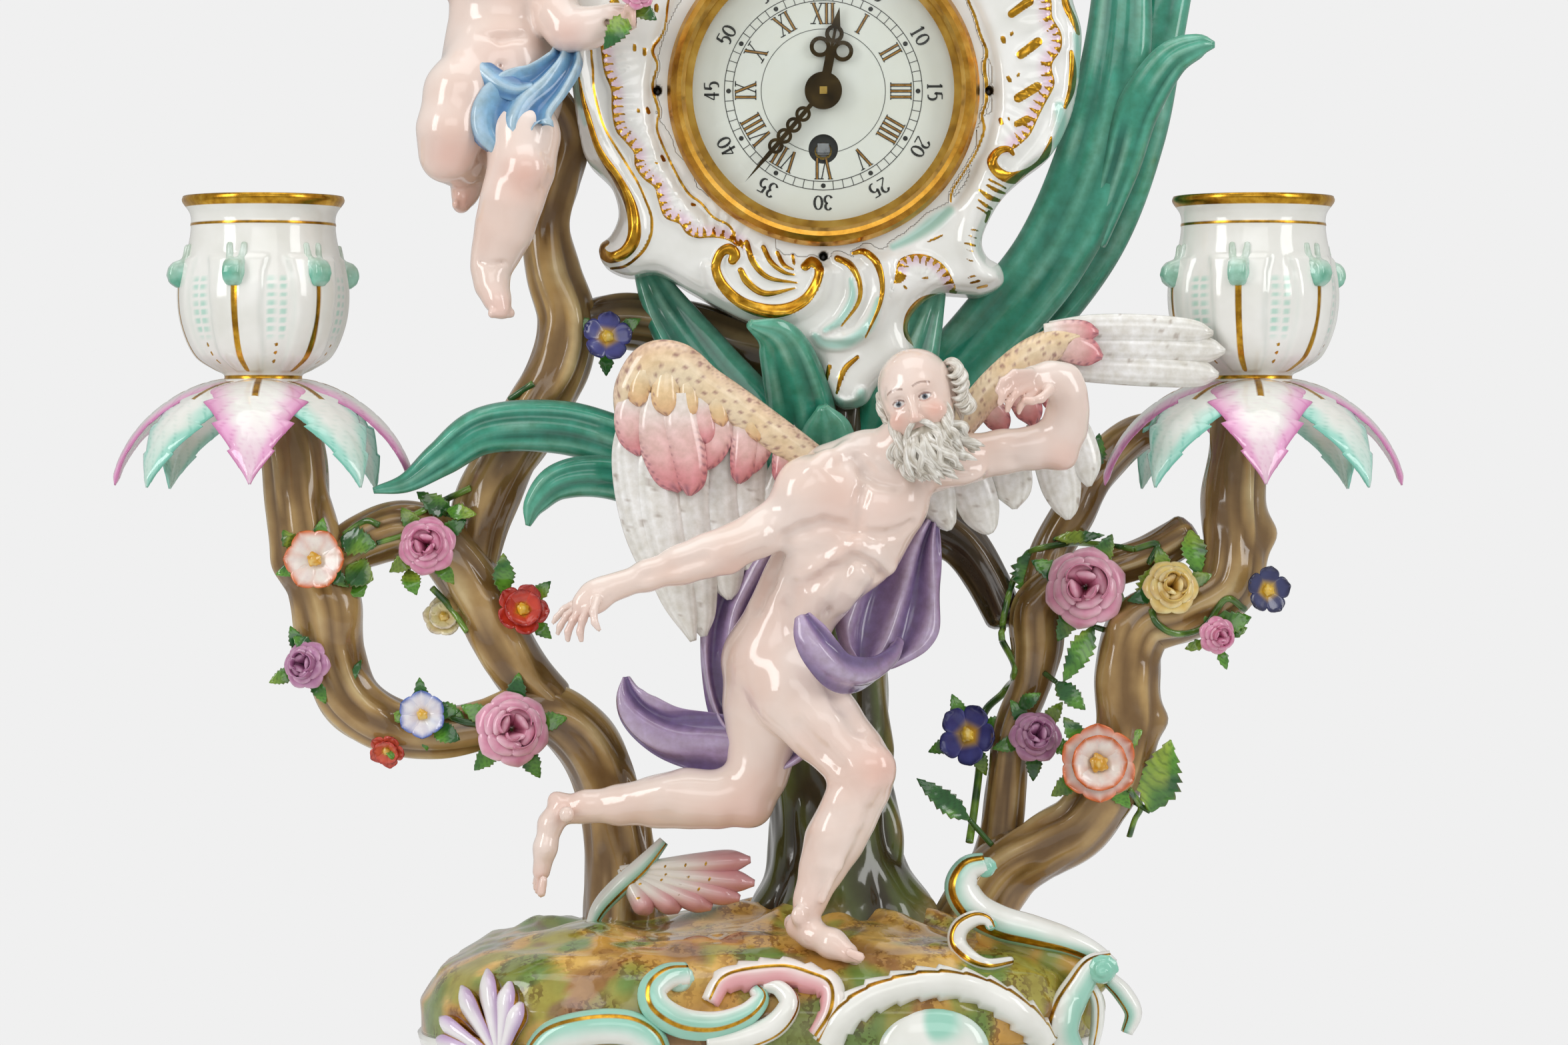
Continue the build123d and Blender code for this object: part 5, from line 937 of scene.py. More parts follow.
flat_points[:, 2] += swell * lift * 0.7 - 1.2 * lift
for root_turn, root_reach in (
    (200, 62), (232, 48), (268, 44), (305, 56), (340, 66), (28, 60), (90, 50), (150, 60)
):
    line = np.array((math.cos(math.radians(root_turn)), math.sin(math.radians(root_turn))))
    start = np.array((25.0, 0.0))
    offset = flat_points[:, :2] - start
    run = offset @ line
    side = np.abs(offset[:, 0] * line[1] - offset[:, 1] * line[0])
    ridge = eased(side, 9.0, 1.0) * eased(run, root_reach, root_reach * 0.4) * (run > 0)
    flat_points[:, 2] += ridge * 5.0 * lift
count = len(steps)
faces = ring_quads(count, MOUND_AROUND)
faces.append(tuple(range((count - 1) * MOUND_AROUND, count * MOUND_AROUND)))
faces.append(tuple(reversed(range(MOUND_AROUND))))
paint = mound_paint(flat_points)
make("mound_grass", flat_points, faces, mound_glaze, replaced=("base_mound",), paint=paint)


# The case: a relief carved over a thick slab, with its gilding and colours painted on
CASE_FACE = -24.0
CASE_BACK = 20.0
DIAL_MIDDLE = (20.3098, 356.2756)


def drawn(points, spacing=0.8, depth=CASE_FACE, scale=PICTURE_SCALE):
    """A smooth line through (across, down, half width) points, as (x, z, half width) in mm."""
    line = []
    for across, down, half in points:
        place = at(across, down, depth)
        line.append((place[0], place[2], 0.0, half * scale))
    fine, _ = curve_through(line, spacing)
    return fine[:, (0, 1, 3)]


def away_from(line, x, z, margin=6.0):
    """How far points lie outside a line's half width and along it, that half width, and the side."""
    shape = x.shape
    x = x.ravel()
    z = z.ravel()
    edge = np.full(x.shape, 99.0)
    run = np.zeros(x.shape)
    half = np.ones(x.shape)
    side = np.zeros(x.shape)
    reach = margin + line[:, 2].max()
    near = np.flatnonzero(
        (x > line[:, 0].min() - reach) & (x < line[:, 0].max() + reach)
        & (z > line[:, 1].min() - reach) & (z < line[:, 1].max() + reach)
    )
    best = np.full(len(near), 99.0)
    best_run = np.zeros(len(near))
    best_half = np.ones(len(near))
    best_side = np.zeros(len(near))
    px = x[near]
    pz = z[near]
    gone = 0.0
    for start, end in zip(line, line[1:]):
        run_x = end[0] - start[0]
        run_z = end[1] - start[1]
        length = math.hypot(run_x, run_z)
        if length < 1e-6:
            continue
        share = np.clip(((px - start[0]) * run_x + (pz - start[1]) * run_z) / length**2, 0, 1)
        off_x = px - start[0] - share * run_x
        off_z = pz - start[1] - share * run_z
        width = start[2] + (end[2] - start[2]) * share
        distance = np.hypot(off_x, off_z) - width
        nearer = distance < best
        best = np.where(nearer, distance, best)
        best_run = np.where(nearer, gone + share * length, best_run)
        best_half = np.where(nearer, width, best_half)
        best_side = np.where(nearer, np.sign(run_x * off_z - run_z * off_x), best_side)
        gone += length
    edge[near] = best
    run[near] = best_run
    half[near] = best_half
    side[near] = best_side
    return edge.reshape(shape), run.reshape(shape), half.reshape(shape), side.reshape(shape)


def inside_line(corners, x, z):
    """Signed distance to a closed outline of (x, z) corners: negative inside."""
    best = np.full(x.shape, 1e9)
    inside = np.zeros(x.shape, bool)
    for start, end in zip(corners, np.roll(corners, -1, axis=0)):
        run = end - start
        off_x = x - start[0]
        off_z = z - start[1]
        share = np.clip((off_x * run[0] + off_z * run[1]) / max(float(run @ run), 1e-9), 0, 1)
        best = np.minimum(best, (off_x - share * run[0]) ** 2 + (off_z - share * run[1]) ** 2)
        crosses = (start[1] > z) != (end[1] > z)
        slope = run[0] / run[1] if abs(run[1]) > 1e-9 else 0.0
        inside ^= crosses & (x < start[0] + (z - start[1]) * slope)
    return np.sqrt(best) * np.where(inside, -1, 1)


def closed_curve(points, spacing=1.0, depth=CASE_FACE):
    """A smooth closed outline through front-view points, as (x, z) in mm."""
    ring = [at(across, down, depth) for across, down in points]
    ring = ring[-2:] + ring + ring[:2]
    fine, run = curve_through([(place[0], place[2], 0.0) for place in ring], spacing)
    from_start = np.hypot(fine[:, 0] - ring[2][0], fine[:, 1] - ring[2][2])
    first = np.argmin(from_start + (run > run[-1] / 2) * 1e6)
    last = np.argmin(from_start + (run < run[-1] / 2) * 1e6)
    return fine[first:last, :2]


case_outline = (
    (1235, -284), (1300, -274), (1345, -240), (1410, -214), (1480, -190), (1556, -142), (1596, -66),
    (1612, 0), (1624, 44), (1622, 92), (1618, 130), (1606, 178), (1580, 228), (1540, 261), (1511, 288),
    (1488, 323), (1474, 359), (1482, 384), (1502, 398), (1506, 424), (1476, 441), (1444, 440),
    (1406, 440), (1376, 462), (1362, 490), (1372, 526), (1350, 552), (1317, 578), (1298, 606),
    (1262, 612), (1235, 580), (1218, 540), (1160, 496), (1105, 474), (1035, 436), (985, 408), (941, 412),
    (905, 396), (898, 368), (916, 350), (927, 318), (914, 276), (880, 240), (868, 200), (857, 125),
    (850, 50), (834, -36), (862, -116), (925, -178), (1000, -202), (1075, -222), (1150, -264)
)
# Strokes of the relief: kind, rise in mm, and (across, down, half width) points
case_strokes = (
    (
        "white", 2.6,
        (
            (862, 60, 12), (872, 120, 14), (888, 190, 16), (915, 250, 20), (942, 300, 24),
            (950, 350, 24), (925, 385, 20)
        )
    ),
    (
        "white", 2.2,
        (
            (1480, 250, 16), (1476, 290, 22), (1462, 330, 22), (1456, 370, 20), (1474, 408, 20),
            (1488, 420, 18)
        )
    ),
    (
        "white", 2.4,
        (
            (1600, -40, 10), (1612, 30, 12), (1610, 100, 12), (1600, 160, 12), (1572, 215, 12),
            (1530, 258, 10)
        )
    ),
    ("white", 2.0, ((1240, 505, 8), (1290, 500, 14), (1320, 455, 16), (1322, 405, 14), (1300, 380, 10))),
    ("white", 1.8, ((1232, 500, 6), (1262, 478, 12), (1282, 440, 12), (1276, 404, 10), (1256, 388, 8))),
    ("white", 1.6, ((1432, 470, 5), (1400, 452, 8), (1374, 466, 9), (1360, 496, 9), (1370, 518, 8))),
    (
        "white", 2.4,
        (
            (1060, 400, 8), (1074, 440, 10), (1120, 470, 12), (1180, 476, 12), (1225, 450, 10),
            (1240, 405, 8)
        )
    ),
    ("mint", 1.4, ((1222, 504, 6), (1238, 516, 9), (1272, 514, 10), (1304, 488, 10), (1318, 450, 6))),
    ("mint", 1.0, ((1238, 496, 5), (1262, 480, 8), (1278, 448, 7), (1276, 420, 4))),
    ("mint", 3.2, ((1254, 602, 8), (1268, 612, 12), (1288, 606, 13), (1292, 590, 8))),
    ("mint", 0.5, ((1340, 370, 7), (1368, 356, 10), (1400, 334, 14), (1424, 316, 9))),
    ("mint", 1.2, ((1588, 160, 9), (1592, 188, 12), (1586, 216, 8))),
    ("mint", 0.8, ((1614, 54, 7), (1618, 84, 9), (1616, 112, 7))),
    ("mint", 0.9, ((862, 66, 8), (862, 110, 10), (870, 156, 8), (878, 186, 5))),
    ("mint", 0.9, ((878, 244, 7), (900, 268, 9), (914, 300, 9), (920, 330, 6))),
    ("mint", 1.4, ((900, -110, 9), (950, -160, 12), (1010, -178, 9))),
    ("mint", 1.4, ((1560, -100, 9), (1510, -152, 12), (1450, -172, 9))),
    (
        "gold", 1.5,
        (
            (869, 118, 1.6), (874, 145, 3), (881, 170, 4), (898, 224, 5), (926, 268, 7), (945, 305, 8.5),
            (952, 337, 9.5), (950, 362, 10), (937, 380, 9), (918, 387, 8), (905, 381, 7), (901, 370, 6),
            (909, 364, 5)
        )
    ),
    (
        "gold", 0.3,
        (
            (886, 62, 1.8), (889, 100, 1.8), (891, 133, 1.8), (898, 165, 1.8), (909, 196, 1.8),
            (937, 242, 1.8), (957, 275, 1.8), (968, 300, 1.8), (977, 325, 2.2), (977, 350, 2.2),
            (968, 372, 2.4), (954, 388, 2.2), (936, 400, 2), (915, 402, 1.6)
        )
    ),
    (
        "gold", 1.8,
        (
            (1099, 391, 7), (1103, 382, 8), (1093, 374, 8), (1080, 382, 7), (1074, 404, 7),
            (1086, 431, 8), (1113, 455, 9), (1149, 467, 10.5), (1183, 464, 9.5), (1210, 448, 8),
            (1226, 421, 7), (1228, 402, 7), (1218, 393, 8), (1208, 400, 7)
        )
    ),
    ("gold", 1.0, ((1120, 364, 4), (1130, 394, 4.5), (1153, 417, 3.5), (1195, 425, 1.4))),
    ("gold", 1.0, ((1145, 371, 3.6), (1157, 394, 4), (1176, 409, 3), (1191, 413, 1.4))),
    ("gold", 0.9, ((1166, 379, 3), (1176, 398, 3.4), (1190, 405, 1.4))),
    ("gold", 0.7, ((1189, 383, 2.4), (1191, 396, 2.2))),
    ("gold", 1.1, ((1111, 406, 4.5), (1122, 425, 5.5), (1149, 441, 4.5), (1192, 433, 1.4))),
    ("gold", 0.9, ((1256, 388, 5), (1275, 398, 5.5), (1289, 425, 4), (1287, 455, 3), (1262, 490, 1.2))),
    (
        "gold", 0.9,
        (
            (1280, 380, 3), (1296, 378, 5), (1314, 394, 5.5), (1323, 425, 4), (1319, 459, 3),
            (1298, 507, 1.2)
        )
    ),
    (
        "gold", 0.9,
        (
            (1434, 452, 3), (1409, 444, 4.5), (1382, 452, 5.5), (1364, 474, 6), (1361, 501, 5),
            (1376, 517, 5)
        )
    ),
    (
        "gold", 1.6,
        (
            (1519, 232, 3), (1512, 225, 4.5), (1497, 228, 6), (1487, 243, 7.5), (1496, 259, 8),
            (1515, 267, 8), (1539, 261, 7.5), (1560, 246, 6.5), (1572, 225, 5), (1576, 207, 1.6)
        )
    ),
    (
        "gold", 0.35,
        (
            (1440, -40, 2), (1452, 0, 2), (1462, 24, 2.2), (1470, 51, 2.2), (1480, 78, 2.4),
            (1476, 99, 2.8), (1480, 129, 2.8), (1479, 153, 2.4), (1473, 174, 2.2), (1476, 195, 2.2),
            (1464, 228, 2), (1444, 261, 2), (1429, 285, 2), (1426, 303, 1.6)
        )
    ),
    (
        "gold", 0.35,
        (
            (1012, -40, 1.8), (1003, 0, 1.8), (996, 46, 1.8), (979, 75, 2.4), (986, 98, 1.8),
            (979, 130, 2.2), (988, 168, 2), (986, 196, 1.8), (1007, 246, 1.8), (1031, 288, 2),
            (1052, 305, 1.8), (1070, 326, 1.8), (1095, 340, 1.8), (1105, 366, 1.8)
        )
    ),
    ("gold", 0.8, ((1592, -20, 5), (1600, 10, 6), (1610, 30, 6), (1617, 49, 4))),
    ("gold", 0.8, ((1606, 79, 3), (1609, 104, 6), (1607, 134, 6), (1597, 162, 3))),
    ("gold", 0.7, ((1517, 22, 6), (1543, 3, 7))), ("gold", 0.7, ((1531, 83, 7), (1556, 64, 7))),
    ("gold", 0.7, ((1527, 148, 7), (1555, 131, 7))), ("gold", 0.5, ((1525, 187, 5), (1540, 180, 6))),
    ("gold", 0.2, ((1504, 58, 3.6), (1505, 63, 3.6))), ("gold", 0.2, ((1516, 54, 2), (1518, 50, 2.6))),
    ("gold", 0.2, ((1512, 117, 3), (1514, 122, 3.2))), ("gold", 0.2, ((1526, 115, 2), (1528, 112, 2.2))),
    ("gold", 0.2, ((1500, 180, 3), (1502, 186, 3))), ("gold", 0.2, ((1512, 178, 1.6), (1513, 181, 1.6))),
    ("gold", 0.2, ((952, 70, 3), (952, 76, 3))), ("gold", 0.2, ((967, 75, 3), (967, 82, 3.4))),
    ("gold", 0.2, ((958, 165, 2), (958, 169, 2))), ("gold", 0.2, ((971, 163, 2.6), (973, 169, 3.2))),
    ("gold", 0.2, ((993, 235, 2.6), (996, 241, 2.8))), ("gold", 0.2, ((984, 245, 1.6), (986, 246, 1.6))),
    ("gold", 0.2, ((1038, 307, 2.4), (1042, 308, 2.4))), ("gold", 0.2, ((985, 10, 3.4), (985, 16, 3.4))),
    ("gold", 0.6, ((1226, 548, 3), (1222, 568, 2.4))),
    ("gold", 0.6, ((1244, 550, 3.4), (1238, 576, 2.4))),
    ("gold", 0.6, ((1286, 536, 3), (1266, 556, 4.5), (1255, 590, 2))),
    ("gold", 0.3, ((1483, 271, 2), (1509, 282, 1.4))),
    ("gold", 0.4, ((1480, 279, 2), (1494, 286, 3), (1509, 289, 1.4))),
    ("gold", 0.5, ((1468, 286, 1.6), (1484, 297, 4), (1502, 300, 2))),
    ("gold", 0.4, ((1467, 301, 1.4), (1478, 309, 2.8), (1489, 313, 1.4))),
    ("gold", 0.3, ((1465, 312, 1.2), (1480, 320, 1.8))), ("gold", 0.4, ((1484, 318, 3), (1479, 332, 2))),
    ("gold", 0.2, ((1456, 345, 1.2), (1467, 347, 1.2))),
    ("gold", 0.2, ((1453, 355, 1.2), (1464, 357, 1.2))),
    ("gold", 0.2, ((1447, 366, 1.4), (1462, 369, 2))),
    ("gold", 0.2, ((1449, 376, 1.2), (1459, 377, 1.2))),
    ("gold", 0.2, ((1450, 390, 1.2), (1459, 393, 1.2))),
    ("gold", 0.2, ((1453, 417, 1.4), (1463, 414, 1.4))),
    ("gold", 0.2, ((1456, 425, 1.6), (1468, 422, 2))), ("gold", 0.2, ((1466, 432, 1.6), (1480, 429, 2))),
    ("gold", 0.2, ((1392, 363, 1.2), (1404, 358, 1.8), (1414, 353, 1.0))),
    ("gold", 0.2, ((1356, 430, 2), (1359, 433, 2))), ("gold", 0.2, ((1384, 418, 1.6), (1392, 417, 1.8))),
    ("gold", 1.2, ((868, -60, 4), (880, -104, 7), (920, -146, 8), (968, -160, 6), (980, -140, 5))),
    ("gold", 1.2, ((1592, -56, 4), (1578, -104, 7), (1536, -146, 8), (1488, -158, 6), (1478, -138, 5))),
    ("gold", 1.2, ((1120, -196, 4), (1160, -236, 7), (1235, -262, 8), (1308, -236, 7), (1350, -196, 4))),
    ("gold", 0.8, ((1235, -246, 3), (1235, -200, 5))),
    ("gold", 0.8, ((1205, -238, 3), (1190, -196, 4.5))),
    ("gold", 0.8, ((1265, -238, 3), (1280, -196, 4.5)))
)
# Scalloped shell borders: (across, down) points of the gilt edge, the border's width and its side
case_borders = (
    (
        (
            (912, 10), (900, 40), (903, 77), (908, 110), (918, 136), (919, 166), (925, 196), (938, 212),
            (952, 230), (954, 250), (966, 268), (983, 282), (988, 300), (998, 326), (1020, 336),
            (1030, 350), (1046, 357), (1070, 356), (1092, 360), (1105, 368)
        ),
        27, 1
    ),
    (
        (
            (1568, -60), (1562, -30), (1575, 0), (1577, 27), (1590, 51), (1590, 74), (1578, 93),
            (1576, 106), (1580, 128), (1566, 156), (1557, 174), (1543, 203), (1524, 221)
        ),
        30, -1
    ),
    (
        ((1344, 410), (1350, 391), (1371, 383), (1394, 386), (1413, 398), (1424, 413), (1433, 432)), 24,
        -1
    ),
    (
        (
            (1100, -214), (1130, -250), (1180, -268), (1235, -276), (1290, -268), (1340, -246),
            (1372, -212)
        ),
        26, -1
    )
)


def case_relief(x, z):
    """Rise above the case's face, colour and gilding at points of the front view."""
    rise = np.zeros(x.shape)
    paint = np.tile(shade("f4f5f3"), (*x.shape, 1))
    gilt = np.zeros(x.shape)
    radius = np.hypot(x - DIAL_MIDDLE[0], z - DIAL_MIDDLE[1])
    rise += eased(radius, 52.5, 57.0) * 2.2 - eased(radius, 60.0, 70.0) * 0.6
    places = np.stack((x, np.zeros(x.shape), z), -1).reshape(-1, 3)
    rise += (cloud(places, 11.0, 5).reshape(x.shape) - 0.5) * 0.9 * eased(radius, 56.0, 62.0)
    for edge_points, width, side in case_borders:
        line = drawn([(across, down, 1.2) for across, down in edge_points])
        edge, run, _, on_side = away_from(line, x, z, 12.0)
        reach = width * PICTURE_SCALE
        within = np.where(on_side == side, np.clip(edge, 0, None), 99.0)
        ripple = 0.5 + 0.5 * np.cos(run * math.tau / 2.7)
        zone = eased(within, reach * 2.1, reach * 0.9)
        lip = np.where(edge < 1.4, 0.9 * np.clip(1 - edge / 1.4, 0, 1), 0)
        rise += zone * (0.55 * ripple + 0.5) + lip
        pink = eased(within, reach * 0.85, reach * 0.15) * 0.75
        paint = mix(paint, shade("e3bcd6"), pink)
        teeth = np.abs((run / 2.7) % 1.0 - 0.5) * 2
        spike = within - reach * 0.62 * np.clip(teeth - 0.42, 0, 1) / 0.58
        gilt = np.maximum(gilt, np.where(on_side == side, np.clip(0.5 - spike / 0.5, 0, 1), 0))
        gilt = np.maximum(gilt, np.clip(0.5 - edge / 0.45, 0, 1))
    for kind, height, stroke_points in case_strokes:
        line = drawn(stroke_points)
        edge, _, half, _ = away_from(line, x, z)
        crown = np.sqrt(np.clip(1 - np.clip((edge + half) / (half * 1.1 + 0.2), 0, 1) ** 2, 0, 1))
        if kind == "white":
            crown = eased(edge, half * 0.4, -half)
        rise = rise + crown * height
        if kind == "gold":
            gilt = np.maximum(gilt, np.clip(0.5 - edge / 0.45, 0, 1))
        elif kind == "mint":
            paint = mix(paint, shade("a6dcd0"), eased(edge, half * 0.25, -half * 0.8) * 0.85)
    return rise, paint, gilt


CASE_SCREW_REACH = 51.6
screw_holes = [
    (
        DIAL_MIDDLE[0] + CASE_SCREW_REACH * math.cos(math.radians(turn)),
        DIAL_MIDDLE[1] + CASE_SCREW_REACH * math.sin(math.radians(turn))
    )
    for turn in (0, 90, 180, 270)
]
outline = closed_curve(case_outline)
clay = Clay(
    (outline[:, 0].min() - 3, -33.0, outline[:, 1].min() - 3),
    (outline[:, 0].max() + 3, 22.0, outline[:, 1].max() + 3), 0.6
)
grid_x, grid_z = np.meshgrid(clay.axes[0].astype(float), clay.axes[2].astype(float), indexing="ij")
inset = inside_line(outline, grid_x.ravel(), grid_z.ravel()).reshape(grid_x.shape)
rise, _, _ = case_relief(grid_x, grid_z)
ROLL = 7.0
rolled = np.clip(1 + inset / ROLL, 0, 1)
roll = ROLL * (1 - np.sqrt(np.clip(1 - rolled**2, 0, 1)))
face = CASE_FACE - rise * eased(-inset, 0.0, 3.0) + roll
rear = CASE_BACK - roll * 1.4
y = clay.axes[1][None, :, None]
field = np.maximum(face[:, None, :] - y, y - rear[:, None, :])
field = np.maximum(field, inset[:, None, :])
radius = np.hypot(grid_x - DIAL_MIDDLE[0], grid_z - DIAL_MIDDLE[1])
for bore, bore_end in ((43.75, CASE_FACE + 3.4), (38.0, CASE_FACE + 9.6), (34.0, CASE_BACK + 9.0)):
    field = np.maximum(field, -np.maximum((radius - bore)[:, None, :], y - bore_end))
for hole_x, hole_z in screw_holes:
    away = np.hypot(grid_x - hole_x, grid_z - hole_z) - 1.3
    field = np.maximum(field, -np.maximum(away[:, None, :], y - (CASE_FACE + 8.0)))
clay.field = field.astype(np.float32)
points, faces = skin(clay.field, clay.low, clay.step)
points = relaxed(points, faces, 2, 0.4)
_, paint, gilt = case_relief(points[:, 0], points[:, 2])
front_side = eased(points[:, 1], -12.0, -19.0)
gilt = gilt * front_side
paint = mix(shade("f3f4f1"), paint, front_side)
# Painted shade: near black inside each screw hole, and a soft greyish painted shadow round it.
for hole_x, hole_z in screw_holes:
    away = np.hypot(points[:, 0] - hole_x, points[:, 2] - hole_z)
    paint = mix(paint, shade("15110d"), (away < 1.75) * (points[:, 1] > CASE_FACE + 0.25))
    paint = mix(paint, shade("b5aca0"), eased(away, 4.5, 1.5) * 0.35 * front_side)
make(
    "case_porcelain", points, faces, painted_porcelain, replaced=("clock_case", "case_scrolls"),
    paint=paint, gilt=gilt
)


# The winged old man, modelled in clay limb by limb
def flesh_paint(points, normals, warm_spots):
    """A pale glazed flesh tint, pinker in soft patches and at (place, reach, share) spots, with painted
    light where it faces up.
    """
    tint = mix(shade("f0dfd6"), shade("e9c9bb"), eased(cloud(points, 13.0, 3), 0.35, 0.8) * 0.45)
    # Painted light from above: lighter where the surface faces up.
    tint = mix(tint, shade("f4ebe4"), eased(normals[:, 2], 0.1, 0.9) * 0.5)
    for place, reach, share in warm_spots:
        away = np.linalg.norm(points - np.array(place), axis=1)
        tint = mix(tint, shade("e3a08c"), np.exp(-((away / reach) ** 2)) * share)
    return tint


clay = Clay(at(780, 1464, -88), at(1655, 535, -6), 0.62)
# Torso: chest and belly, turned three quarters towards the viewer's right
clay.chain(
    (
        (1164, 1030, -45, 46), (1160, 985, -46, 57), (1186, 925, -48, 55), (1214, 868, -50, 56),
        (1252, 812, -51, 62), (1280, 765, -52, 72)
    ),
    7.0, flat=0.92
)
clay.chain(((1252, 812, -50, 62), (1292, 746, -52, 70), (1318, 712, -54, 56)), 7.0, flat=0.86)
clay.chain(((1300, 820, -54, 52), (1330, 770, -55, 46)), 6.0)
clay.chain(((1240, 880, -54, 42), (1276, 850, -56, 36)), 6.0)
clay.chain(((1240, 700, -52, 30), (1300, 690, -54, 32), (1370, 692, -55, 34)), 6.0)
clay.chain(((1336, 690, -57, 30), (1352, 655, -60, 30)), 5.0)
# Buttock and front leg
clay.chain(((1148, 985, -40, 54), (1162, 1030, -44, 52)), 7.0)
clay.chain(
    (
        (1160, 990, -50, 60), (1196, 1040, -55, 61), (1236, 1088, -60, 53), (1276, 1132, -64, 45),
        (1294, 1160, -66, 41), (1290, 1186, -65, 36), (1270, 1226, -63, 38), (1250, 1264, -62, 38),
        (1232, 1306, -62, 28), (1216, 1348, -62, 20), (1208, 1378, -62, 18)
    ),
    4.5, flat=0.95
)
clay.lump(at(1310, 1152, -71), (6.6, 5.5, 6.6), (0, 40, 0), 3.4)
clay.chain(((1300, 1186, -73, 6), (1282, 1236, -71, 6), (1256, 1300, -70, 5), (1234, 1352, -68, 4)), 2.4)
clay.chain(((1262, 1180, -70, 5), (1250, 1206, -68, 5)), 3.0, True)
clay.chain(
    ((1196, 1392, -61, 17), (1218, 1402, -64, 19), (1248, 1416, -69, 20), (1272, 1430, -73, 15)), 3.0,
    flat=1.1
)
clay.chain(((1190, 1385, -57, 14), (1200, 1400, -58, 14)), 2.0)
clay.lump(at(1198, 1374, -67.5), (2.4, 2.0, 2.8), (0, 0, 0), 3.0)
for across, down, depth, size in (
    (1290, 1436, -80, 7.5), (1288, 1441, -75, 6), (1284, 1445, -71, 5.5), (1278, 1449, -67, 5.2),
    (1270, 1450, -64, 4.8)
):
    clay.chain(((across - 16, down - 7, depth + 1, size * 0.9), (across, down, depth, size)), 1.2)
# Rear leg, stretched behind
clay.chain(
    (
        (1140, 1000, -42, 52), (1144, 1060, -41, 54), (1146, 1110, -42, 48), (1136, 1160, -43, 41),
        (1118, 1192, -43, 38), (1076, 1200, -43, 38), (1030, 1198, -42, 40), (985, 1203, -41, 34),
        (930, 1208, -40, 26), (880, 1210, -39, 20), (852, 1216, -38, 20)
    ),
    4.5
)
clay.lump(at(1126, 1212, -44), (6.2, 6.0, 6.0), (0, 0, 0), 3.0)
clay.chain(
    ((840, 1208, -38, 15), (826, 1236, -39, 17), (818, 1272, -40, 16), (812, 1308, -39, 13)), 2.4,
    flat=1.25
)
clay.chain(((846, 1206, -37, 13), (834, 1200, -37, 12)), 2.0)
clay.lump(at(850, 1222, -46), (2.4, 2.0, 2.6), (0, 0, 0), 1.6)
for across, down, depth, size in (
    (812, 1340, -44, 7.0), (807, 1337, -40, 5.6), (804, 1332, -36, 5.2), (803, 1326, -33, 4.8),
    (804, 1319, -30, 4.4)
):
    clay.chain(((across + 3, down - 20, depth, size * 0.9), (across, down, depth, size)), 1.2)
# Arm stretched to the viewer's left
clay.chain(
    (
        (1262, 722, -54, 44), (1216, 740, -57, 44), (1176, 780, -60, 34), (1136, 802, -62, 30),
        (1098, 820, -64, 28), (1060, 834, -66, 28), (1020, 848, -68, 25), (970, 864, -70, 19),
        (930, 878, -72, 15), (906, 886, -73, 17)
    ),
    4.0, flat=0.92
)
clay.lump(at(1214, 730, -62), (9.5, 6.5, 8.0), (0, 30, 0), 4.0)
clay.lump(at(1092, 846, -64), (3.6, 3.6, 3.0), (0, 0, 0), 2.6)
clay.chain(((906, 886, -73, 16), (892, 896, -74, 20), (876, 908, -75, 18)), 2.6, flat=0.66)
for stations in (
    ((896, 900, -78, 6.4), (890, 918, -81, 6.0), (892, 934, -82, 5.2), (898, 944, -82, 4.4)),
    ((884, 910, -77, 6.4), (874, 930, -79, 6.2), (870, 948, -79, 5.4), (872, 960, -78, 4.6)),
    ((874, 912, -75, 6.4), (860, 930, -76, 6.2), (852, 948, -76, 5.4), (852, 960, -75, 4.6)),
    ((866, 910, -72, 6.0), (850, 924, -73, 5.8), (840, 940, -73, 5.0), (837, 950, -72, 4.2)),
    ((862, 904, -70, 5.6), (846, 914, -70, 5.2), (835, 926, -70, 4.6), (830, 934, -70, 3.8))
):
    clay.chain(stations, 0.9)
# Arm raised at the viewer's right
clay.chain(
    (
        (1352, 706, -52, 38), (1402, 696, -51, 36), (1452, 688, -50, 32), (1504, 678, -49, 29),
        (1552, 672, -49, 28), (1584, 664, -49, 28), (1598, 642, -50, 28), (1602, 612, -52, 26),
        (1602, 586, -54, 22), (1598, 568, -55, 19)
    ),
    4.0, flat=0.94
)
clay.lump(at(1590, 682, -50), (5.4, 5.2, 4.6), (0, 30, 0), 3.0)
clay.lump(at(1430, 706, -58), (10, 5, 5), (0, -5, 0), 4.0)
clay.chain(((1598, 568, -55, 19), (1576, 568, -57, 22), (1550, 572, -60, 23)), 2.6, flat=0.66)
for stations in (
    ((1546, 558, -63, 6.6), (1522, 560, -67, 6.4), (1504, 572, -69, 5.6), (1496, 586, -69, 4.8)),
    ((1542, 568, -63, 6.6), (1518, 576, -67, 6.4), (1504, 592, -69, 5.6), (1500, 605, -69, 4.8)),
    ((1544, 580, -63, 6.6), (1524, 590, -67, 6.2), (1514, 604, -68, 5.4), (1511, 616, -68, 4.6)),
    ((1552, 590, -62, 6.2), (1538, 600, -65, 5.6), (1530, 610, -66, 5.0), (1528, 619, -66, 4.2)),
    ((1576, 584, -62, 7.4), (1562, 598, -65, 6.6), (1548, 602, -67, 5.8), (1538, 600, -67, 5.0))
):
    clay.chain(stations, 0.9)
clay.chain(((1340, 700, -55, 30), (1354, 672, -58, 30), (1366, 650, -60, 29)), 4.0)
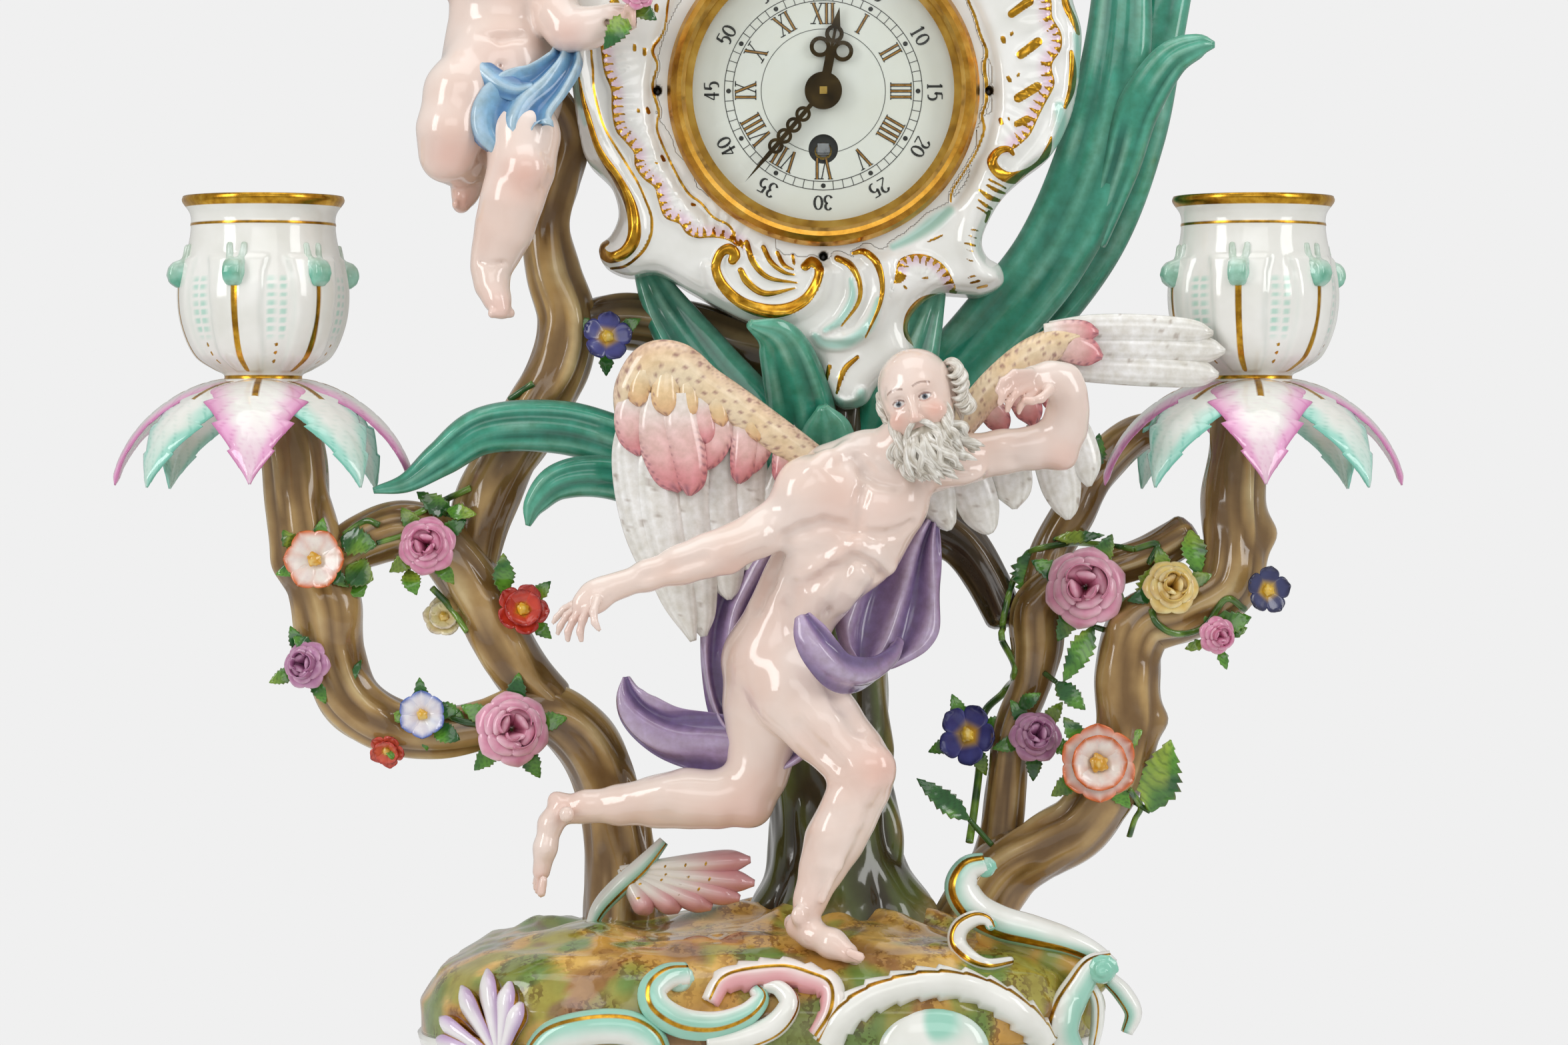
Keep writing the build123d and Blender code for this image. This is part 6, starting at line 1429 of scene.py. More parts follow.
# Chest, ribs, belly and the limbs' muscles, worked on the finished mass
for stations, blend, carve in (
    (((1215, 768, 8.2, 46), (1246, 748, 8.6, 46), (1268, 736, 8.6, 42)), 5.0, False),
    (((1326, 764, 7.4, 40), (1350, 752, 7.6, 40)), 5.0, False),
    (((1226, 722, 6.2, 32), (1204, 742, 6.2, 34)), 5.0, False),
    (
        (
            (1180, 806, -0.6, 8), (1206, 796, -0.9, 8), (1236, 786, -1.0, 7), (1262, 792, -0.9, 7),
            (1278, 806, -0.9, 7)
        ),
        2.6, True
    ),
    (
        ((1292, 802, -0.9, 7), (1316, 806, -0.9, 7), (1346, 802, -0.9, 7), (1366, 788, -0.7, 6)), 2.4,
        True
    ),
    (
        ((1304, 712, -0.7, 6), (1294, 742, -0.7, 6), (1286, 774, -0.7, 6), (1282, 800, -0.7, 6)), 2.4,
        True
    ),
    (
        ((1286, 688, -0.3, 8), (1298, 706, -0.3, 9), (1318, 720, -0.6, 7), (1346, 728, -0.8, 6)), 2.6,
        True
    ),
    (((1270, 676, 1.4, 11), (1240, 690, 1.6, 11), (1222, 704, 1.8, 10)), 3.0, False),
    (
        ((1280, 820, 1.2, 12), (1258, 840, 1.3, 12), (1230, 854, 1.4, 12), (1200, 864, 1.6, 12)), 3.0,
        False
    ),
    (((1290, 820, 1.2, 11), (1312, 834, 1.3, 11), (1332, 850, 1.6, 10)), 3.0, False),
    (((1276, 842, -1.0, 9), (1250, 860, -1.0, 9), (1218, 876, -1.0, 8)), 2.6, True),
    (((1288, 842, -1.0, 8), (1304, 852, -1.0, 8), (1318, 866, -1.0, 7)), 2.4, True),
    (((1186, 822, 1.2, 9), (1206, 818, 1.2, 9), (1228, 812, 1.4, 8)), 2.6, False),
    (((1182, 844, 1.2, 9), (1202, 840, 1.2, 9), (1222, 834, 1.4, 8)), 2.6, False),
    (
        ((1272, 852, -0.9, 6), (1260, 876, -0.9, 6), (1246, 900, -0.9, 6), (1238, 922, -0.9, 6)), 2.4,
        True
    ),
    (((1288, 862, 2.4, 15), (1278, 874, 2.4, 15)), 3.0, False),
    (((1272, 888, 2.4, 15), (1262, 902, 2.4, 15)), 3.0, False),
    (((1252, 868, 2.6, 15), (1242, 882, 2.6, 15)), 3.0, False),
    (((1232, 894, 2.6, 15), (1222, 908, 2.6, 15)), 3.0, False),
    (((1190, 880, -1.0, 9), (1182, 910, -1.0, 9), (1190, 944, -1.0, 8)), 3.2, True),
    (((1244, 914, 0.0, 4), (1243, 917, 0.0, 4)), 1.0, True),
    (((1168, 832, -1.0, 8), (1150, 872, -1.2, 9), (1134, 910, -1.2, 8)), 3.4, True),
    (((1240, 1010, -1.4, 10), (1264, 1050, -1.4, 10), (1288, 1090, -1.4, 8)), 3.4, True),
    (((1196, 1090, -1.2, 9), (1230, 1128, -1.2, 9), (1256, 1150, -1.0, 8)), 3.0, True),
    (((1308, 1176, 1.2, 9), (1300, 1196, 1.0, 8)), 2.4, False),
    (((1262, 1206, 3.0, 22), (1248, 1250, 3.0, 22), (1236, 1290, 2.4, 15)), 4.0, False),
    (((1000, 1190, 3.0, 22), (950, 1200, 2.6, 18)), 4.0, False),
    (((1136, 806, 2.4, 18), (1100, 820, 2.4, 18)), 3.0, False),
    (((1056, 838, -0.9, 6), (1010, 852, -0.9, 6), (966, 866, -0.8, 5)), 2.4, True),
    (((1440, 676, 2.2, 16), (1490, 670, 2.2, 15)), 3.0, False),
    (((1420, 704, -0.9, 6), (1470, 700, -0.9, 6), (1520, 692, -0.8, 5)), 2.4, True)
):
    clay.mark(stations, blend, carve)
points, normals, faces = clay.surface(2)
warm = [
    (at(1326, 1150, -76), 9.0, 0.42), (at(1120, 1220, -50), 8.0, 0.36), (at(1092, 850, -66), 6.5, 0.30),
    (at(1596, 690, -54), 6.5, 0.30), (at(1286, 1440, -78), 7.0, 0.34), (at(808, 1330, -42), 7.0, 0.34),
    (at(864, 936, -78), 7.0, 0.30), (at(1520, 592, -66), 8.0, 0.28), (at(1248, 770, -70), 9.0, 0.18),
    (at(1334, 766, -72), 9.0, 0.18), (at(1196, 1396, -62), 6.0, 0.22), (at(844, 1206, -40), 6.0, 0.25)
]
paint = flesh_paint(points, normals, warm)
# Painted shade along the creases of the chest and belly.
crease_shade = np.zeros(len(points))
for first, second in (((1296, 800, -72), (1204, 884, -60)), ((1262, 872, -76), (1246, 900, -74))):
    start = at(*first)
    run = at(*second) - start
    share = np.clip(((points - start) @ run) / (run @ run), 0, 1)
    away = np.linalg.norm(points - start - share[:, None] * run, axis=1)
    crease_shade = np.maximum(crease_shade, np.exp(-((away / 3.0) ** 2)) * 0.25)
paint = mix(paint, shade("d3a394"), crease_shade)
make(
    "old_man_flesh", points, faces, flesh_glaze,
    replaced=("time_torso", "time_right_arm", "time_left_arm", "time_front_leg", "time_rear_leg"),
    paint=paint
)


# His head: plain proportions, with its tilt and turn
head_middle = at(1376, 594, -62)
head_tilt = (0, -17, -12)
head_turn = (
    Matrix.Rotation(math.radians(head_tilt[1]), 3, "Y")
    @ Matrix.Rotation(math.radians(head_tilt[2]), 3, "Z")
)


def on_head(across, forward, up):
    """A place on the head, in mm to the viewer's right, forward and up before the head's own tilt."""
    return head_middle + np.array(head_turn @ Vector((across, -forward, up)))


def on_face(points, middle, turn):
    """Where points lie in a head's own directions: across, forward and up from its middle, in mm."""
    turned = (points - middle) @ np.array(turn)
    return turned[:, 0], -turned[:, 1], turned[:, 2]


EYE = 4.2
clay = Clay(head_middle - (17, 21, 26), head_middle + (17, 19, 18), 0.33)
clay.lump(on_head(0, -1.4, 3.2), (11.3, 13.0, 11.4), head_tilt, 1.0)
clay.lump(on_head(0, 2.6, -4.0), (9.9, 9.6, 12.6), head_tilt, 4.0)
clay.lump(on_head(0, 3.0, -12.0), (7.6, 8.2, 5.6), head_tilt, 3.0)
clay.rod(on_head(0, -3.0, -8.0), on_head(-1.5, -4.0, -24.0), 6.6, 6.4, 1.0, 3.0)
clay.rod(on_head(-4.6, 9.6, 2.6), on_head(4.6, 9.6, 2.6), 1.9, 1.9, 1.0, 2.6)
for side in (-1, 1):
    clay.lump(on_head(side * EYE, 12.4, -0.9), (2.7, 2.2, 1.9), head_tilt, 1.5, True)
    clay.lump(on_head(side * EYE, 9.7, -1.0), (2.0, 1.8, 1.55), head_tilt, 0.2)
    clay.rod(
        on_head(side * (EYE - 1.8), 11.0, 0.2), on_head(side * (EYE + 1.9), 10.2, -0.1), 0.42, 0.36, 1.0,
        0.4
    )
    clay.rod(
        on_head(side * (EYE - 1.5), 10.9, -2.3), on_head(side * (EYE + 1.6), 10.2, -2.1), 0.3, 0.28, 1.0,
        0.5
    )
    clay.lump(on_head(side * 5.9, 8.8, -6.0), (3.0, 2.6, 2.6), head_tilt, 2.4)
    clay.lump(on_head(side * 11.0, -0.8, -2.0), (1.2, 2.4, 3.6), head_tilt, 0.8)
    clay.lump(on_head(side * 11.9, -0.8, -1.6), (0.7, 1.3, 2.2), head_tilt, 0.4, True)
    clay.lump(on_head(side * 1.15, 12.9, -7.0), (1.0, 1.1, 0.85), head_tilt, 0.7)
clay.rod(on_head(0, 10.9, 1.4), on_head(0, 14.4, -6.3), 1.0, 1.35, 1.0, 1.5)
clay.rod(on_head(-2.3, 11.0, -9.9), on_head(2.3, 11.0, -9.9), 0.8, 0.8, 1.0, 0.8)
clay.rod(on_head(-1.8, 10.8, -11.5), on_head(1.8, 10.8, -11.5), 0.95, 0.95, 1.0, 0.7)
clay.rod(on_head(-2.5, 12.1, -10.7), on_head(2.5, 12.1, -10.7), 0.22, 0.22, 1.0, 0.3, True)
points, normals, faces = clay.surface(2)
warm = [
    (on_head(-5.9, 10.4, -5.8), 3.2, 0.6), (on_head(5.9, 10.4, -5.8), 3.2, 0.6),
    (on_head(0, 15.0, -6.6), 1.8, 0.32), (on_head(0, 2.0, 12.0), 8.0, 0.12)
]
paint = flesh_paint(points, normals, warm)
across, forward, up = on_face(points, head_middle, head_turn)
face_side = (forward > 7.0) & (np.abs(across) < 9) & (np.abs(up) < 14)
for side in (-1, 1):
    eye = np.hypot((across - side * EYE) / 1.75, (up + 1.0) / 1.0)
    paint = mix(paint, shade("eef0f0"), eased(eye, 1.1, 0.88) * face_side)
    iris = np.hypot(across - side * EYE, up + 0.95)
    paint = mix(paint, shade("66717e"), eased(iris, 0.98, 0.8) * face_side)
    paint = mix(paint, shade("121318"), eased(iris, 0.55, 0.4) * face_side)
    lid = np.abs(up - (0.15 - 0.22 * (across - side * EYE) ** 2))
    near_eye = np.abs(across - side * EYE) < 2.0
    paint = mix(paint, shade("6e4032"), eased(lid, 0.42, 0.2) * near_eye * face_side * 0.8)
    low_lid = np.abs(up - (-2.1 + 0.16 * (across - side * EYE) ** 2))
    paint = mix(paint, shade("c98b7a"), eased(low_lid, 0.34, 0.15) * near_eye * face_side * 0.5)
    brow = np.abs(up - (3.6 - 0.10 * (across - side * (EYE - 0.3)) ** 2))
    near_brow = np.abs(across - side * EYE) < 2.7
    paint = mix(paint, shade("86685a"), eased(brow, 0.45, 0.2) * near_brow * face_side * 0.7)
mouth = np.hypot(across / 2.3, (up + 10.7) / 1.35)
paint = mix(paint, shade("cc554b"), eased(mouth, 1.1, 0.8) * face_side * 0.85)
make("old_man_head", points, faces, flesh_glaze, replaced=("time_head",), paint=paint)


# Hair and beard: locks of many fine strands, curled, over a core
def lock(stations, strands=7, spread=0.55, around=8, twist=1.4, seed=1):
    """A wavy lock through (across, forward, up, radius) stations on the head, of wound strands."""
    line = np.array([(*on_head(*station[:3]), station[3]) for station in stations])
    fine, run = curve_through(line, 0.55)
    centres = fine[:, :3]
    _, sideways, outward = frames_along(centres, (0.1, -1, 0.05))
    ends = np.clip(np.minimum(run, (run[-1] - run) * 0.8) / (run[-1] * 0.22 + 1e-6), 0, 1)
    body = fine[:, 3] * np.sqrt(np.clip(1 - (1 - ends) ** 2, 0.02, 1))
    all_points = []
    all_faces = []
    all_tone = []
    turn = full_turn(around)
    base = 0
    for strand in range(strands):
        phase = math.tau * strand / strands + seed
        spun = phase + twist * run / max(run[-1], 1e-6) * math.tau * 0.35
        reach = body * spread
        middle = (
            centres + sideways * (np.cos(spun) * reach)[:, None]
            + outward * (np.sin(spun) * reach)[:, None]
        )
        thick = body * (0.40 + 0.08 * math.sin(seed * 3.1 + strand * 2.3))
        reach = np.cos(turn)[None, :] * thick[:, None]
        lift = np.sin(turn)[None, :] * thick[:, None]
        all_points.append(swept(middle, sideways, outward, reach, lift))
        all_faces.extend(
            tuple(corner + base for corner in face) for face in tube_faces(len(middle), around)
        )
        tone = np.repeat(np.full(len(middle), 0.5 + 0.5 * math.sin(strand * 2.7 + seed)), around)
        all_tone.append(np.concatenate((tone, tone[:2])))
        base += len(all_points[-1])
    return np.vstack(all_points), all_faces, np.concatenate(all_tone)


def hair(name, locks, tints=("b3a998", "f6f4ef"), **links):
    """A head of hair or a beard from several locks, with darker strands and creases between."""
    points = []
    faces = []
    tones = []
    base = 0
    for index, stations in enumerate(locks):
        lock_points, lock_faces, tone = lock(stations, seed=index * 1.7 + 0.4)
        points.append(lock_points)
        faces.extend(tuple(corner + base for corner in face) for face in lock_faces)
        tones.append(tone)
        base += len(lock_points)
    points = np.vstack(points)
    tone = np.concatenate(tones)
    streak = cloud(points * (1.0, 1.0, 0.6), 0.9, 17)
    light = np.clip(0.42 + 0.6 * tone + (streak - 0.5), 0, 1)
    paint = mix(shade(tints[0]), shade(tints[1]), light)
    return make(name, points, faces, hair_glaze, paint=paint, **links)


beard_locks = []
for row, (start_up, reach) in enumerate(((-8.6, 1.0), (-10.6, 1.0), (-12.8, 0.96), (-14.6, 0.9))):
    for column in range(-4, 5):
        start = column * 1.75
        fan = column * 2.0
        wave = math.sin(row * 2.1 + column * 1.3)
        forward = 11.6 - 0.24 * start**2 * 0.6 - row * 0.7
        length = (15.0 - abs(column) * 1.5 + wave * 1.3) * reach
        first_up = start_up if abs(column) > 1 or row else start_up - 2.4
        beard_locks.append(
            (
                (start, forward - 0.8, first_up + 0.6, 0.8),
                (start + fan * 0.25 + wave * 0.8, forward + 1.5, first_up - length * 0.28, 1.35),
                (start + fan * 0.5 - wave * 1.2, forward + 1.7, first_up - length * 0.56, 1.55),
                (start + fan * 0.72 + wave * 1.2, forward + 0.9, first_up - length * 0.82, 1.35),
                (start + fan * 0.8 + wave * 2.2 + 0.9, forward + 0.2, first_up - length, 0.7)
            )
        )
for column in range(-3, 4):
    wave = math.sin(column * 2.3 + 0.7)
    beard_locks.append(
        (
            (column * 1.1, 12.0, -11.2, 0.8), (column * 1.5 + wave * 0.6, 14.2, -14.0, 1.3),
            (column * 1.9 - wave * 1.1, 14.4, -17.6, 1.5), (column * 2.2 + wave * 1.3, 13.4, -21.4, 1.3),
            (column * 2.3 - wave * 0.6 + 0.8, 12.0, -24.2, 0.7)
        )
    )
for side in (-1, 1):
    beard_locks.append(
        (
            (side * 0.4, 13.4, -7.5, 0.7), (side * 2.6, 12.9, -8.6, 1.05),
            (side * 4.6, 11.8, -11.0, 1.0), (side * 5.8, 11.2, -14.0, 0.7)
        )
    )
    for step in range(4):
        beard_locks.append(
            (
                (side * (8.8 - step * 0.6), 5.6 + step * 1.2, -3.6 - step * 1.6, 0.8),
                (side * (9.0 - step * 0.5), 7.0 + step, -8.0 - step, 1.35),
                (side * (8.0 - step * 0.2), 8.4 + step * 0.6, -12.6 - step * 0.8, 1.35),
                (side * (7.6 + step * 0.2), 8.0, -16.6, 0.7)
            )
        )
hair_locks = []
for step in range(6):
    height = 5.0 - step * 2.3
    out = 11.4 + math.sin(step * 1.4) * 0.7
    hair_locks.append(
        (
            (9.2, -4.5 + step * 0.5, height + 2.0, 0.9),
            (out + 1.8, -1.5 + step * 0.4, height + 1.8, 1.6), (out + 3.6, 1.0, height - 1.2, 1.7),
            (out + 1.6, 3.2, height - 2.6, 1.2), (out - 0.4, 3.4, height - 1.6, 0.7)
        )
    )
    hair_locks.append(
        (
            (-9.6, -3.5, height, 0.8), (-out + 0.2, 0.2, height - 1.6, 1.25),
            (-out + 0.4, 2.2, height - 4.6, 1.25), (-out + 1.6, 3.2, height - 6.8, 0.7)
        )
    )
for step in range(7):
    spread_across = -9 + step * 3.0
    hair_locks.append(
        (
            (spread_across * 0.9, -10.5, 4.0, 1.0), (spread_across, -12.6, -0.5, 1.7),
            (spread_across * 1.05, -12.4, -6.5, 1.7), (spread_across, -10.8, -11.5, 0.9)
        )
    )
beard_core = Clay(head_middle - (22, 26, 34), head_middle + (22, 14, 16), 0.6)
beard_core.lump(on_head(0.4, 9.6, -15.6), (7.4, 4.2, 6.8), head_tilt, 2.0)
beard_core.lump(on_head(0.6, 10.0, -20.0), (6.2, 3.8, 4.8), head_tilt, 2.0)
beard_core.lump(on_head(0.4, 9.0, -12.0), (7.4, 3.4, 4.0), head_tilt, 2.0)
core_points, _, core_faces = beard_core.surface(2)
make(
    "beard_core", core_points, core_faces, hair_glaze, replaced=("time_head",),
    paint=mix(shade("a89e8e"), shade("e4e0d6"), cloud(core_points * (1.0, 1.0, 0.3), 0.8, 31))
)
hair("beard_locks", beard_locks, replaced=("time_head",))
hair("hair_locks", hair_locks, replaced=("time_head",))


# Blades: one form for feathers, leaves and petals
class Bunch:
    """Pieces of one kind gathered into one object."""

    def __init__(self):
        self.points = []
        self.faces = []
        self.paint = []
        self.gilt = []
        self.count = 0

    def add(self, points, faces, paint, gilt=0.0):
        """Take in one more piece."""
        self.faces += [tuple(corner + self.count for corner in face) for face in faces]
        self.points.append(np.asarray(points))
        self.paint.append(np.asarray(paint))
        self.gilt.append(np.broadcast_to(np.asarray(gilt, np.float32), len(points)))
        self.count += len(points)

    def make(self, name, material, gilded=False, **links):
        """The gathered pieces as one object, with their gold where they are gilded."""
        return make(
            name, np.vstack(self.points), self.faces, material, paint=np.vstack(self.paint),
            gilt=np.concatenate(self.gilt) if gilded else None, **links
        )


def blade(
    line, facing=(0, -1, 0), spacing=1.0, around=18, thick=0.8, arch=0.0, ribs=0, rib=0.0, teeth=0,
    tooth=0.0
):
    """A leaf-like form along centres with half widths in mm.

    Gives its points, its faces, and for each point its place across (-1 to 1) and its share along.
    """
    line, run = curve_through(line, spacing)
    centres = line[:, :3]
    half = np.maximum(line[:, 3], 0.05)
    _, sideways, outward = frames_along(centres, facing)
    rings = len(centres)
    turn = full_turn(around)
    wide = np.cos(turn)
    high = np.sin(turn)
    share = run / run[-1]
    reach = half[:, None] * wide[None, :]
    if teeth:
        saw = 1.0 - np.mod(share * teeth, 1.0)
        reach = reach * (1 + tooth * (saw[:, None] - 0.5) * np.abs(wide[None, :]) ** 3)
    depth = np.minimum(half / (thick * 1.5), 1.0) * thick
    lift = high[None, :] * depth[:, None] + (arch * half)[:, None] * (1 - wide[None, :] ** 2)
    if ribs:
        lift = lift + rib * np.cos(wide * ribs * math.pi)[None, :] * np.clip(high * 2.5, 0, 1)[None, :]
    points = swept(centres, sideways, outward, reach, lift)
    across = np.concatenate((np.tile(wide, rings), (0.0, 0.0)))
    share = np.concatenate((np.repeat(share, around), (0.0, 1.0)))
    return points, tube_faces(rings, around), across, share


def px_line(stations):
    """Picture stations (across, down, depth mm, half width px) as mm."""
    return [(*at(*station[:3]), station[3] * PICTURE_SCALE) for station in stations]


def hatch(across, share, length, pitch, slant=0.5, start=0.5):
    """A mask of fine slanting strokes near both edges of a blade."""
    wave = np.mod((share * length + np.abs(across) * slant * pitch * 3) / pitch, 1.0)
    return eased(np.abs(wave - 0.5), 0.22, 0.08) * eased(np.abs(across), start, start + 0.15)


FEATHERS = {
    "long": ("f1f0ec", "ffffff", "f6f5f1", "b9b8b4"), "pink": ("f6efe9", "f2c9c6", "e08f95", "8a4f63"),
    "cream": ("f3dfbd", "f0d0a0", "eec291", "8a5a62")
}


def feather(bunch, stations, kind, thick=1.1, arch=0.22, seed=0):
    """One modelled feather of a wing: ribbed, with a shaft, its tip tinted and hatched by kind."""
    line = px_line(stations)
    long = kind == "long"
    points, faces, across, share = blade(
        line, (0, -1, 0), 0.8, 30, thick, arch, 6 if long else 4, 0.14 if long else 0.07
    )
    length = float(np.linalg.norm(np.diff(np.array(line)[:, :3], axis=0), axis=1).sum())
    root, middle_tone, tip, stroke = (shade(code) for code in FEATHERS[kind])
    paint = mix(root, middle_tone, eased(share, 0.05, 0.5))
    paint = mix(paint, tip, eased(share + 0.12 * np.abs(across), 0.5, 0.95))
    if long:
        # Painted shade in the valleys between the ribs.
        groove = 0.5 - 0.5 * np.cos(across * 6 * math.pi)
        paint = mix(paint, shade("c9c7bf"), groove * 0.35)
        specks = eased(cloud(points, 1.6, seed + 5), 0.83, 0.9)
        paint = mix(paint, shade("7d5a34"), specks * 0.5)
    else:
        marks = hatch(across, share, length, 1.25, 0.5, 0.62) * eased(share, 0.25, 0.5)
        tips = eased(share, 0.86, 0.93) * eased(np.sin(across * 26), 0.1, 0.7)
        shaft = eased(np.abs(across), 0.1, 0.04) * eased(share, 0.1, 0.2) * eased(share, 0.8, 0.6)
        paint = mix(paint, stroke, np.clip(marks + tips + shaft * 0.8, 0, 1) * 0.75)
    bunch.add(points, faces, paint)


def wing_band(bunch, stations, seed):
    """The thick front edge of a wing: cream with short brown strokes that follow the scales."""
    line = px_line(stations)
    points, faces, across, share = blade(line, (0, -1, 0), 0.7, 40, 3.6, 0.1)
    line = np.array(line)
    length = float(np.linalg.norm(np.diff(line[:, :3], axis=0), axis=1).sum())
    scale_run = share * length / 6.2
    row = np.floor(across * 2.5 + 10)
    inside = np.mod(scale_run + 0.5 * np.mod(row, 2), 1.0)
    arc = np.abs(inside - 0.5 - 0.35 * (np.mod(across * 2.5 + 10, 1.0) - 0.5) ** 2 * 4 * 0.3)
    paint = mix(shade("f6e6c9"), shade("f0d0a2"), cloud(points, 7.0, seed))
    paint = mix(paint, shade("f3cdb8"), eased(across, 0.2, 0.9) * 0.5)
    strokes = eased(arc, 0.14, 0.06) * eased(np.sin(across * 60 + scale_run * 2), 0.0, 0.5)
    paint = mix(paint, shade("8f5a5e"), strokes * 0.75)
    low = hatch(across, share, length, 1.1, 0.9, 0.55)
    paint = mix(paint, shade("8f5a5e"), low * 0.35)
    bunch.add(points, faces, paint)


# The wing at the viewer's left
wing = Bunch()
for stations in (
    (
        (1085, 660, -40, 22), (1078, 740, -39, 36), (1086, 820, -38, 34), (1092, 880, -37, 20),
        (1094, 900, -37, 4)
    ),
    (
        (1130, 680, -39, 20), (1120, 740, -38, 34), (1124, 800, -37, 30), (1126, 845, -36, 18),
        (1126, 862, -36, 4)
    ),
    (
        (1180, 690, -39, 20), (1172, 740, -38, 32), (1170, 790, -37, 26), (1168, 820, -36, 14),
        (1168, 832, -36, 4)
    ),
    (
        (1045, 640, -41, 24), (1034, 740, -40, 38), (1040, 840, -39, 36), (1050, 920, -38, 24),
        (1056, 955, -38, 5)
    ),
    (
        (960, 600, -42, 18), (948, 680, -41, 30), (968, 780, -40, 36), (996, 860, -40, 28),
        (1012, 905, -40, 5)
    ),
    (
        (1000, 610, -43, 24), (985, 700, -42, 36), (996, 800, -41, 38), (1018, 890, -40, 30),
        (1040, 962, -40, 5)
    )
):
    feather(wing, stations, "long", 1.5, 0.24, len(wing.points))
for stations in (
    (
        (1176, 640, -43, 16), (1180, 670, -43, 20), (1176, 700, -43, 19), (1168, 716, -43, 12),
        (1164, 722, -43, 3)
    ),
    (
        (1140, 622, -43, 18), (1142, 650, -43, 23), (1134, 680, -43, 20), (1122, 702, -43, 14),
        (1116, 712, -43, 3)
    ),
    (
        (1112, 610, -44, 18), (1120, 650, -44, 23), (1116, 690, -44, 21), (1110, 715, -44, 14),
        (1108, 726, -44, 3)
    ),
    (
        (1074, 600, -44, 18), (1078, 640, -44, 24), (1070, 672, -44, 22), (1058, 696, -44, 14),
        (1054, 706, -44, 3)
    ),
    (
        (955, 590, -44, 18), (946, 620, -44, 24), (948, 652, -44, 22), (956, 674, -44, 12),
        (959, 684, -44, 3)
    ),
    (
        (985, 590, -45, 20), (982, 640, -45, 28), (992, 680, -45, 28), (1008, 716, -45, 24),
        (1020, 738, -45, 4)
    ),
    (
        (1020, 590, -46, 20), (1022, 640, -46, 28), (1032, 690, -46, 28), (1036, 724, -46, 22),
        (1034, 744, -46, 4)
    ),
    ((1050, 592, -45, 16), (1056, 628, -45, 20), (1060, 652, -45, 18), (1060, 668, -45, 3))
):
    feather(wing, stations, "pink", 1.3, 0.26, len(wing.points))
for stations in (
    ((1000, 560, -46, 16), (998, 590, -47, 21), (1000, 612, -47, 18), (1002, 624, -47, 3)),
    ((968, 556, -46, 15), (960, 580, -46, 18), (958, 600, -46, 15), (958, 610, -46, 3)),
    ((1032, 574, -46, 14), (1034, 600, -46, 17), (1034, 618, -46, 14), (1034, 628, -46, 3)),
    ((1074, 596, -46, 13), (1078, 616, -46, 15), (1082, 630, -46, 12), (1084, 640, -46, 3)),
    ((1124, 622, -46, 12), (1130, 640, -46, 14), (1136, 654, -46, 10), (1138, 662, -46, 3))
):
    feather(wing, stations, "cream", 1.2, 0.3, len(wing.points))
wing_band(
    wing,
    (
        (1240, 700, -44, 18), (1200, 676, -44, 24), (1150, 642, -44, 27), (1100, 606, -44, 28),
        (1055, 578, -44, 31), (1016, 552, -44, 37), (980, 552, -44, 38), (950, 580, -43, 28),
        (938, 612, -42, 18), (934, 640, -42, 6)
    ),
    3
)
wing.make("left_wing_feathers", hair_glaze, replaced=("time_left_wing",))

# The wing at the viewer's right, with its long feathers swept back
wing = Bunch()
for stations in (
    (
        (1560, 545, -30, 20), (1640, 552, -29, 22), (1730, 556, -28, 24), (1800, 560, -27, 20),
        (1828, 562, -27, 4)
    ),
    (
        (1560, 520, -30, 20), (1640, 520, -29, 24), (1730, 522, -28, 24), (1808, 525, -27, 20),
        (1838, 527, -27, 4)
    ),
    (
        (1575, 500, -31, 18), (1640, 494, -30, 22), (1720, 494, -29, 22), (1790, 498, -28, 18),
        (1820, 500, -28, 4)
    )
):
    feather(wing, stations, "long", 1.5, 0.22, len(wing.points))
for stations in (
    (
        (1390, 670, -38, 20), (1400, 720, -37, 30), (1408, 760, -36, 28), (1420, 785, -36, 16),
        (1424, 796, -36, 4)
    ),
    (
        (1440, 670, -37, 20), (1455, 720, -36, 32), (1470, 765, -35, 30), (1482, 792, -35, 16),
        (1486, 801, -35, 4)
    ),
    ((1500, 650, -36, 20), (1515, 700, -35, 30), (1520, 740, -34, 26), (1522, 764, -34, 4)),
    (
        (1560, 630, -35, 22), (1580, 680, -34, 32), (1592, 730, -33, 30), (1600, 764, -33, 18),
        (1602, 780, -33, 4)
    ),
    ((1600, 620, -34, 20), (1616, 660, -33, 26), (1628, 700, -33, 24), (1634, 730, -33, 4))
):
    feather(wing, stations, "long", 1.6, 0.22, 20 + len(wing.points))
for stations in (
    ((1500, 560, -38, 16), (1530, 590, -38, 22), (1545, 620, -38, 20), (1550, 640, -38, 4)),
    ((1460, 590, -38, 16), (1484, 612, -38, 20), (1500, 634, -38, 18), (1508, 650, -38, 4)),
    ((1545, 530, -37, 16), (1570, 560, -37, 22), (1585, 600, -37, 22), (1592, 630, -37, 4)),
    ((1570, 512, -36, 18), (1606, 520, -36, 24), (1636, 530, -35, 20), (1654, 536, -35, 4)),
    ((1566, 500, -36, 14), (1600, 498, -36, 18), (1630, 498, -35, 16), (1648, 499, -35, 4))
):
    feather(wing, stations, "pink", 1.3, 0.26, 40 + len(wing.points))
wing_band(
    wing,
    (
        (1400, 684, -40, 16), (1430, 650, -40, 22), (1462, 612, -39, 24), (1500, 572, -38, 26),
        (1545, 535, -37, 26), (1590, 512, -36, 22), (1622, 500, -36, 8)
    ),
    9
)
wing.make("right_wing_feathers", hair_glaze, replaced=("time_right_wing",))


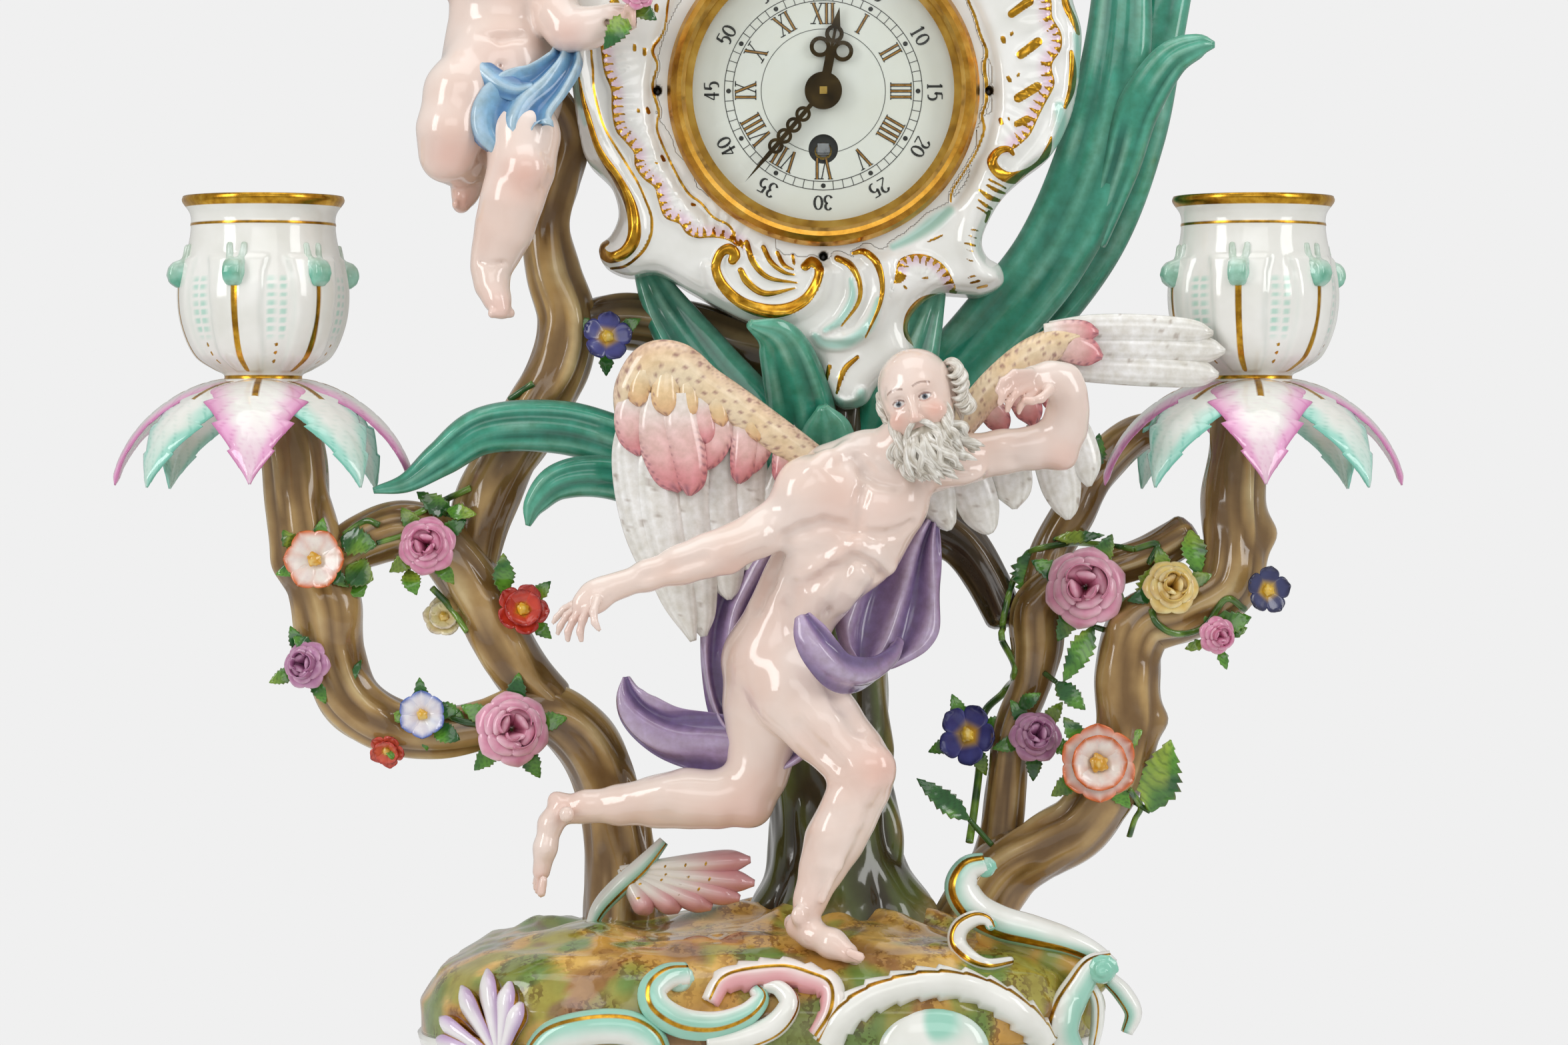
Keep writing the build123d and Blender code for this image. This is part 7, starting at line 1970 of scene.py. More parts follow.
# Drapery: a sheet of glazed clay with folds that run along it
def drape(name, stations, tints, folds=5, deep=2.2, thick=1.3, seed=1, facing=(0, -1, 0), **links):
    """A modelled cloth through (across, down, depth mm, half width px) stations, folded along it, with
    painted shade in the troughs of its folds and painted highlight on their crests.
    """
    line, run = curve_through(px_line(stations), 0.8)
    centres = line[:, :3]
    _, sideways, outward = frames_along(centres, facing)
    rings = len(centres)
    around = 96
    turn = full_turn(around)
    wide = np.sign(np.cos(turn)) * np.abs(np.cos(turn)) ** 0.8
    high = np.sin(turn)
    places = np.zeros((rings, around, 3))
    places[..., 0] = wide[None, :] * folds * 0.55
    places[..., 1] = run[:, None] / 26.0
    places[..., 2] = run[:, None] / 70.0
    wander = cloud(places.reshape(-1, 3), 1.0, seed).reshape(rings, around) - 0.5
    phase = wide[None, :] * folds * math.pi / 2 + wander * 3.4 + run[:, None] / 16.0
    wave = np.sin(phase)
    fold = np.sign(wave) * np.abs(wave) ** 0.8
    fade = np.minimum(line[:, 3:4] / 6.0, 1.0)
    lift = fold * deep * fade + high[None, :] * thick
    hem = 0.06 * np.sin(run[:, None] / 5.0 + 2.0 * np.sign(wide[None, :])) * np.abs(wide[None, :]) ** 4
    reach = line[:, 3:4] * (wide[None, :] + hem)
    points = swept(centres, sideways, outward, reach, lift)
    dark, middle_tone, light = (shade(code) for code in tints)
    # Painted shade and highlight: darker in the folds' troughs, lighter on their crests, with a little
    # random tone.
    tone = (fold + 1) / 2 * 0.75 + (wander + 0.5) * 0.3
    paint = mix(dark, middle_tone, eased(tone.ravel(), 0.1, 0.6))
    paint = with_ends(mix(paint, light, eased(tone.ravel(), 0.6, 1.0) * 0.7))
    return make(name, points, tube_faces(rings, around), hair_glaze, paint=paint, **links)


VIOLET = ("73608f", "a38cb4", "c8b8d2")
drape(
    "drape_side_panel",
    (
        (1396, 782, -37, 14), (1366, 840, -38, 52), (1338, 900, -39, 76), (1318, 950, -42, 72),
        (1304, 985, -46, 46), (1296, 1002, -48, 14)
    ),
    VIOLET, 5, 2.3, seed=2, replaced=("time_drape",)
)
drape(
    "drape_front_lobe",
    (
        (1204, 925, -77, 12), (1214, 950, -79, 24), (1232, 980, -80, 30), (1262, 1010, -76, 30),
        (1300, 1015, -66, 28), (1334, 990, -54, 22), (1346, 965, -46, 12)
    ),
    VIOLET, 2, 1.2, 1.6, seed=4
)
drape(
    "drape_back_fall",
    (
        (1166, 812, -38, 12), (1134, 860, -36, 36), (1102, 920, -35, 42), (1086, 985, -36, 36),
        (1092, 1045, -37, 34), (1110, 1090, -39, 30), (1130, 1118, -41, 12)
    ),
    VIOLET, 4, 2.0, seed=7
)
drape(
    "drape_flying_tail",
    (
        (1216, 1118, -50, 12), (1172, 1124, -47, 30), (1110, 1122, -43, 40), (1050, 1112, -39, 44),
        (1000, 1098, -36, 44), (962, 1072, -34, 36), (944, 1044, -33, 24), (940, 1016, -32, 6)
    ),
    VIOLET, 3, 2.0, seed=11
)


# The dial: numerals, ticks and rings laid on the enamel as thin fired lines, and painted shade in the
# winding hole
DIAL_X, DIAL_Z = DIAL_MIDDLE
DIAL_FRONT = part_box("dial")[0].y / MM
TRACK_INNER = 134.0 * PICTURE_SCALE
TRACK_OUTER = 146.6 * PICTURE_SCALE
CHAPTER_INNER = 92.0 * PICTURE_SCALE
HOUR_RADIUS = 115.0 * PICTURE_SCALE
HOUR_SIZE = 6.6
MINUTE_RADIUS = 165.5 * PICTURE_SCALE
MINUTE_SIZE = 5.0
WINDING_DROP = 18.5


def flat_shapes(name, outlines, depth, material, body="root", thick=0.12):
    """Flat convex shapes, as corner points in mm from the dial's middle, a little proud of it."""
    points = []
    faces = []
    for outline in outlines:
        start = len(points)
        count = len(outline)
        points += [(DIAL_X + x, depth - thick, DIAL_Z + z) for x, z in outline]
        points += [(DIAL_X + x, depth + 0.02, DIAL_Z + z) for x, z in outline]
        faces.append(tuple(start + corner for corner in range(count)))
        faces.append(tuple(start + count + corner for corner in reversed(range(count))))
        for corner in range(count):
            after = (corner + 1) % count
            faces.append((start + after, start + corner, start + count + corner, start + count + after))
    return make(name, points, faces, material, body=body, smooth=False)


def turned_to(outline, turn, radius, size):
    """An outline (unit height, standing at its middle) placed at a clock angle with its top outward."""
    angle = math.radians(turn)
    placed = []
    for x, z in outline:
        x, z = x * size, z * size + radius
        placed.append(
            (x * math.cos(angle) + z * math.sin(angle), z * math.cos(angle) - x * math.sin(angle))
        )
    return placed


def bar(x0, z0, x1, z1, wide):
    """A straight stroke as four corners."""
    run = math.hypot(x1 - x0, z1 - z0)
    nx = -(z1 - z0) / run * wide / 2
    nz = (x1 - x0) / run * wide / 2
    return [(x0 + nx, z0 + nz), (x1 + nx, z1 + nz), (x1 - nx, z1 - nz), (x0 - nx, z0 - nz)]


def letter(kind, middle):
    """The strokes of one Roman numeral letter, thick and thin with serifs, unit height."""
    if kind == "I":
        strokes = [bar(middle, -0.5, middle, 0.5, 0.15)]
        feet = [middle]
    elif kind == "V":
        strokes = [
            bar(middle - 0.2, 0.5, middle + 0.02, -0.5, 0.15),
            bar(middle + 0.22, 0.5, middle + 0.02, -0.5, 0.05)
        ]
        return strokes + [
            bar(middle - 0.32, 0.48, middle - 0.08, 0.48, 0.05),
            bar(middle + 0.12, 0.48, middle + 0.32, 0.48, 0.05)
        ]
    else:
        strokes = [
            bar(middle - 0.2, 0.5, middle + 0.2, -0.5, 0.15),
            bar(middle + 0.2, 0.5, middle - 0.2, -0.5, 0.05)
        ]
        feet = [middle - 0.2, middle + 0.2]
    for foot in feet:
        for height in (-0.48, 0.48):
            strokes.append(bar(foot - 0.13, height, foot + 0.13, height, 0.05))
    return strokes


LETTER_WIDE = {"I": 0.28, "V": 0.58, "X": 0.58}


def ring_segments(radius, wide, count=120):
    """A thin ring as short straight pieces."""
    pieces = []
    inner = radius - wide / 2
    outer = radius + wide / 2
    for step in range(count):
        first = math.tau * step / count
        second = math.tau * (step + 1) / count
        corners = ((inner, first), (outer, first), (outer, second), (inner, second))
        pieces.append([(reach * math.sin(angle), reach * math.cos(angle)) for reach, angle in corners])
    return pieces


black_lines = ring_segments(TRACK_INNER, 0.22) + ring_segments(TRACK_OUTER, 0.22)
for minute in range(60):
    angle = math.tau * minute / 60
    sine, cosine = math.sin(angle), math.cos(angle)
    if minute % 5:
        black_lines.append(
            bar(TRACK_INNER * sine, TRACK_INNER * cosine, TRACK_OUTER * sine, TRACK_OUTER * cosine, 0.2)
        )
    else:
        middle_radius = (TRACK_INNER + TRACK_OUTER) / 2
        black_lines.append(
            [
                (
                    middle_radius * sine + 0.75 * math.cos(math.tau * corner / 14),
                    middle_radius * cosine + 0.75 * math.sin(math.tau * corner / 14)
                )
                for corner in reversed(range(14))
            ]
        )
black_lines += ring_segments(CHAPTER_INNER, 0.16)
roman_outer = []
roman_fill = []
romans = ("XII", "I", "II", "III", "IIII", "V", "VI", "VII", "VIII", "IX", "X", "XI")
for hour, numeral in enumerate(romans):
    total = sum(LETTER_WIDE[kind] for kind in numeral)
    place_x = -total / 2
    for kind in numeral:
        middle = place_x + LETTER_WIDE[kind] / 2
        place_x += LETTER_WIDE[kind]
        for stroke in letter(kind, middle):
            roman_outer.append(turned_to(stroke, hour * 30, HOUR_RADIUS, HOUR_SIZE))
            first, second, third, fourth = (np.array(corner) for corner in stroke)
            if np.linalg.norm(first - fourth) > 0.1:
                inner = (
                    first * 0.76 + fourth * 0.24, second * 0.76 + third * 0.24,
                    third * 0.76 + second * 0.24, fourth * 0.76 + first * 0.24
                )
                roman_fill.append(turned_to(inner, hour * 30, HOUR_RADIUS, HOUR_SIZE))
DIGITS = {
    "0": [("arc", 0.0, 0.0, 0.24, 0.42, 0, 360)],
    "1": [
        ("bar", 0.02, -0.46, 0.02, 0.46), ("bar", -0.12, 0.30, 0.02, 0.46),
        ("bar", -0.12, -0.46, 0.16, -0.46)
    ],
    "2": [
        ("arc", 0.0, 0.22, 0.2, 0.24, -80, 140), ("bar", 0.13, 0.04, -0.22, -0.42),
        ("bar", -0.22, -0.44, 0.24, -0.44)
    ],
    "3": [("arc", 0.0, 0.23, 0.18, 0.22, -70, 170), ("arc", 0.0, -0.2, 0.22, 0.25, 5, 250)],
    "4": [
        ("bar", 0.08, -0.46, 0.08, 0.46), ("bar", 0.08, 0.46, -0.24, -0.16),
        ("bar", -0.24, -0.16, 0.24, -0.16)
    ],
    "5": [
        ("bar", -0.14, 0.44, 0.2, 0.44), ("bar", -0.14, 0.44, -0.18, 0.04),
        ("arc", 0.0, -0.16, 0.22, 0.28, -60, 200)
    ],
    "6": [("arc", 0.0, -0.18, 0.22, 0.26, 0, 360), ("arc", 0.14, 0.0, 0.34, 0.44, -90, -30)]
}


def digit(kind, middle):
    """One Arabic figure as short strokes, unit height; arc angles run clockwise from the top."""
    pieces = []
    for stroke in DIGITS[kind]:
        if stroke[0] == "bar":
            upright = abs(stroke[1] - stroke[3]) < 0.1
            pieces.append(
                bar(
                    middle + stroke[1], stroke[2], middle + stroke[3], stroke[4],
                    0.15 if upright else 0.07
                )
            )
            continue
        _, x, z, wide, tall, first, last = stroke
        steps = 16
        for step in range(steps):
            start = math.radians(first + (last - first) * step / steps)
            end = math.radians(first + (last - first) * (step + 1) / steps)
            weight = 0.06 + 0.1 * abs(math.sin((start + end) / 2))
            pieces.append(
                bar(
                    middle + x + wide * math.sin(start), z + tall * math.cos(start),
                    middle + x + wide * math.sin(end), z + tall * math.cos(end), weight
                )
            )
    return pieces


arabic = []
for hour in range(12):
    text = str(hour * 5 or 60)
    for index, kind in enumerate(text):
        middle = (index - (len(text) - 1) / 2) * 0.62
        for stroke in digit(kind, middle):
            arabic.append(turned_to(stroke, hour * 30, MINUTE_RADIUS, MINUTE_SIZE))
flat_shapes("minute_track_lines", black_lines, DIAL_FRONT, black_enamel_and_hole_shade)
# Painted shade: a dark ring laid on the front plate inside the winding hole.
recess = [[(x, z - WINDING_DROP) for x, z in piece] for piece in ring_segments(4.05, 2.7, 36)]
flat_shapes("winding_hole_shade", recess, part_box("front_plate")[0].y / MM, black_enamel_and_hole_shade)
flat_shapes("minute_figures", arabic, DIAL_FRONT, black_enamel_and_hole_shade)
flat_shapes("hour_numerals", roman_outer, DIAL_FRONT, black_enamel_and_hole_shade)
flat_shapes("hour_numeral_fills", roman_fill, DIAL_FRONT - 0.08, gold_ink)


# Candle cups with white lobes and mint knobs, and drip pans of drooping saw-edged leaves
PAN_TOP = 265.9
PAN_REACH = 46.5
PAN_DROP = 31.0
PAN_DROOP = math.radians(76)
PAN_LEAVES = 8
CUP_PLACES = (("left", -155.54), ("right", 155.58))
CUP_DEPTH = -4.2
CUP_RADIUS = 25.4
CUP_HEIGHT = 58.5
CUP_LOBES = 6
CUP_SHARES = (
    (0.50, 0.00), (0.50, 0.05), (0.80, 0.14), (0.97, 0.30), (1.02, 0.48), (0.96, 0.66), (0.90, 0.80),
    (0.90, 0.90), (1.00, 0.97), (0.99, 1.00)
)
mint = shade("a9dccb")
deep_mint = shade("63b89f")
white_tone = shade("f4f4f0")


def candle_cup(side, middle_x):
    """One candle cup: bulbous, with six white lobes under curled mint knobs.

    Gold runs down each lobe and round the foot, the shoulder and the rim, with mint brushwork between.
    """
    profile = [(share * CUP_RADIUS, height * CUP_HEIGHT) for share, height in CUP_SHARES]
    outer, _ = curve_through([(radius, 0.0, height) for radius, height in profile], 0.55)
    outer = np.stack((outer[:, 0], outer[:, 2]), 1)
    inner = np.array(
        ((22.0, 58.0), (19.8, 52.0), (19.6, 46.5), (21.0, 38.5), (20.4, 33.0), (19.0, 29.0))
    )
    bore = np.array(((11.5, 29.0), (11.5, 8.0), (0.4, 8.0)))
    profile = np.vstack(((0.4, 0.0), outer, inner, bore))
    around = 160
    turn = full_turn(around)
    rings = len(profile)
    radius = np.repeat(profile[:, 0:1], around, 1)
    height = np.repeat(profile[:, 1:2], around, 1)
    angle = np.repeat(turn[None, :], rings, 0)
    outside = np.zeros((rings, around))
    outside[1 : 1 + len(outer)] = 1.0
    lobe = np.mod(angle / math.tau * CUP_LOBES + 0.75, 1.0) - 0.5
    low = eased(height, 2.5, 4.0) * eased(height, 40.0, 38.0) * outside
    lobe_half = np.interp(height, (2.0, 8.0, 22.0, 34.0, 40.0), (0.30, 0.34, 0.30, 0.34, 0.40))
    on_lobe = eased(lobe_half - np.abs(lobe), -0.04, 0.06) * low
    midline = eased(np.abs(lobe), 0.050 + 0.03 * eased(height, 20.0, 3.0), 0.02) * low * (height < 33.0)
    brush = (1 - on_lobe) * eased(height, 12.0, 16.0) * eased(height, 34.0, 31.0) * outside
    brush = brush * eased(np.abs(np.abs(lobe) - 0.43), 0.055, 0.03)
    brush = brush * eased(np.sin(height * 2.4), -0.5, 0.2)
    dots = eased(np.hypot((np.abs(lobe) - 0.5) * 26.0, np.mod(height - 5.0, 2.6) - 1.3), 0.8, 0.5)
    dots = dots * (height > 5.0) * (height < 12.8) * outside
    rise = outside * (on_lobe * 1.1 - midline * 0.3)
    bead = np.exp(-((height - 49.6) ** 2) / 0.25)
    rise = rise + outside * bead * 0.25
    radius = radius + rise
    points = np.stack(
        (middle_x + radius * np.sin(angle), CUP_DEPTH - radius * np.cos(angle), PAN_TOP + height), -1
    ).reshape(-1, 3)
    paint = np.repeat(white_tone[None, :], len(points), 0)
    paint = mix(paint, mint, brush.ravel() * (0.5 + 0.4 * cloud(points, 3.0, 4)))
    # Painted shade: a faint grey line where each raised lobe steps down.
    lobe_edge_shade = (eased(np.abs(np.abs(lobe) - lobe_half), 0.05, 0.0) * low).ravel()
    paint = mix(paint, shade("dfe6e0"), lobe_edge_shade * 0.5)
    rim = (eased(height, 54.8, 55.4) * eased(radius, 20.5, 21.5)).ravel()
    foot_line = (np.exp(-((height - 1.6) ** 2) / 0.5) * outside).ravel()
    gilt = np.clip(midline.ravel() + dots.ravel() + rim + foot_line + (bead * outside).ravel(), 0, 1)
    points = np.vstack((points, (middle_x, CUP_DEPTH, PAN_TOP), (middle_x, CUP_DEPTH, PAN_TOP + 8.0)))
    paint = np.vstack((paint, white_tone, white_tone))
    gilt = np.concatenate((gilt, (0, 0)))
    make(
        side + "_cup_porcelain", points, tube_faces(rings, around), painted_porcelain,
        replaced=(side + "_candle_cup",), paint=paint, gilt=gilt
    )
    knobs = Clay(
        (middle_x - 31, CUP_DEPTH - 31, PAN_TOP + 16), (middle_x + 31, CUP_DEPTH + 31, PAN_TOP + 44),
        0.6
    )
    for index in range(CUP_LOBES):
        knob_turn = math.tau * (index + 0.25) / CUP_LOBES
        out = np.array((math.cos(knob_turn), math.sin(knob_turn), 0.0))
        across_way = np.array((-out[1], out[0], 0.0))
        root = np.array((middle_x, CUP_DEPTH, PAN_TOP + 33.0)) + out * 23.6
        coil = []
        for step in range(15):
            curl = math.radians(-70 + step * 30)
            reach = 3.5 - 0.17 * step
            coil.append(
                root + out * (2.2 + reach * math.cos(curl))
                + np.array((0, 0, 1.2 + reach * math.sin(curl)))
            )
        for before, after in zip(coil, coil[1:]):
            for way in (-1.5, 0.0, 1.5):
                knobs.rod(before + across_way * way, after + across_way * way, 1.4, 1.4, 1.0, 0.6)
        for way in (-1.6, 1.6):
            knobs.rod(
                root + across_way * way + out, root + across_way * way * 1.5 + (0, 0, 9.5), 1.9, 1.1,
                1.0, 1.6
            )
        knobs.lump(root + out * 2.2 + (0, 0, 1.2), (3.4, 3.4, 2.8), (0, 0, 0), 0.6)
        knobs.rod(root + (0, 0, -5), root + out * 0.4 + (0, 0, -1), 1.6, 2.4, 1.0, 1.4)
    points, _, faces = knobs.surface(2)
    paint = mix(deep_mint, mint, eased(cloud(points, 4.0, 8), 0.2, 0.8))
    paint = mix(paint, white_tone, eased(points[:, 2] - PAN_TOP, 33.0, 40.0) * 0.7)
    make(side + "_cup_knobs", points, faces, leaf_glaze, paint=paint)


def drip_pan(side, middle_x):
    """One drip pan: eight drooping saw-edged leaves, pink and mint by turns, with gold midribs."""
    leaves = Bunch()
    middle = np.array((middle_x, CUP_DEPTH, PAN_TOP - 0.6))
    for index in range(PAN_LEAVES):
        leaf_turn = math.tau * (index - 2) / PAN_LEAVES
        out = np.array((math.cos(leaf_turn), math.sin(leaf_turn), 0.0))
        line = []
        for share, wide in (
            (0.04, 5.0), (0.14, 11.0), (0.26, 14.8), (0.38, 15.2), (0.50, 13.6), (0.62, 11.6),
            (0.74, 8.6), (0.86, 5.2), (0.95, 2.2), (1.01, 0.4)
        ):
            droop = PAN_DROOP * share
            place = middle + out * (PAN_REACH * math.sin(droop) / math.sin(PAN_DROOP))
            sunk = PAN_DROP * (1 - math.cos(droop)) / (1 - math.cos(PAN_DROOP))
            line.append((*(place - (0, 0, sunk + 0.9 * (index % 2))), wide))
        points, faces, across, share = blade(line, (0, 0, 1), 0.7, 44, 1.15, 0.14, 0, 0, 5, 0.20)
        veins = eased(np.sin((share * 9 - np.abs(across) * 1.9) * math.tau), 0.86, 0.99)
        veins = veins * eased(share, 0.1, 0.3)
        midrib = np.exp(-((across / 0.1) ** 2)) * 0.35 * eased(share, 0.05, 0.2)
        points = points + np.outer(midrib, (0, 0, 1.0)) - np.outer(veins * 0.16, (0, 0, 1.0))
        tint, dark = (shade(code) for code in (("eeb0d8", "cf6fae"), ("a9e2d4", "5fb8a4"))[index % 2])
        edge = eased(np.abs(across) + 0.25 * (cloud(points, 4.0, index) - 0.5), 0.35, 0.9)
        tip = eased(share, 0.55, 0.95)
        paint = mix(white_tone, tint, np.clip(edge * 0.95 + tip * 0.6, 0, 1))
        paint = mix(paint, dark, veins * np.clip(edge + tip * 0.4 + 0.2, 0, 1) * 0.5)
        paint = mix(paint, dark, eased(np.abs(across), 0.86, 0.99) * 0.75)
        leaves.add(points, faces, paint, (np.abs(across) < 0.06) & (share < 0.45))
    disc = Clay(middle + (-17, -17, -4), middle + (17, 17, 3), 0.7)
    disc.rod(middle + (0, 0, -2.6), middle + (0, 0, -1.6), 14.5, 14.5, 1.0, 0.5)
    points, _, faces = disc.surface(2)
    points[:, 2] = np.clip(points[:, 2], PAN_TOP - 3.4, PAN_TOP)
    leaves.add(points, faces, np.repeat(white_tone[None, :], len(points), 0))
    leaves.make(side + "_pan_leaves", painted_porcelain, True, replaced=(side + "_drip_pan",))


for side, middle_x in CUP_PLACES:
    candle_cup(side, middle_x)
    drip_pan(side, middle_x)


# Applied flowers and leaves, each modelled petal by petal
def basis_for(out):
    """Two directions at right angles to a flower's outward direction."""
    out = np.array(out, np.float64)
    out /= np.linalg.norm(out)
    side = np.cross(out, (0.0, 0.0, 1.0))
    side /= np.linalg.norm(side)
    return out, side, np.cross(side, out)


def petal(
    bunch, middle, out, side, up, turn, inner, outer, wide, cup, roll, tints, seed, lobes=0, thick=0.5
):
    """One petal from radius inner to outer, cupped outward by cup and rolled at its tip."""
    direction = side * math.cos(turn) + up * math.sin(turn)
    line = []
    for share, half, lift in (
        (0.0, 0.35, 0.0), (0.3, 0.75, 0.55 * cup), (0.6, 1.0, 0.95 * cup),
        (0.82, 0.92, cup - 0.25 * roll), (0.95, 0.55, cup - 0.7 * roll), (1.02, 0.12, cup - roll)
    ):
        place = middle + direction * (inner + (outer - inner) * share) + out * lift
        line.append((*place, half * wide))
    points, faces, across, share = blade(line, tuple(out), 0.55, 16, thick, -0.16 if roll <= 0 else 0.12)
    if lobes:
        points = points + np.outer(0.25 * np.cos(across * lobes * math.pi) * share, out)
    heart, body_tone, edge = (shade(code) for code in tints)
    paint = mix(heart, body_tone, eased(share, 0.05, 0.45))
    paint = mix(paint, edge, eased(share + 0.25 * np.abs(across), 0.72, 1.1))
    streak = eased(np.sin(across * 22 + seed), 0.3, 0.9)
    streak = streak * eased(share, 0.1, 0.4) * eased(share, 1.0, 0.6)
    paint = mix(paint, edge, streak * 0.22)
    bunch.add(points, faces, paint)


def bud(bunch, middle, out, radius, tints, seed):
    """A small turned-in heart of a rose: a few tight petals round the flower's middle."""
    _, side, up = basis_for(out)
    for index in range(4):
        turn = index * 1.7 + seed
        centre = middle + (side * math.cos(turn) + up * math.sin(turn)) * radius * 0.16
        line = []
        for step in range(7):
            angle = turn + (step - 3) * 0.42
            round_way = side * math.cos(angle) + up * math.sin(angle)
            place = centre + round_way * radius * (0.18 + 0.09 * index)
            line.append((*(place + out * radius * (0.75 - 0.09 * index)), radius * 0.34))
        facing = side * math.cos(turn) + up * math.sin(turn)
        points, faces, across, _ = blade(line, tuple(facing), 0.5, 12, 0.35, 0.05)
        paint = mix(shade(tints[0]), shade(tints[1]), eased(across, -0.6, 0.8))
        bunch.add(points, faces, paint)


def rose(bunch, middle, out, radius, tints, seed):
    """A cabbage rose: a tight heart in three whorls of cupped, rolled petals."""
    out, side, up = basis_for(out)
    for whorl, (count, reach, wide, cup, roll) in enumerate(
        (
            (6, 1.0, 0.48, 0.30, 0.22), (5, 0.78, 0.42, 0.52, 0.16), (4, 0.56, 0.36, 0.72, 0.08),
            (3, 0.36, 0.26, 0.84, 0.04)
        )
    ):
        for index in range(count):
            turn = math.tau * (index + 0.5 * whorl) / count + seed * 0.7
            inner = radius * 0.08
            petal(
                bunch, middle - out * radius * 0.15, out, side, up, turn, inner, radius * reach,
                radius * wide, radius * cup, radius * roll, tints, seed + index
            )
    bud(bunch, middle, out, radius, tints, seed)


def open_flower(bunch, middle, out, radius, tints, heart, seed, count=6, rows=1):
    """An open blossom: wide petals round a button of stamens."""
    out, side, up = basis_for(out)
    for row in range(rows):
        for index in range(count):
            turn = math.tau * (index + 0.5 * row) / count + seed * 0.37
            petal(
                bunch, middle, out, side, up, turn, radius * 0.1, radius * (1.0 - 0.3 * row),
                radius * 0.46, radius * (0.18 + 0.16 * row), -radius * 0.10, tints, seed + index, 3
            )
    button = Clay(middle - np.ones(3) * radius * 0.5, middle + np.ones(3) * radius * 0.5, 0.4)
    for index in range(13):
        turn = index * 2.4
        far = radius * 0.065 * math.sqrt(index)
        place = middle + out * radius * 0.22 + (side * math.cos(turn) + up * math.sin(turn)) * far
        button.lump(place, (radius * 0.075,) * 3, (0, 0, 0), 0.3)
    button.rod(middle, middle + out * radius * 0.2, radius * 0.2, radius * 0.2, 1.0, 0.4)
    points, _, faces = button.surface(1)
    paint = mix(shade(heart), shade("fff0a0"), eased(cloud(points, 1.0, seed), 0.4, 0.8) * 0.5)
    bunch.add(points, faces, paint)


PINK = ("b8466f", "dd86ac", "f2b9cf")
MAUVE = ("8a4a78", "b87aa6", "d9abc9")
BIG_PINK = ("c24f74", "e596b4", "f6cbd9")
YELLOW = ("c79526", "efd06a", "f8ecb0")
ORANGE_EDGE = ("f3efe2", "f6f1e6", "e4742f")
BLUE_EDGE = ("f2f2ee", "eef0f4", "5a78c8")
PANSY = ("f0c83a", "4a4f9c", "2c2f6e")
blossoms = Bunch()
for across, down, depth, radius, tints, out in (
    (641, 819, -15, 43, PINK, (-0.1, -1, 0.1)), (461, 998, -17, 36, MAUVE, (-0.35, -1, 0.15)),
    (768, 1094, -16, 55, BIG_PINK, (0.15, -1, 0.1)), (1628, 882, -10, 60, BIG_PINK, (-0.1, -1, 0.1)),
    (1756, 882, -17, 41, YELLOW, (0.1, -1, 0.2)), (1553, 1106, -5, 39, MAUVE, (0.1, -1, 0.3)),
    (1825, 953, -16, 28, PINK, (0.3, -1, -0.1))
):
    rose(blossoms, at(across, down, depth), out, radius * PICTURE_SCALE, tints, across % 7)
blossoms.make("rose_petals", petal_glaze, replaced=("roses",))
blossoms = Bunch()
for across, down, depth, radius, tints, heart, count, rows, out in (
    (473, 840, -19, 45, ORANGE_EDGE, "e0a51c", 6, 1, (-0.15, -1, 0.1)),
    (634, 1072, -16, 35, BLUE_EDGE, "e8b92a", 6, 1, (-0.1, -1, 0.0)),
    (783, 916, -13, 39, ("f2d24a", "d8452c", "b52a22"), "e8b92a", 5, 2, (0.2, -1, 0.3)),
    (666, 927, 0, 31, ("e9cf5a", "f3e9a8", "f9f4d4"), "d9b23a", 6, 2, (0.0, -1, 0.4)),
    (581, 1125, -12, 27, ("e8c24a", "e0664a", "c8402e"), "d9b23a", 5, 2, (-0.2, -1, -0.5)),
    (910, 506, -5, 37, PANSY, "f0c83a", 5, 1, (0.2, -1, 0.2)),
    (1646, 1145, -18, 57, ORANGE_EDGE, "d9a21c", 6, 2, (0.1, -1, 0.05)),
    (1454, 1103, 4, 46, PANSY, "f0c83a", 5, 1, (-0.5, -1, 0.1)),
    (1900, 886, -16, 35, ("f0c83a", "39406e", "23264a"), "f0c83a", 5, 1, (0.4, -1, 0.1))
):
    open_flower(
        blossoms, at(across, down, depth), out, radius * PICTURE_SCALE, tints, heart, across % 11, count,
        rows
    )
blossoms.make("open_flower_petals", petal_glaze, replaced=("open_flowers",))


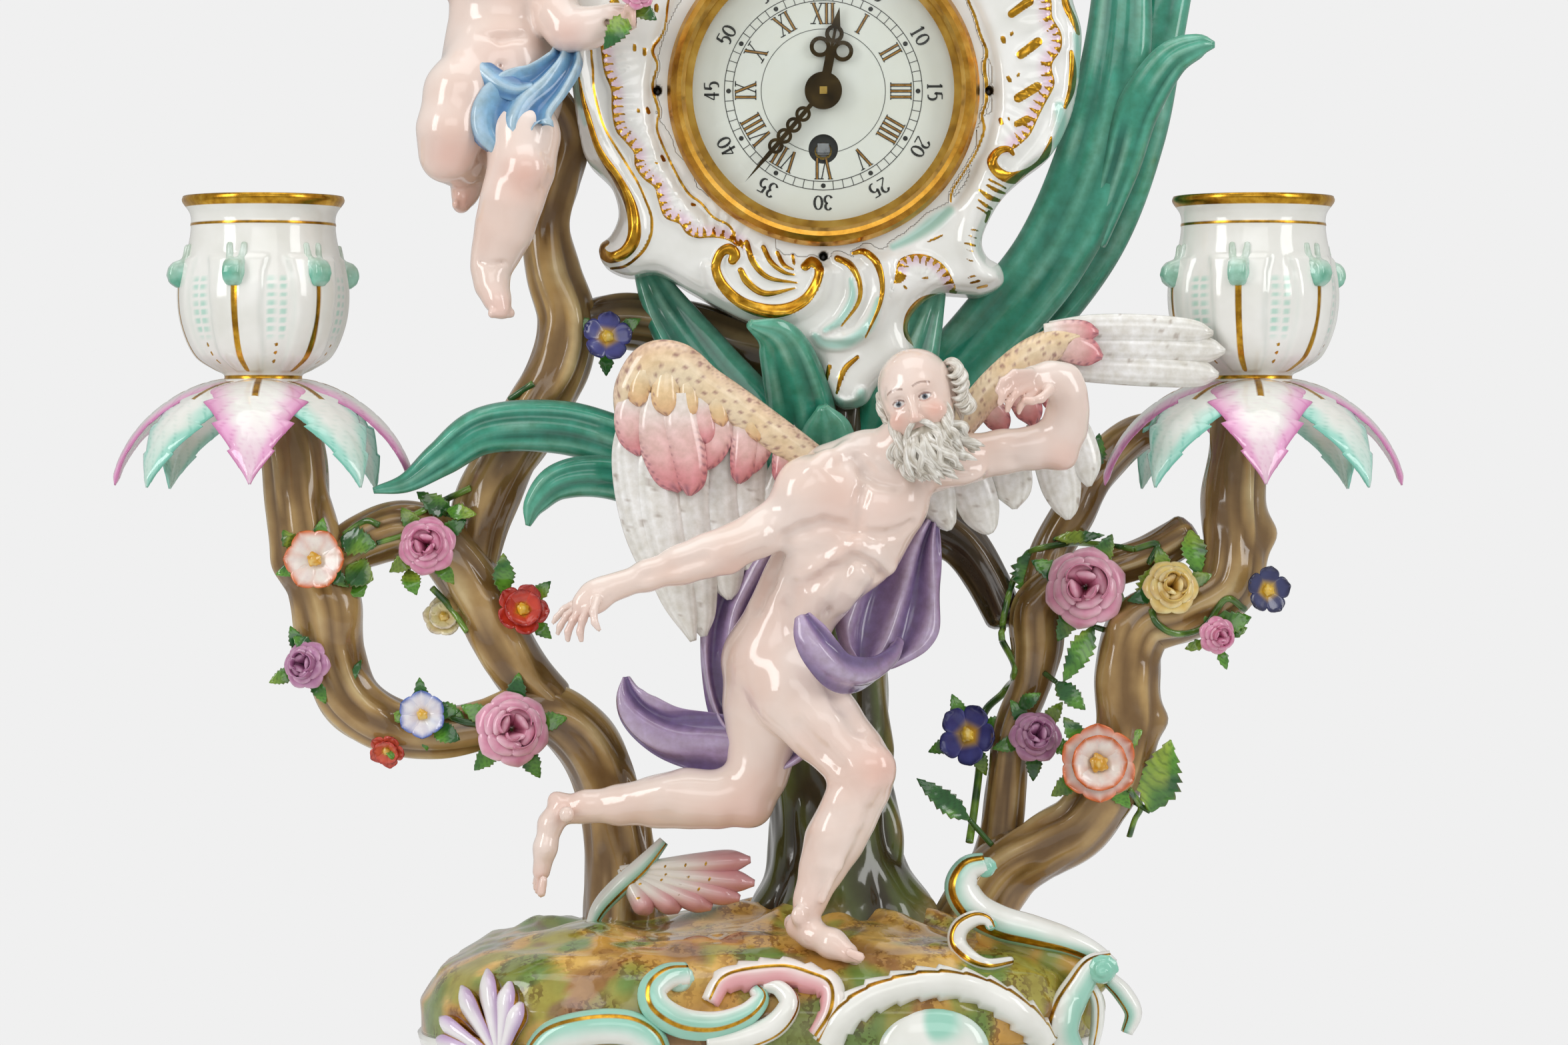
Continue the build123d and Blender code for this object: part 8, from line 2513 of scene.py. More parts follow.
def leaf_spray(bunch, root, tip, half, bend, seed, light=0.5):
    """A saw-edged leaf from root to tip (mm), with a midrib and side veins in darker green."""
    root = np.array(root, np.float64)
    tip = np.array(tip, np.float64)
    run = tip - root
    away = np.array((0.0, -1.0, 0.0)) * bend
    line = []
    for share, wide in (
        (0.0, 0.1), (0.14, 0.6), (0.32, 1.0), (0.55, 0.92), (0.78, 0.58), (0.93, 0.24), (1.0, 0.04)
    ):
        line.append((*(root + run * share + away * math.sin(share * math.pi)), wide * half))
    points, faces, across, share = blade(line, (0.1, -1, 0.2), 0.6, 26, 0.55, -0.2, 0, 0, 8, 0.4)
    veins = eased(np.sin((share * 8 - np.abs(across) * 1.2) * math.tau), 0.5, 0.95)
    rib = eased(np.abs(across), 0.12, 0.04)
    points = points - np.outer((veins + rib) * 0.14, (0, -1, 0))
    paint = mix(shade("2f6d34"), shade("6fae3c"), eased(cloud(points, 5.0, seed), 0.3, 0.75))
    paint = mix(paint, shade("b9cc4a"), eased(cloud(points, 9.0, seed + 3), 0.55, 0.8) * light)
    paint = mix(paint, shade("1c4522"), np.clip(veins * 0.6 + rib, 0, 1) * 0.75)
    paint = mix(paint, shade("8a5a3a"), eased(np.abs(across), 0.9, 0.99) * 0.4)
    bunch.add(points, faces, paint)


branches = skin_of(
    "trunk_bark", "left_arm_bark", "left_loop_bark", "left_upright_bark", "left_cross_bark",
    "right_arm_bark", "right_stem_bark", "right_rear_bark", "right_hoop_bark"
)


def stem(bunch, place, halves, sag, facing, around, thick, code):
    """A short stem from the nearest bark to a place (mm) that stands clear of it."""
    near = np.array(branches.find_nearest(Vector(place) * MM)[0]) / MM
    if np.linalg.norm(near - place) > 1.0:
        first, second, third = halves
        line = [(*near, first), (*((near + place) / 2 + (0, sag, 0)), second), (*place, third)]
        points, faces, _, _ = blade(line, facing, 0.8, around, thick, 0.0)
        bunch.add(points, faces, np.tile(shade(code), (len(points), 1)))


greens = Bunch()
for index, (first_across, first_down, last_across, last_down, half) in enumerate(
    (
        (1545, 825, 1556, 908, 32), (1785, 795, 1798, 866, 18), (1733, 849, 1725, 928, 24),
        (1806, 944, 1877, 926, 20), (1725, 1218, 1756, 1110, 30), (1640, 940, 1595, 1023, 18),
        (1584, 1023, 1628, 1065, 16), (1528, 1060, 1561, 1040, 12), (1640, 708, 1649, 650, 14),
        (1582, 808, 1657, 803, 10), (1454, 1230, 1375, 1168, 16), (511, 807, 565, 819, 22),
        (520, 850, 560, 870, 24), (530, 870, 545, 895, 18), (440, 820, 425, 795, 12),
        (612, 855, 625, 893, 13), (680, 775, 625, 738, 16), (670, 765, 715, 772, 12),
        (757, 890, 755, 830, 16), (470, 975, 440, 955, 12), (655, 1055, 700, 1082, 12),
        (650, 1090, 690, 1110, 16), (585, 1120, 590, 1140, 8), (542, 990, 520, 1035, 6)
    )
):
    root = set_on(branches, first_across, first_down, 1.2, -6.0)
    tip = at(last_across, last_down, root[1] - 2.5)
    leaf_spray(greens, root, tip, half * PICTURE_SCALE, 2.0, index, 0.7)
    stem(greens, root, (0.9, 0.9, 0.8), 0.4, (0, -1, 0), 8, 1.2, "3f6b30")


def sprays_round(bunch, across, down, depth, radius, count, seed):
    """Small leaves that look out from behind a flower."""
    centre = at(across, down, depth)
    stem(bunch, centre, (1.3, 1.2, 1.2), 0.6, (0.1, -1, 0.1), 10, 1.8, "4a7434")
    for index in range(count):
        angle = math.tau * index / count + seed
        out = np.array((math.cos(angle), 0.0, math.sin(angle)))
        start = centre + out * radius * PICTURE_SCALE * 0.5 + (0, 2.5, 0)
        leaf_spray(
            bunch, start, start + out * radius * PICTURE_SCALE * 0.95, radius * PICTURE_SCALE * 0.26,
            1.2, int(seed * 7) + index
        )


for across, down, depth, radius, count, seed in (
    (641, 819, -12, 48, 4, 0.6), (461, 998, -14, 44, 4, 2.0), (768, 1094, -13, 58, 5, 0.2),
    (1628, 882, -8, 62, 4, 1.1), (1756, 882, -14, 46, 4, 0.3), (1553, 1106, -3, 46, 5, 0.9),
    (1646, 1145, -15, 58, 4, 2.2), (473, 840, -16, 44, 3, 1.4), (634, 1072, -13, 38, 4, 0.1),
    (783, 916, -9, 42, 4, 0.8), (1454, 1103, 5, 46, 4, 0.4), (1825, 958, -13, 34, 4, 1.9),
    (910, 506, -3, 40, 3, 2.6)
):
    sprays_round(greens, across, down, depth, radius, count, seed)
greens.make("leaf_sprays", leaf_glaze, replaced=("foliage",))


def vine(bunch, stations, half_px, seed):
    """A thin green tendril laid along the bark."""
    line, _ = curve_through([(*station, 0.0, half_px * PICTURE_SCALE) for station in stations], 6.0)
    seated = []
    depth = -6.0
    for across, down, _, half in line:
        place = set_on(branches, across, down, half * 0.6, depth + half * 0.6)
        depth = place[1] + half * 0.6
        seated.append([*place, half])
    seated = np.array(seated)
    for _ in range(4):
        seated[1:-1, 1] = np.minimum(
            seated[1:-1, 1], (seated[:-2, 1] + 2 * seated[1:-1, 1] + seated[2:, 1]) / 4
        )
    points, faces, _, _ = blade(
        [tuple(row) for row in seated], (0, -1, 0), 0.8, 10, half_px * PICTURE_SCALE * 1.6, 0.0
    )
    paint = mix(shade("35602c"), shade("7fa53f"), eased(cloud(points, 4.0, seed), 0.3, 0.7))
    bunch.add(points, faces, paint)


vines = Bunch()
for seed, half_px, stations in (
    (
        1, 6,
        (
            (1454, 1264), (1462, 1210), (1470, 1139), (1466, 1106), (1479, 1065), (1508, 1036),
            (1522, 1002), (1503, 961)
        )
    ),
    (
        2, 5,
        (
            (1503, 961), (1503, 940), (1516, 882), (1528, 857), (1545, 828), (1599, 816), (1640, 816),
            (1702, 824)
        )
    ),
    (3, 5, ((1702, 824), (1736, 816), (1723, 845))),
    (4, 5, ((1727, 915), (1736, 936), (1765, 951), (1806, 940), (1839, 899), (1868, 915))),
    (5, 5, ((1694, 1185), (1711, 1210), (1702, 1230), (1694, 1255))),
    (6, 5, ((515, 803), (548, 782), (569, 788))), (7, 4, ((565, 815), (606, 803))),
    (8, 5, ((614, 782), (627, 770), (706, 732))), (9, 5, ((764, 600), (800, 575))),
    (10, 5, ((648, 882), (676, 912), (701, 948))),
    (11, 5, ((656, 1064), (689, 1081), (730, 1085), (764, 1060)))
):
    vine(vines, stations, half_px, seed)
vines.make("green_tendrils", leaf_glaze)


# The putto at the case's left side: body, limbs and a plain child's head
clay = Clay(at(610, 508, -62), at(960, -262, 8), 0.62)
clay.chain(
    (
        (760, 200, -19, 48), (758, 160, -18, 76), (748, 95, -18, 76), (750, 30, -18, 64),
        (752, -25, -18, 68)
    ),
    7.0, flat=0.86
)
clay.chain(
    ((752, -25, -18, 68), (757, -70, -18, 70), (760, -93, -19, 36), (762, -118, -20, 34)), 5.0,
    flat=0.76
)
clay.lump(at(722, -32, -28), (6.5, 4.0, 5.5), (0, 10, 0), 4.0)
clay.lump(at(786, -32, -28), (6.5, 4.0, 5.5), (0, -10, 0), 4.0)
clay.lump(at(750, 96, -29), (12.0, 6.5, 11.0), (0, 0, 0), 6.0)
clay.lump(at(750, 100, -35.2), (1.2, 1.2, 1.4), (0, 0, 0), 0.9, True)
clay.chain(((720, 55, -33, 4), (750, 60, -34, 4), (782, 55, -33, 4)), 2.6, True)
# Bent leg at the viewer's left, its foot tucked behind the other knee
clay.chain(
    (
        (720, 90, -25, 46), (690, 140, -32, 50), (676, 196, -35, 47), (672, 232, -33, 38),
        (690, 246, -26, 31), (704, 248, -20, 27), (703, 272, -19, 22)
    ),
    4.0
)
clay.chain(((703, 268, -19, 20), (698, 290, -21, 18), (692, 306, -24, 14)), 2.4, flat=1.2)
for index in range(5):
    toe = at(684 + 5 * index, 308 - abs(index - 1) * 2, -27 + index * 1.6)
    clay.lump(toe, (1.25, 1.9, 1.6), (0, 0, 0), 0.8)
# Standing leg
clay.chain(
    (
        (775, 150, -27, 50), (786, 205, -37, 49), (782, 252, -41, 45), (768, 300, -42, 42),
        (756, 345, -40, 39), (742, 384, -38, 30), (735, 406, -38, 25)
    ),
    4.5
)
clay.lump(at(790, 254, -49), (5.6, 4.0, 5.4), (0, 0, 0), 3.4)
clay.chain(
    ((735, 402, -38, 24), (738, 428, -39, 23), (746, 450, -42, 18), (752, 466, -44, 13)), 2.6, flat=1.25
)
for index in range(5):
    clay.lump(at(738 + 7 * index, 468 + abs(index - 2), -46 + index), (1.4, 2.0, 1.6), (0, 0, 0), 0.8)
clay.chain(((722, 392, -44, 3), (736, 398, -46, 3), (752, 394, -44, 3)), 1.6, True)
# Arm at the viewer's right, holding flowers out
clay.chain(
    (
        (800, -66, -19, 34), (826, -14, -25, 34), (838, 26, -31, 31), (852, 46, -34, 29),
        (884, 42, -36, 28), (912, 33, -37, 21), (924, 30, -38, 20), (944, 26, -39, 18)
    ),
    3.6
)
for index in range(4):
    clay.chain(
        (
            (940, 22 + 6 * index, -41, 4.6), (952, 14 + 7 * index, -44, 4.6),
            (950, 8 + 7 * index, -46, 3.8)
        ),
        1.2
    )
clay.chain(((934, 26, -43, 5), (942, 10, -46, 4.6), (950, 4, -47, 3.6)), 1.2)
clay.chain(((906, 20, -38, 4), (912, 34, -42, 3), (908, 46, -38, 3)), 1.4, True)
# Arm at the viewer's left, its hand on the case's shoulder
clay.chain(
    (
        (706, -64, -19, 34), (672, -44, -20, 33), (650, -42, -23, 31), (628, -66, -26, 28),
        (624, -108, -31, 25), (634, -150, -33, 20), (642, -172, -34, 19)
    ),
    3.6
)
for index in range(4):
    clay.chain(
        (
            (640 + 5 * index, -176, -36, 4.6), (646 + 6 * index, -192, -37, 4.2),
            (652 + 6 * index, -200, -36, 3.4)
        ),
        1.2
    )
CHILD_EYE = 4.2
child_head = at(764, -196, -21)
child_tilt = (0, 8, 10)
child_turn = (
    Matrix.Rotation(math.radians(child_tilt[1]), 3, "Y")
    @ Matrix.Rotation(math.radians(child_tilt[2]), 3, "Z")
)


def on_child(across, forward, up):
    """A place on the child's head, in mm, before its own tilt."""
    return child_head + np.array(child_turn @ Vector((across, -forward, up)))


clay.lump(on_child(0, -0.5, 1.5), (12.6, 13.2, 12.4), child_tilt, 1.5)
clay.lump(on_child(0, 3.2, -4.6), (10.4, 8.6, 8.4), child_tilt, 3.0)
clay.lump(on_child(0, 7.6, -10.0), (4.2, 3.4, 2.8), child_tilt, 2.4)
for side in (-1, 1):
    clay.lump(on_child(side * CHILD_EYE, 12.2, -1.4), (2.6, 1.5, 1.6), child_tilt, 1.4, True)
    clay.lump(on_child(side * CHILD_EYE, 10.2, -1.4), (1.9, 1.5, 1.4), child_tilt, 0.3)
    clay.lump(on_child(side * 6.2, 8.2, -5.8), (3.6, 3.0, 3.2), child_tilt, 2.4)
    clay.lump(on_child(side * 12.2, 0, -2.4), (1.3, 2.2, 2.8), child_tilt, 0.8)
clay.lump(on_child(0, 12.0, -4.0), (1.5, 1.7, 1.4), child_tilt, 1.2)
clay.rod(on_child(0, 11.0, -0.4), on_child(0, 12.0, -3.6), 0.9, 1.1, 1.0, 1.2)
clay.rod(on_child(-1.6, 10.8, -7.4), on_child(1.6, 10.8, -7.4), 0.8, 0.8, 1.0, 0.8)
clay.rod(on_child(-1.8, 11.7, -7.5), on_child(1.8, 11.7, -7.5), 0.25, 0.25, 1.0, 0.3, True)
points, normals, faces = clay.surface(3)
paint = flesh_paint(
    points, normals,
    [
        (at(672, 236, -44), 8.0, 0.4), (at(788, 262, -52), 7.0, 0.4), (at(852, 52, -40), 6.0, 0.35),
        (at(750, 462, -46), 6.0, 0.35), (at(692, 306, -26), 6.0, 0.35), (at(950, 14, -46), 5.0, 0.35),
        (on_child(-6.4, 10, -5.8), 3.4, 0.55), (on_child(6.4, 10, -5.8), 3.4, 0.55),
        (at(750, 90, -36), 9.0, 0.15)
    ]
)
across, forward, up = on_face(points, child_head, child_turn)
face_side = (forward > 6.5) & (np.abs(across) < 9) & (np.abs(up) < 13)
for side in (-1, 1):
    eye = np.hypot((across - side * CHILD_EYE) / 1.6, (up + 1.4) / 0.95)
    paint = mix(paint, shade("eef0f0"), eased(eye, 1.1, 0.88) * face_side)
    iris = np.hypot(across - side * CHILD_EYE, up + 1.35)
    paint = mix(paint, shade("5f7d96"), eased(iris, 0.95, 0.75) * face_side)
    paint = mix(paint, shade("121318"), eased(iris, 0.5, 0.35) * face_side)
    near_eye = (np.abs(across - side * CHILD_EYE) < 2.1) * face_side
    lid = np.abs(up - (-0.25 - 0.2 * (across - side * CHILD_EYE) ** 2))
    paint = mix(paint, shade("7a4a3a"), eased(lid, 0.36, 0.16) * near_eye * 0.8)
    brow = np.abs(up - (2.4 - 0.12 * (across - side * CHILD_EYE) ** 2))
    paint = mix(paint, shade("9a7350"), eased(brow, 0.4, 0.15) * near_eye * 0.6)
mouth = np.hypot(across / 2.2, (up + 7.5) / 1.2)
paint = mix(paint, shade("cf5a50"), eased(mouth, 1.1, 0.8) * face_side * 0.85)
make("putto_flesh", points, faces, flesh_glaze, replaced=("putto_body", "putto_limbs"), paint=paint)

CURL_COUNT = 150
GOLDEN_TURN = 2.399963
curls = Bunch()
for index in range(CURL_COUNT):
    share = (index + 0.5) / CURL_COUNT
    polar = math.acos(1 - 1.25 * share)
    round_turn = index * GOLDEN_TURN
    direction = np.array(
        (math.sin(polar) * math.cos(round_turn), math.sin(polar) * math.sin(round_turn), math.cos(polar))
    )
    direction = np.array(Matrix.Rotation(math.radians(-24), 3, "X") @ Vector(direction))
    if direction[1] < -0.62 and direction[2] < 0.42:
        continue
    middle = child_head + np.array(child_turn @ Vector(direction * 13.4 + np.array((0, 0.6, 1.6))))
    out = np.array(child_turn @ Vector(direction))
    _, side_way, up_way = basis_for(out + np.array((0.01, 0.0, 0.0)))
    line = []
    for step in range(9):
        angle = step * 0.72 + index
        reach = 1.9 - 0.16 * step
        round_way = side_way * math.cos(angle) + up_way * math.sin(angle)
        line.append((*(middle + round_way * reach + out * 0.14 * step), 0.95))
    points, faces, across, _ = blade(line, tuple(out), 0.5, 9, 0.75, 0.0)
    paint = mix(shade("8a5a2c"), shade("d3a765"), eased(across, -0.8, 0.8))
    curls.add(points, faces, paint)
curls.make("putto_curls", hair_glaze)

AZURE = ("3f72a8", "7fb0d4", "cfe4ee")
drape(
    "putto_blue_drape",
    (
        (850, 66, -30, 16), (846, 92, -36, 28), (818, 124, -40, 44), (782, 150, -43, 62),
        (764, 180, -45, 66), (770, 206, -45, 48), (790, 222, -43, 14)
    ),
    AZURE, 5, 1.5, seed=3, replaced=("putto_drape",)
)
drape(
    "putto_blue_sash",
    (
        (702, 70, -31, 10), (716, 96, -36, 16), (744, 120, -40, 20), (776, 134, -42, 18),
        (800, 130, -42, 8)
    ),
    AZURE, 2, 0.9, 1.1, seed=5
)
posy = Bunch()
for across, down, depth, radius, tints, out in (
    (956, -8, -46, 24, PINK, (0.2, -1, 0.4)), (976, -30, -42, 22, YELLOW, (0.5, -1, 0.5)),
    (938, -36, -44, 22, MAUVE, (-0.2, -1, 0.5))
):
    rose(posy, at(across, down, depth), out, radius * PICTURE_SCALE, tints, across % 5)
posy.make("putto_posy", petal_glaze)
posy = Bunch()
leaf_spray(posy, at(944, 20, -43), at(906, 74, -44), 3.4, 1.5, 3)
leaf_spray(posy, at(950, 6, -42), at(985, 30, -42), 2.8, 1.5, 5)
leaf_spray(posy, at(944, -8, -42), at(914, -30, -42), 2.8, 1.5, 8)
posy.make("putto_posy_leaves", leaf_glaze)


# Base ornament: scrolls and shells in white, mint and gold
def laid(
    bunch, carrier, stations, tints, out=1.4, thick=3.2, gilded=0.7, lobes=0, arch=0.5, rear=0.0
):
    """A swelling ribbon of porcelain laid on the base, by picture pixels and half widths in px."""
    smooth, _ = curve_through([(across, down, 0.0, half) for across, down, half in stations], 5.0)
    seated = []
    depth = min(rear, -48.0)
    for across, down, _, half in smooth:
        place = set_on(carrier, across, down, out, depth + out)
        depth = min(place[1], rear)
        seated.append([*at(across, down, depth), half * PICTURE_SCALE])
    seated = np.array(seated)
    for _ in range(12):
        seated[1:-1, 1] = (seated[:-2, 1] + 2 * seated[1:-1, 1] + seated[2:, 1]) / 4
    points, faces, across, _ = blade(
        [tuple(row) for row in seated], (0, -1, 0), 0.9, 24, thick, arch, 0, 0, lobes, 0.3
    )
    lip = np.exp(-(((np.abs(across) - 0.62) / 0.14) ** 2))
    points = points + np.outer(0.6 * lip, (0, -1, 0))
    first, second = (shade(code) for code in tints)
    drift = 0.3 * (cloud(points, 6.0, len(stations)) - 0.5)
    paint = mix(first, second, eased(across + drift, -0.5, 0.6))
    bunch.add(points, faces, paint, np.abs(across - gilded) < 0.16)


def knob(bunch, carrier, across, down, radius, tints, rear=-60.0):
    """The rolled end of a scroll: a coil with a raised spiral, seated on the base."""
    centre = at(across, down, min(set_on(carrier, across, down, 0.0, rear)[1], rear))
    reach = radius * PICTURE_SCALE
    clay = Clay(centre - np.ones(3) * (reach * 1.7 + 3), centre + np.ones(3) * (reach * 1.7 + 3), 0.55)
    clay.lump(centre, (reach, reach * 0.9, reach), (0, 0, 0), 0.5)
    coil = []
    for step in range(22):
        turn = math.radians(step * 32)
        far = reach * (1.0 - step / 26)
        lift = reach * (0.25 + 0.65 * step / 22)
        coil.append(centre + np.array((far * math.cos(turn), -lift, far * math.sin(turn))))
    for before, after in zip(coil, coil[1:]):
        clay.rod(before, after, reach * 0.2, reach * 0.2, 1.0, reach * 0.12)
    points, _, faces = clay.surface(2)
    first, second = (shade(code) for code in tints)
    bunch.add(points, faces, mix(first, second, eased(cloud(points, 5.0, 3), 0.35, 0.7)))


ornament = Bunch()
base = skin_of("plinth_porcelain", "mound_grass")
MINT_WHITE = ("f4f5f1", "9fd6c4")
WHITE_MINT = ("9fd6c4", "f4f5f1")
PLAIN_WHITE = ("f6f6f2", "ebebe6")
PINK_WHITE = ("f6f0ec", "e9a6ac")
for stations, tints, gilded, lobes, rear in (
    (
        (
            (800, 1590, 20), (830, 1558, 26), (885, 1542, 26), (940, 1542, 26), (975, 1560, 24),
            (990, 1590, 18)
        ),
        WHITE_MINT, -0.7, 0, -60.0
    ),
    (
        (
            (1030, 1462, 18), (1000, 1466, 20), (978, 1486, 22), (985, 1514, 24), (1022, 1536, 24),
            (1072, 1540, 22), (1118, 1524, 18), (1140, 1500, 14), (1132, 1484, 10)
        ),
        MINT_WHITE, 0.7, 0, -60.0
    ),
    (
        (
            (1060, 1568, 16), (1110, 1560, 18), (1160, 1540, 18), (1184, 1508, 16), (1170, 1484, 13),
            (1146, 1480, 9)
        ),
        PLAIN_WHITE, 0.7, 0, -60.0
    ),
    (
        (
            (1065, 1504, 12), (1083, 1475, 18), (1118, 1465, 22), (1177, 1460, 22), (1217, 1470, 22),
            (1247, 1484, 20), (1249, 1519, 20), (1227, 1554, 16)
        ),
        PINK_WHITE, -0.2, 9, -60.0
    ),
    (
        (
            (1240, 1568, 20), (1262, 1530, 24), (1300, 1500, 24), (1350, 1482, 24), (1400, 1475, 24),
            (1450, 1480, 24), (1500, 1500, 24), (1540, 1530, 24), (1570, 1568, 20)
        ),
        PLAIN_WHITE, -0.7, 12, -60.0
    ),
    (
        (
            (1668, 1440, 14), (1638, 1450, 18), (1619, 1478, 22), (1598, 1516, 26), (1590, 1549, 28),
            (1606, 1580, 22)
        ),
        WHITE_MINT, 0.7, 0, -58.0
    ),
    (((1630, 1470, 8), (1645, 1500, 10), (1646, 1534, 10), (1640, 1570, 8)), PLAIN_WHITE, 0.0, 0, -56.0),
    (((1664, 1470, 12), (1684, 1490, 14), (1700, 1520, 13), (1690, 1550, 9)), MINT_WHITE, 0.7, 0, -50.0),
    (
        (
            (1478, 1295, 16), (1452, 1304, 20), (1442, 1332, 25), (1462, 1364, 26), (1500, 1385, 26),
            (1550, 1398, 24), (1600, 1412, 20), (1640, 1430, 16), (1668, 1450, 12)
        ),
        MINT_WHITE, 0.6, 0, -50.0
    ),
    (
        (
            (1488, 1392, 7), (1480, 1380, 9), (1462, 1378, 12), (1440, 1392, 14), (1436, 1415, 14),
            (1455, 1438, 13), (1480, 1448, 10), (1515, 1442, 7)
        ),
        PLAIN_WHITE, 0.6, 0, -58.0
    )
):
    laid(ornament, base, stations, tints, gilded=gilded, lobes=lobes, rear=rear)
fan_depth = set_on(base, 1040, 1378, 0.0, -50.0)[1]
for tip_across, tip_down in (
    (1126, 1290), (1132, 1325), (1110, 1348), (1068, 1362), (1020, 1367), (975, 1372)
):
    line = []
    for share, half in ((0.0, 5), (0.3, 11), (0.6, 16), (0.85, 17), (1.0, 5)):
        across = 930 + share * (tip_across - 930)
        down = 1304 + share * (tip_down - 1304)
        line.append((*at(across, down, fan_depth - 3 * share), half * PICTURE_SCALE))
    points, faces, across, share = blade(line, (0, -1, 0), 0.8, 20, 3.4, 0.6)
    paint = mix(shade("f6f2ec"), shade("e6a9ae"), eased(share + 0.2 * np.abs(across), 0.45, 0.95))
    gilt = eased(np.sin(share * 40), 0.86, 0.98) * eased(np.abs(across), 0.35, 0.2) * (share < 0.8)
    ornament.add(points, faces, paint, gilt)
line = []
for across, down, half in (
    (996, 1262, 8), (962, 1300, 14), (925, 1334, 15), (900, 1362, 13), (885, 1392, 8)
):
    line.append((*at(across, down, fan_depth - 1.5), half * PICTURE_SCALE))
points, faces, across, share = blade(line, (0, -1, 0), 0.8, 20, 4.5, 0.5)
paint = mix(shade("9fd6c4"), shade("f4f5f1"), eased(across, -0.4, 0.6))
ornament.add(points, faces, paint, np.abs(across + 0.6) < 0.16)
bank = Clay(at(1430, 1560, -72), at(1710, 1370, -6), 1.0)
bank.chain(
    ((1476, 1402, -44, 14), (1520, 1418, -44, 22), (1580, 1440, -45, 28), (1640, 1468, -48, 24)), 4.0
)
bank.chain(((1480, 1450, -38, 34), (1560, 1480, -38, 44), (1620, 1510, -40, 38)), 5.0)
points, _, faces = bank.surface(3)
ornament.add(points, faces, mound_paint(points))
for tip_across, tip_down in (
    (662, 1560), (665, 1529), (695, 1484), (732, 1460), (765, 1475), (782, 1505)
):
    stations = (
        (750, 1592, 5), (0.5 * (750 + tip_across), 0.5 * (1592 + tip_down), 13),
        (0.2 * 750 + 0.8 * tip_across, 0.2 * 1592 + 0.8 * tip_down, 17), (tip_across, tip_down, 6)
    )
    laid(ornament, base, stations, ("f5f2f4", "c9a9d6"), gilded=0.8, arch=0.9, rear=-40.0)
knob(ornament, base, 1018, 1469, 20, ("8fcfba", "bfe4d8"))
knob(ornament, base, 1653, 1455, 21, ("8fcfba", "bfe4d8"))
knob(ornament, base, 1146, 1484, 13, PLAIN_WHITE)
knob(ornament, base, 1478, 1302, 15, ("8fcfba", "bfe4d8"), -50.0)
knob(ornament, base, 1486, 1388, 9, ("8fcfba", "f4f4f0"), -58.0)
# Oval dome in the middle of the apron
centre = set_on(base, 1400, 1575, -1.5, -84.0)
dome = Clay(centre - (24, 10, 20), centre + (24, 10, 20), 0.7)
dome.lump(centre, (17.0, 5.0, 12.5), (0, 0, 0), 0.5)
points, _, faces = dome.surface(2)
paint = mix(shade("9fd6c4"), shade("f4f5f1"), eased(cloud(points, 9.0, 5), 0.3, 0.6))
ornament.add(points, faces, paint)
# Four corner scrolls that carry the plinth
for side_x in (-1, 1):
    for side_y in (-1, 1):
        middle = np.array((side_x * 98.7, side_y * 78.8, 31.5))
        outward = np.array((side_x * 0.78, side_y * 0.62, 0.0))
        way = np.array((-outward[1], outward[0], 0.0))
        clay = Clay(middle - (26, 26, 31), middle + (26, 26, 31), 0.8)
        coil = []
        for step in range(34):
            share = step / 33
            turn = math.radians(-150 + 500 * share)
            far = 17.5 * (1 - 0.72 * share)
            coil.append(
                (
                    middle + outward * far * math.cos(turn) + np.array((0, 0, far * math.sin(turn))),
                    5.0 - 2.4 * share
                )
            )
        for (before, before_radius), (after, after_radius) in zip(coil, coil[1:]):
            for shift in (-3.2, 0.0, 3.2):
                clay.rod(
                    before + way * shift, after + way * shift, before_radius * 0.7, after_radius * 0.7,
                    1.0, 1.2
                )
        clay.rod(
            middle - outward * 15 + (0, 0, -20), middle - outward * 12 + (0, 0, -4), 5.5, 6.0, 1.0, 3.0
        )
        points, _, faces = clay.surface(2)
        reach = np.abs((points - middle) @ way)
        paint = mix(shade("9fd6c4"), shade("f4f5f1"), eased(reach, 2.0, 4.5))
        ornament.add(points, faces, paint, np.abs(reach - 5.2) < 0.5)
ornament.make("base_ornament", painted_porcelain, True, replaced=("base_scrolls",))


# Carried-over pieces keep their shape and take their glaze or metal
kept_finishes = {
    "white_porcelain": white_porcelain, "mound_glaze": mound_glaze, "gilt_brass": gilt_bronze,
    "movement_brass": clock_brass, "movement_steel": polished_steel, "dark_brass": dark_brass,
    "dial_enamel": enamel, "clear_glass": clear_glass
}
slot_of = {entry["node"]: entry["material_slot"] for entry in frame["record"]["subparts"]}
for name, kept in frame["nodes"].items():
    finish = kept_finishes.get(slot_of.get(name), white_porcelain)
    if not kept.data.materials:
        kept.data.materials.append(finish)
    for index in range(len(kept.data.materials)):
        kept.data.materials[index] = finish

# Studio: a pale floor and pale air, soft boxes round and above, the camera level with the group
floor_paint = blank("pale_studio_paper")
soft = node(floor_paint, "ShaderNodeTexCoord").outputs["Object"]
tooth = noise(floor_paint, soft, 60, Detail=2.0)
paper = ramp(floor_paint, tooth, ((0.3, "ececec"), (0.7, "f0f0f0")))
paper_body = node(
    floor_paint, "ShaderNodeBsdfPrincipled", {"Roughness": 0.9, "Specular IOR Level": 0.1},
    {"Base Color": paper}
)
paper_glow = node(floor_paint, "ShaderNodeEmission", {"Color": colour("f1f1f1"), "Strength": 1.0})
rays = node(floor_paint, "ShaderNodeLightPath")
sight = node(
    floor_paint, "ShaderNodeMath", {"operation": "MAXIMUM"},
    {0: rays.outputs["Is Camera Ray"], 1: rays.outputs["Is Glossy Ray"]}
)
sight_all = node(
    floor_paint, "ShaderNodeMath", {"operation": "MAXIMUM"},
    {0: sight.outputs[0], 1: rays.outputs["Is Transmission Ray"]}
)
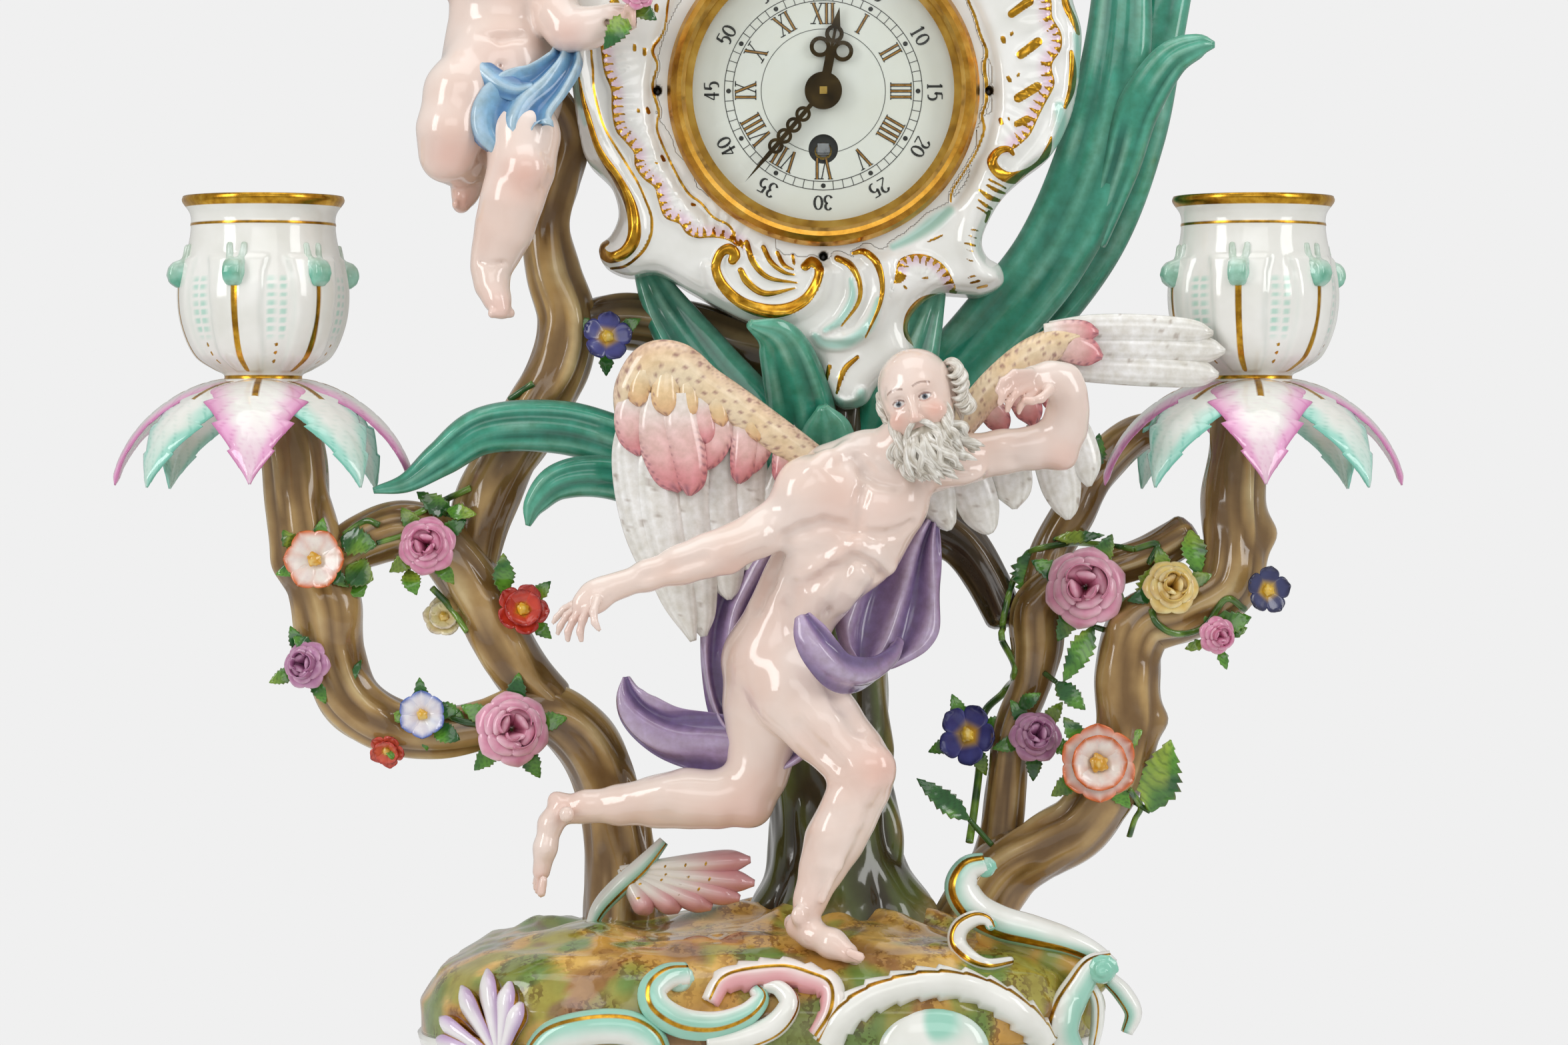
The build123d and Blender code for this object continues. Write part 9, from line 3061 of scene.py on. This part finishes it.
half = node(floor_paint, "ShaderNodeMath", {"operation": "MULTIPLY", 1: 0.45}, {0: sight_all.outputs[0]})
blend = node(
    floor_paint, "ShaderNodeMixShader",
    links={0: half.outputs[0], 1: paper_body.outputs["BSDF"], 2: paper_glow.outputs["Emission"]}
)
close(floor_paint, blend.outputs["Shader"])
FLOOR_RADIUS = 0.6
FLOOR_SIDES = 96
points = [(0.0, 0.0, 0.0)]
for step in range(FLOOR_SIDES):
    angle = math.tau * step / FLOOR_SIDES
    points.append((FLOOR_RADIUS * math.cos(angle), FLOOR_RADIUS * math.sin(angle), 0.0))
faces = [(0, 1 + step, 1 + (step + 1) % FLOOR_SIDES) for step in range(FLOOR_SIDES)]
mesh = bpy.data.meshes.new("studio_floor")
mesh.from_pydata(points, [], faces)
mesh.materials.append(floor_paint)
studio = bpy.data.objects.new("studio_floor", mesh)
bpy.context.scene.collection.objects.link(studio)


def soft_box(name, place, target, size, power, tint="ffffff"):
    """A rectangular studio lamp aimed at a target, in metres."""
    lamp = bpy.data.lights.new(name, "AREA")
    lamp.shape = "RECTANGLE"
    lamp.size, lamp.size_y = size
    lamp.energy = power
    lamp.color = colour(tint)[:3]
    holder = bpy.data.objects.new(name, lamp)
    holder.location = place
    holder.rotation_euler = (Vector(target) - Vector(place)).to_track_quat("-Z", "Y").to_euler()
    bpy.context.scene.collection.objects.link(holder)
    return holder


middle = (0.0, 0.0, 0.25)
soft_box("left_box", (-1.15, -0.85, 0.75), middle, (0.45, 1.0), 7.4)
soft_box("right_box", (1.15, -0.85, 0.75), middle, (0.45, 1.0), 5.8)
soft_box("front_fill", (0.1, -2.2, 1.2), middle, (1.6, 0.7), 4.6)
soft_box("overhead_box", (0.0, -0.2, 1.6), middle, (1.2, 0.9), 5.0)

world = bpy.data.worlds.new("studio_air")
bpy.context.scene.world = world
world.use_nodes = True
world.node_tree.nodes.clear()
air = node(world, "ShaderNodeBackground", {"Color": colour("f4f3f1"), "Strength": 0.56})
shown = node(world, "ShaderNodeBackground", {"Color": colour("f0f0f0"), "Strength": 1.0})
rays = node(world, "ShaderNodeLightPath")
blend = node(
    world, "ShaderNodeMixShader",
    links={
        0: rays.outputs["Is Camera Ray"], 1: air.outputs["Background"], 2: shown.outputs["Background"]
    }
)
node(world, "ShaderNodeOutputWorld", links={"Surface": blend.outputs["Shader"]})

lens = bpy.data.cameras.new("studio_camera")
lens.sensor_fit = "HORIZONTAL"
lens.sensor_width = 36.0
lens.lens = 36.0 * VIEW_DISTANCE / (2352 * PICTURE_SCALE)
lens.clip_start = 0.05
lens.clip_end = 20.0
camera = bpy.data.objects.new("studio_camera", lens)
camera.location = (VIEW_AXIS[0] * MM, -VIEW_DISTANCE * MM, VIEW_AXIS[1] * MM)
camera.rotation_euler = (math.radians(90), 0.0, 0.0)
bpy.context.scene.collection.objects.link(camera)
bpy.context.scene.camera = camera
bpy.context.scene.view_settings.view_transform = "Standard"
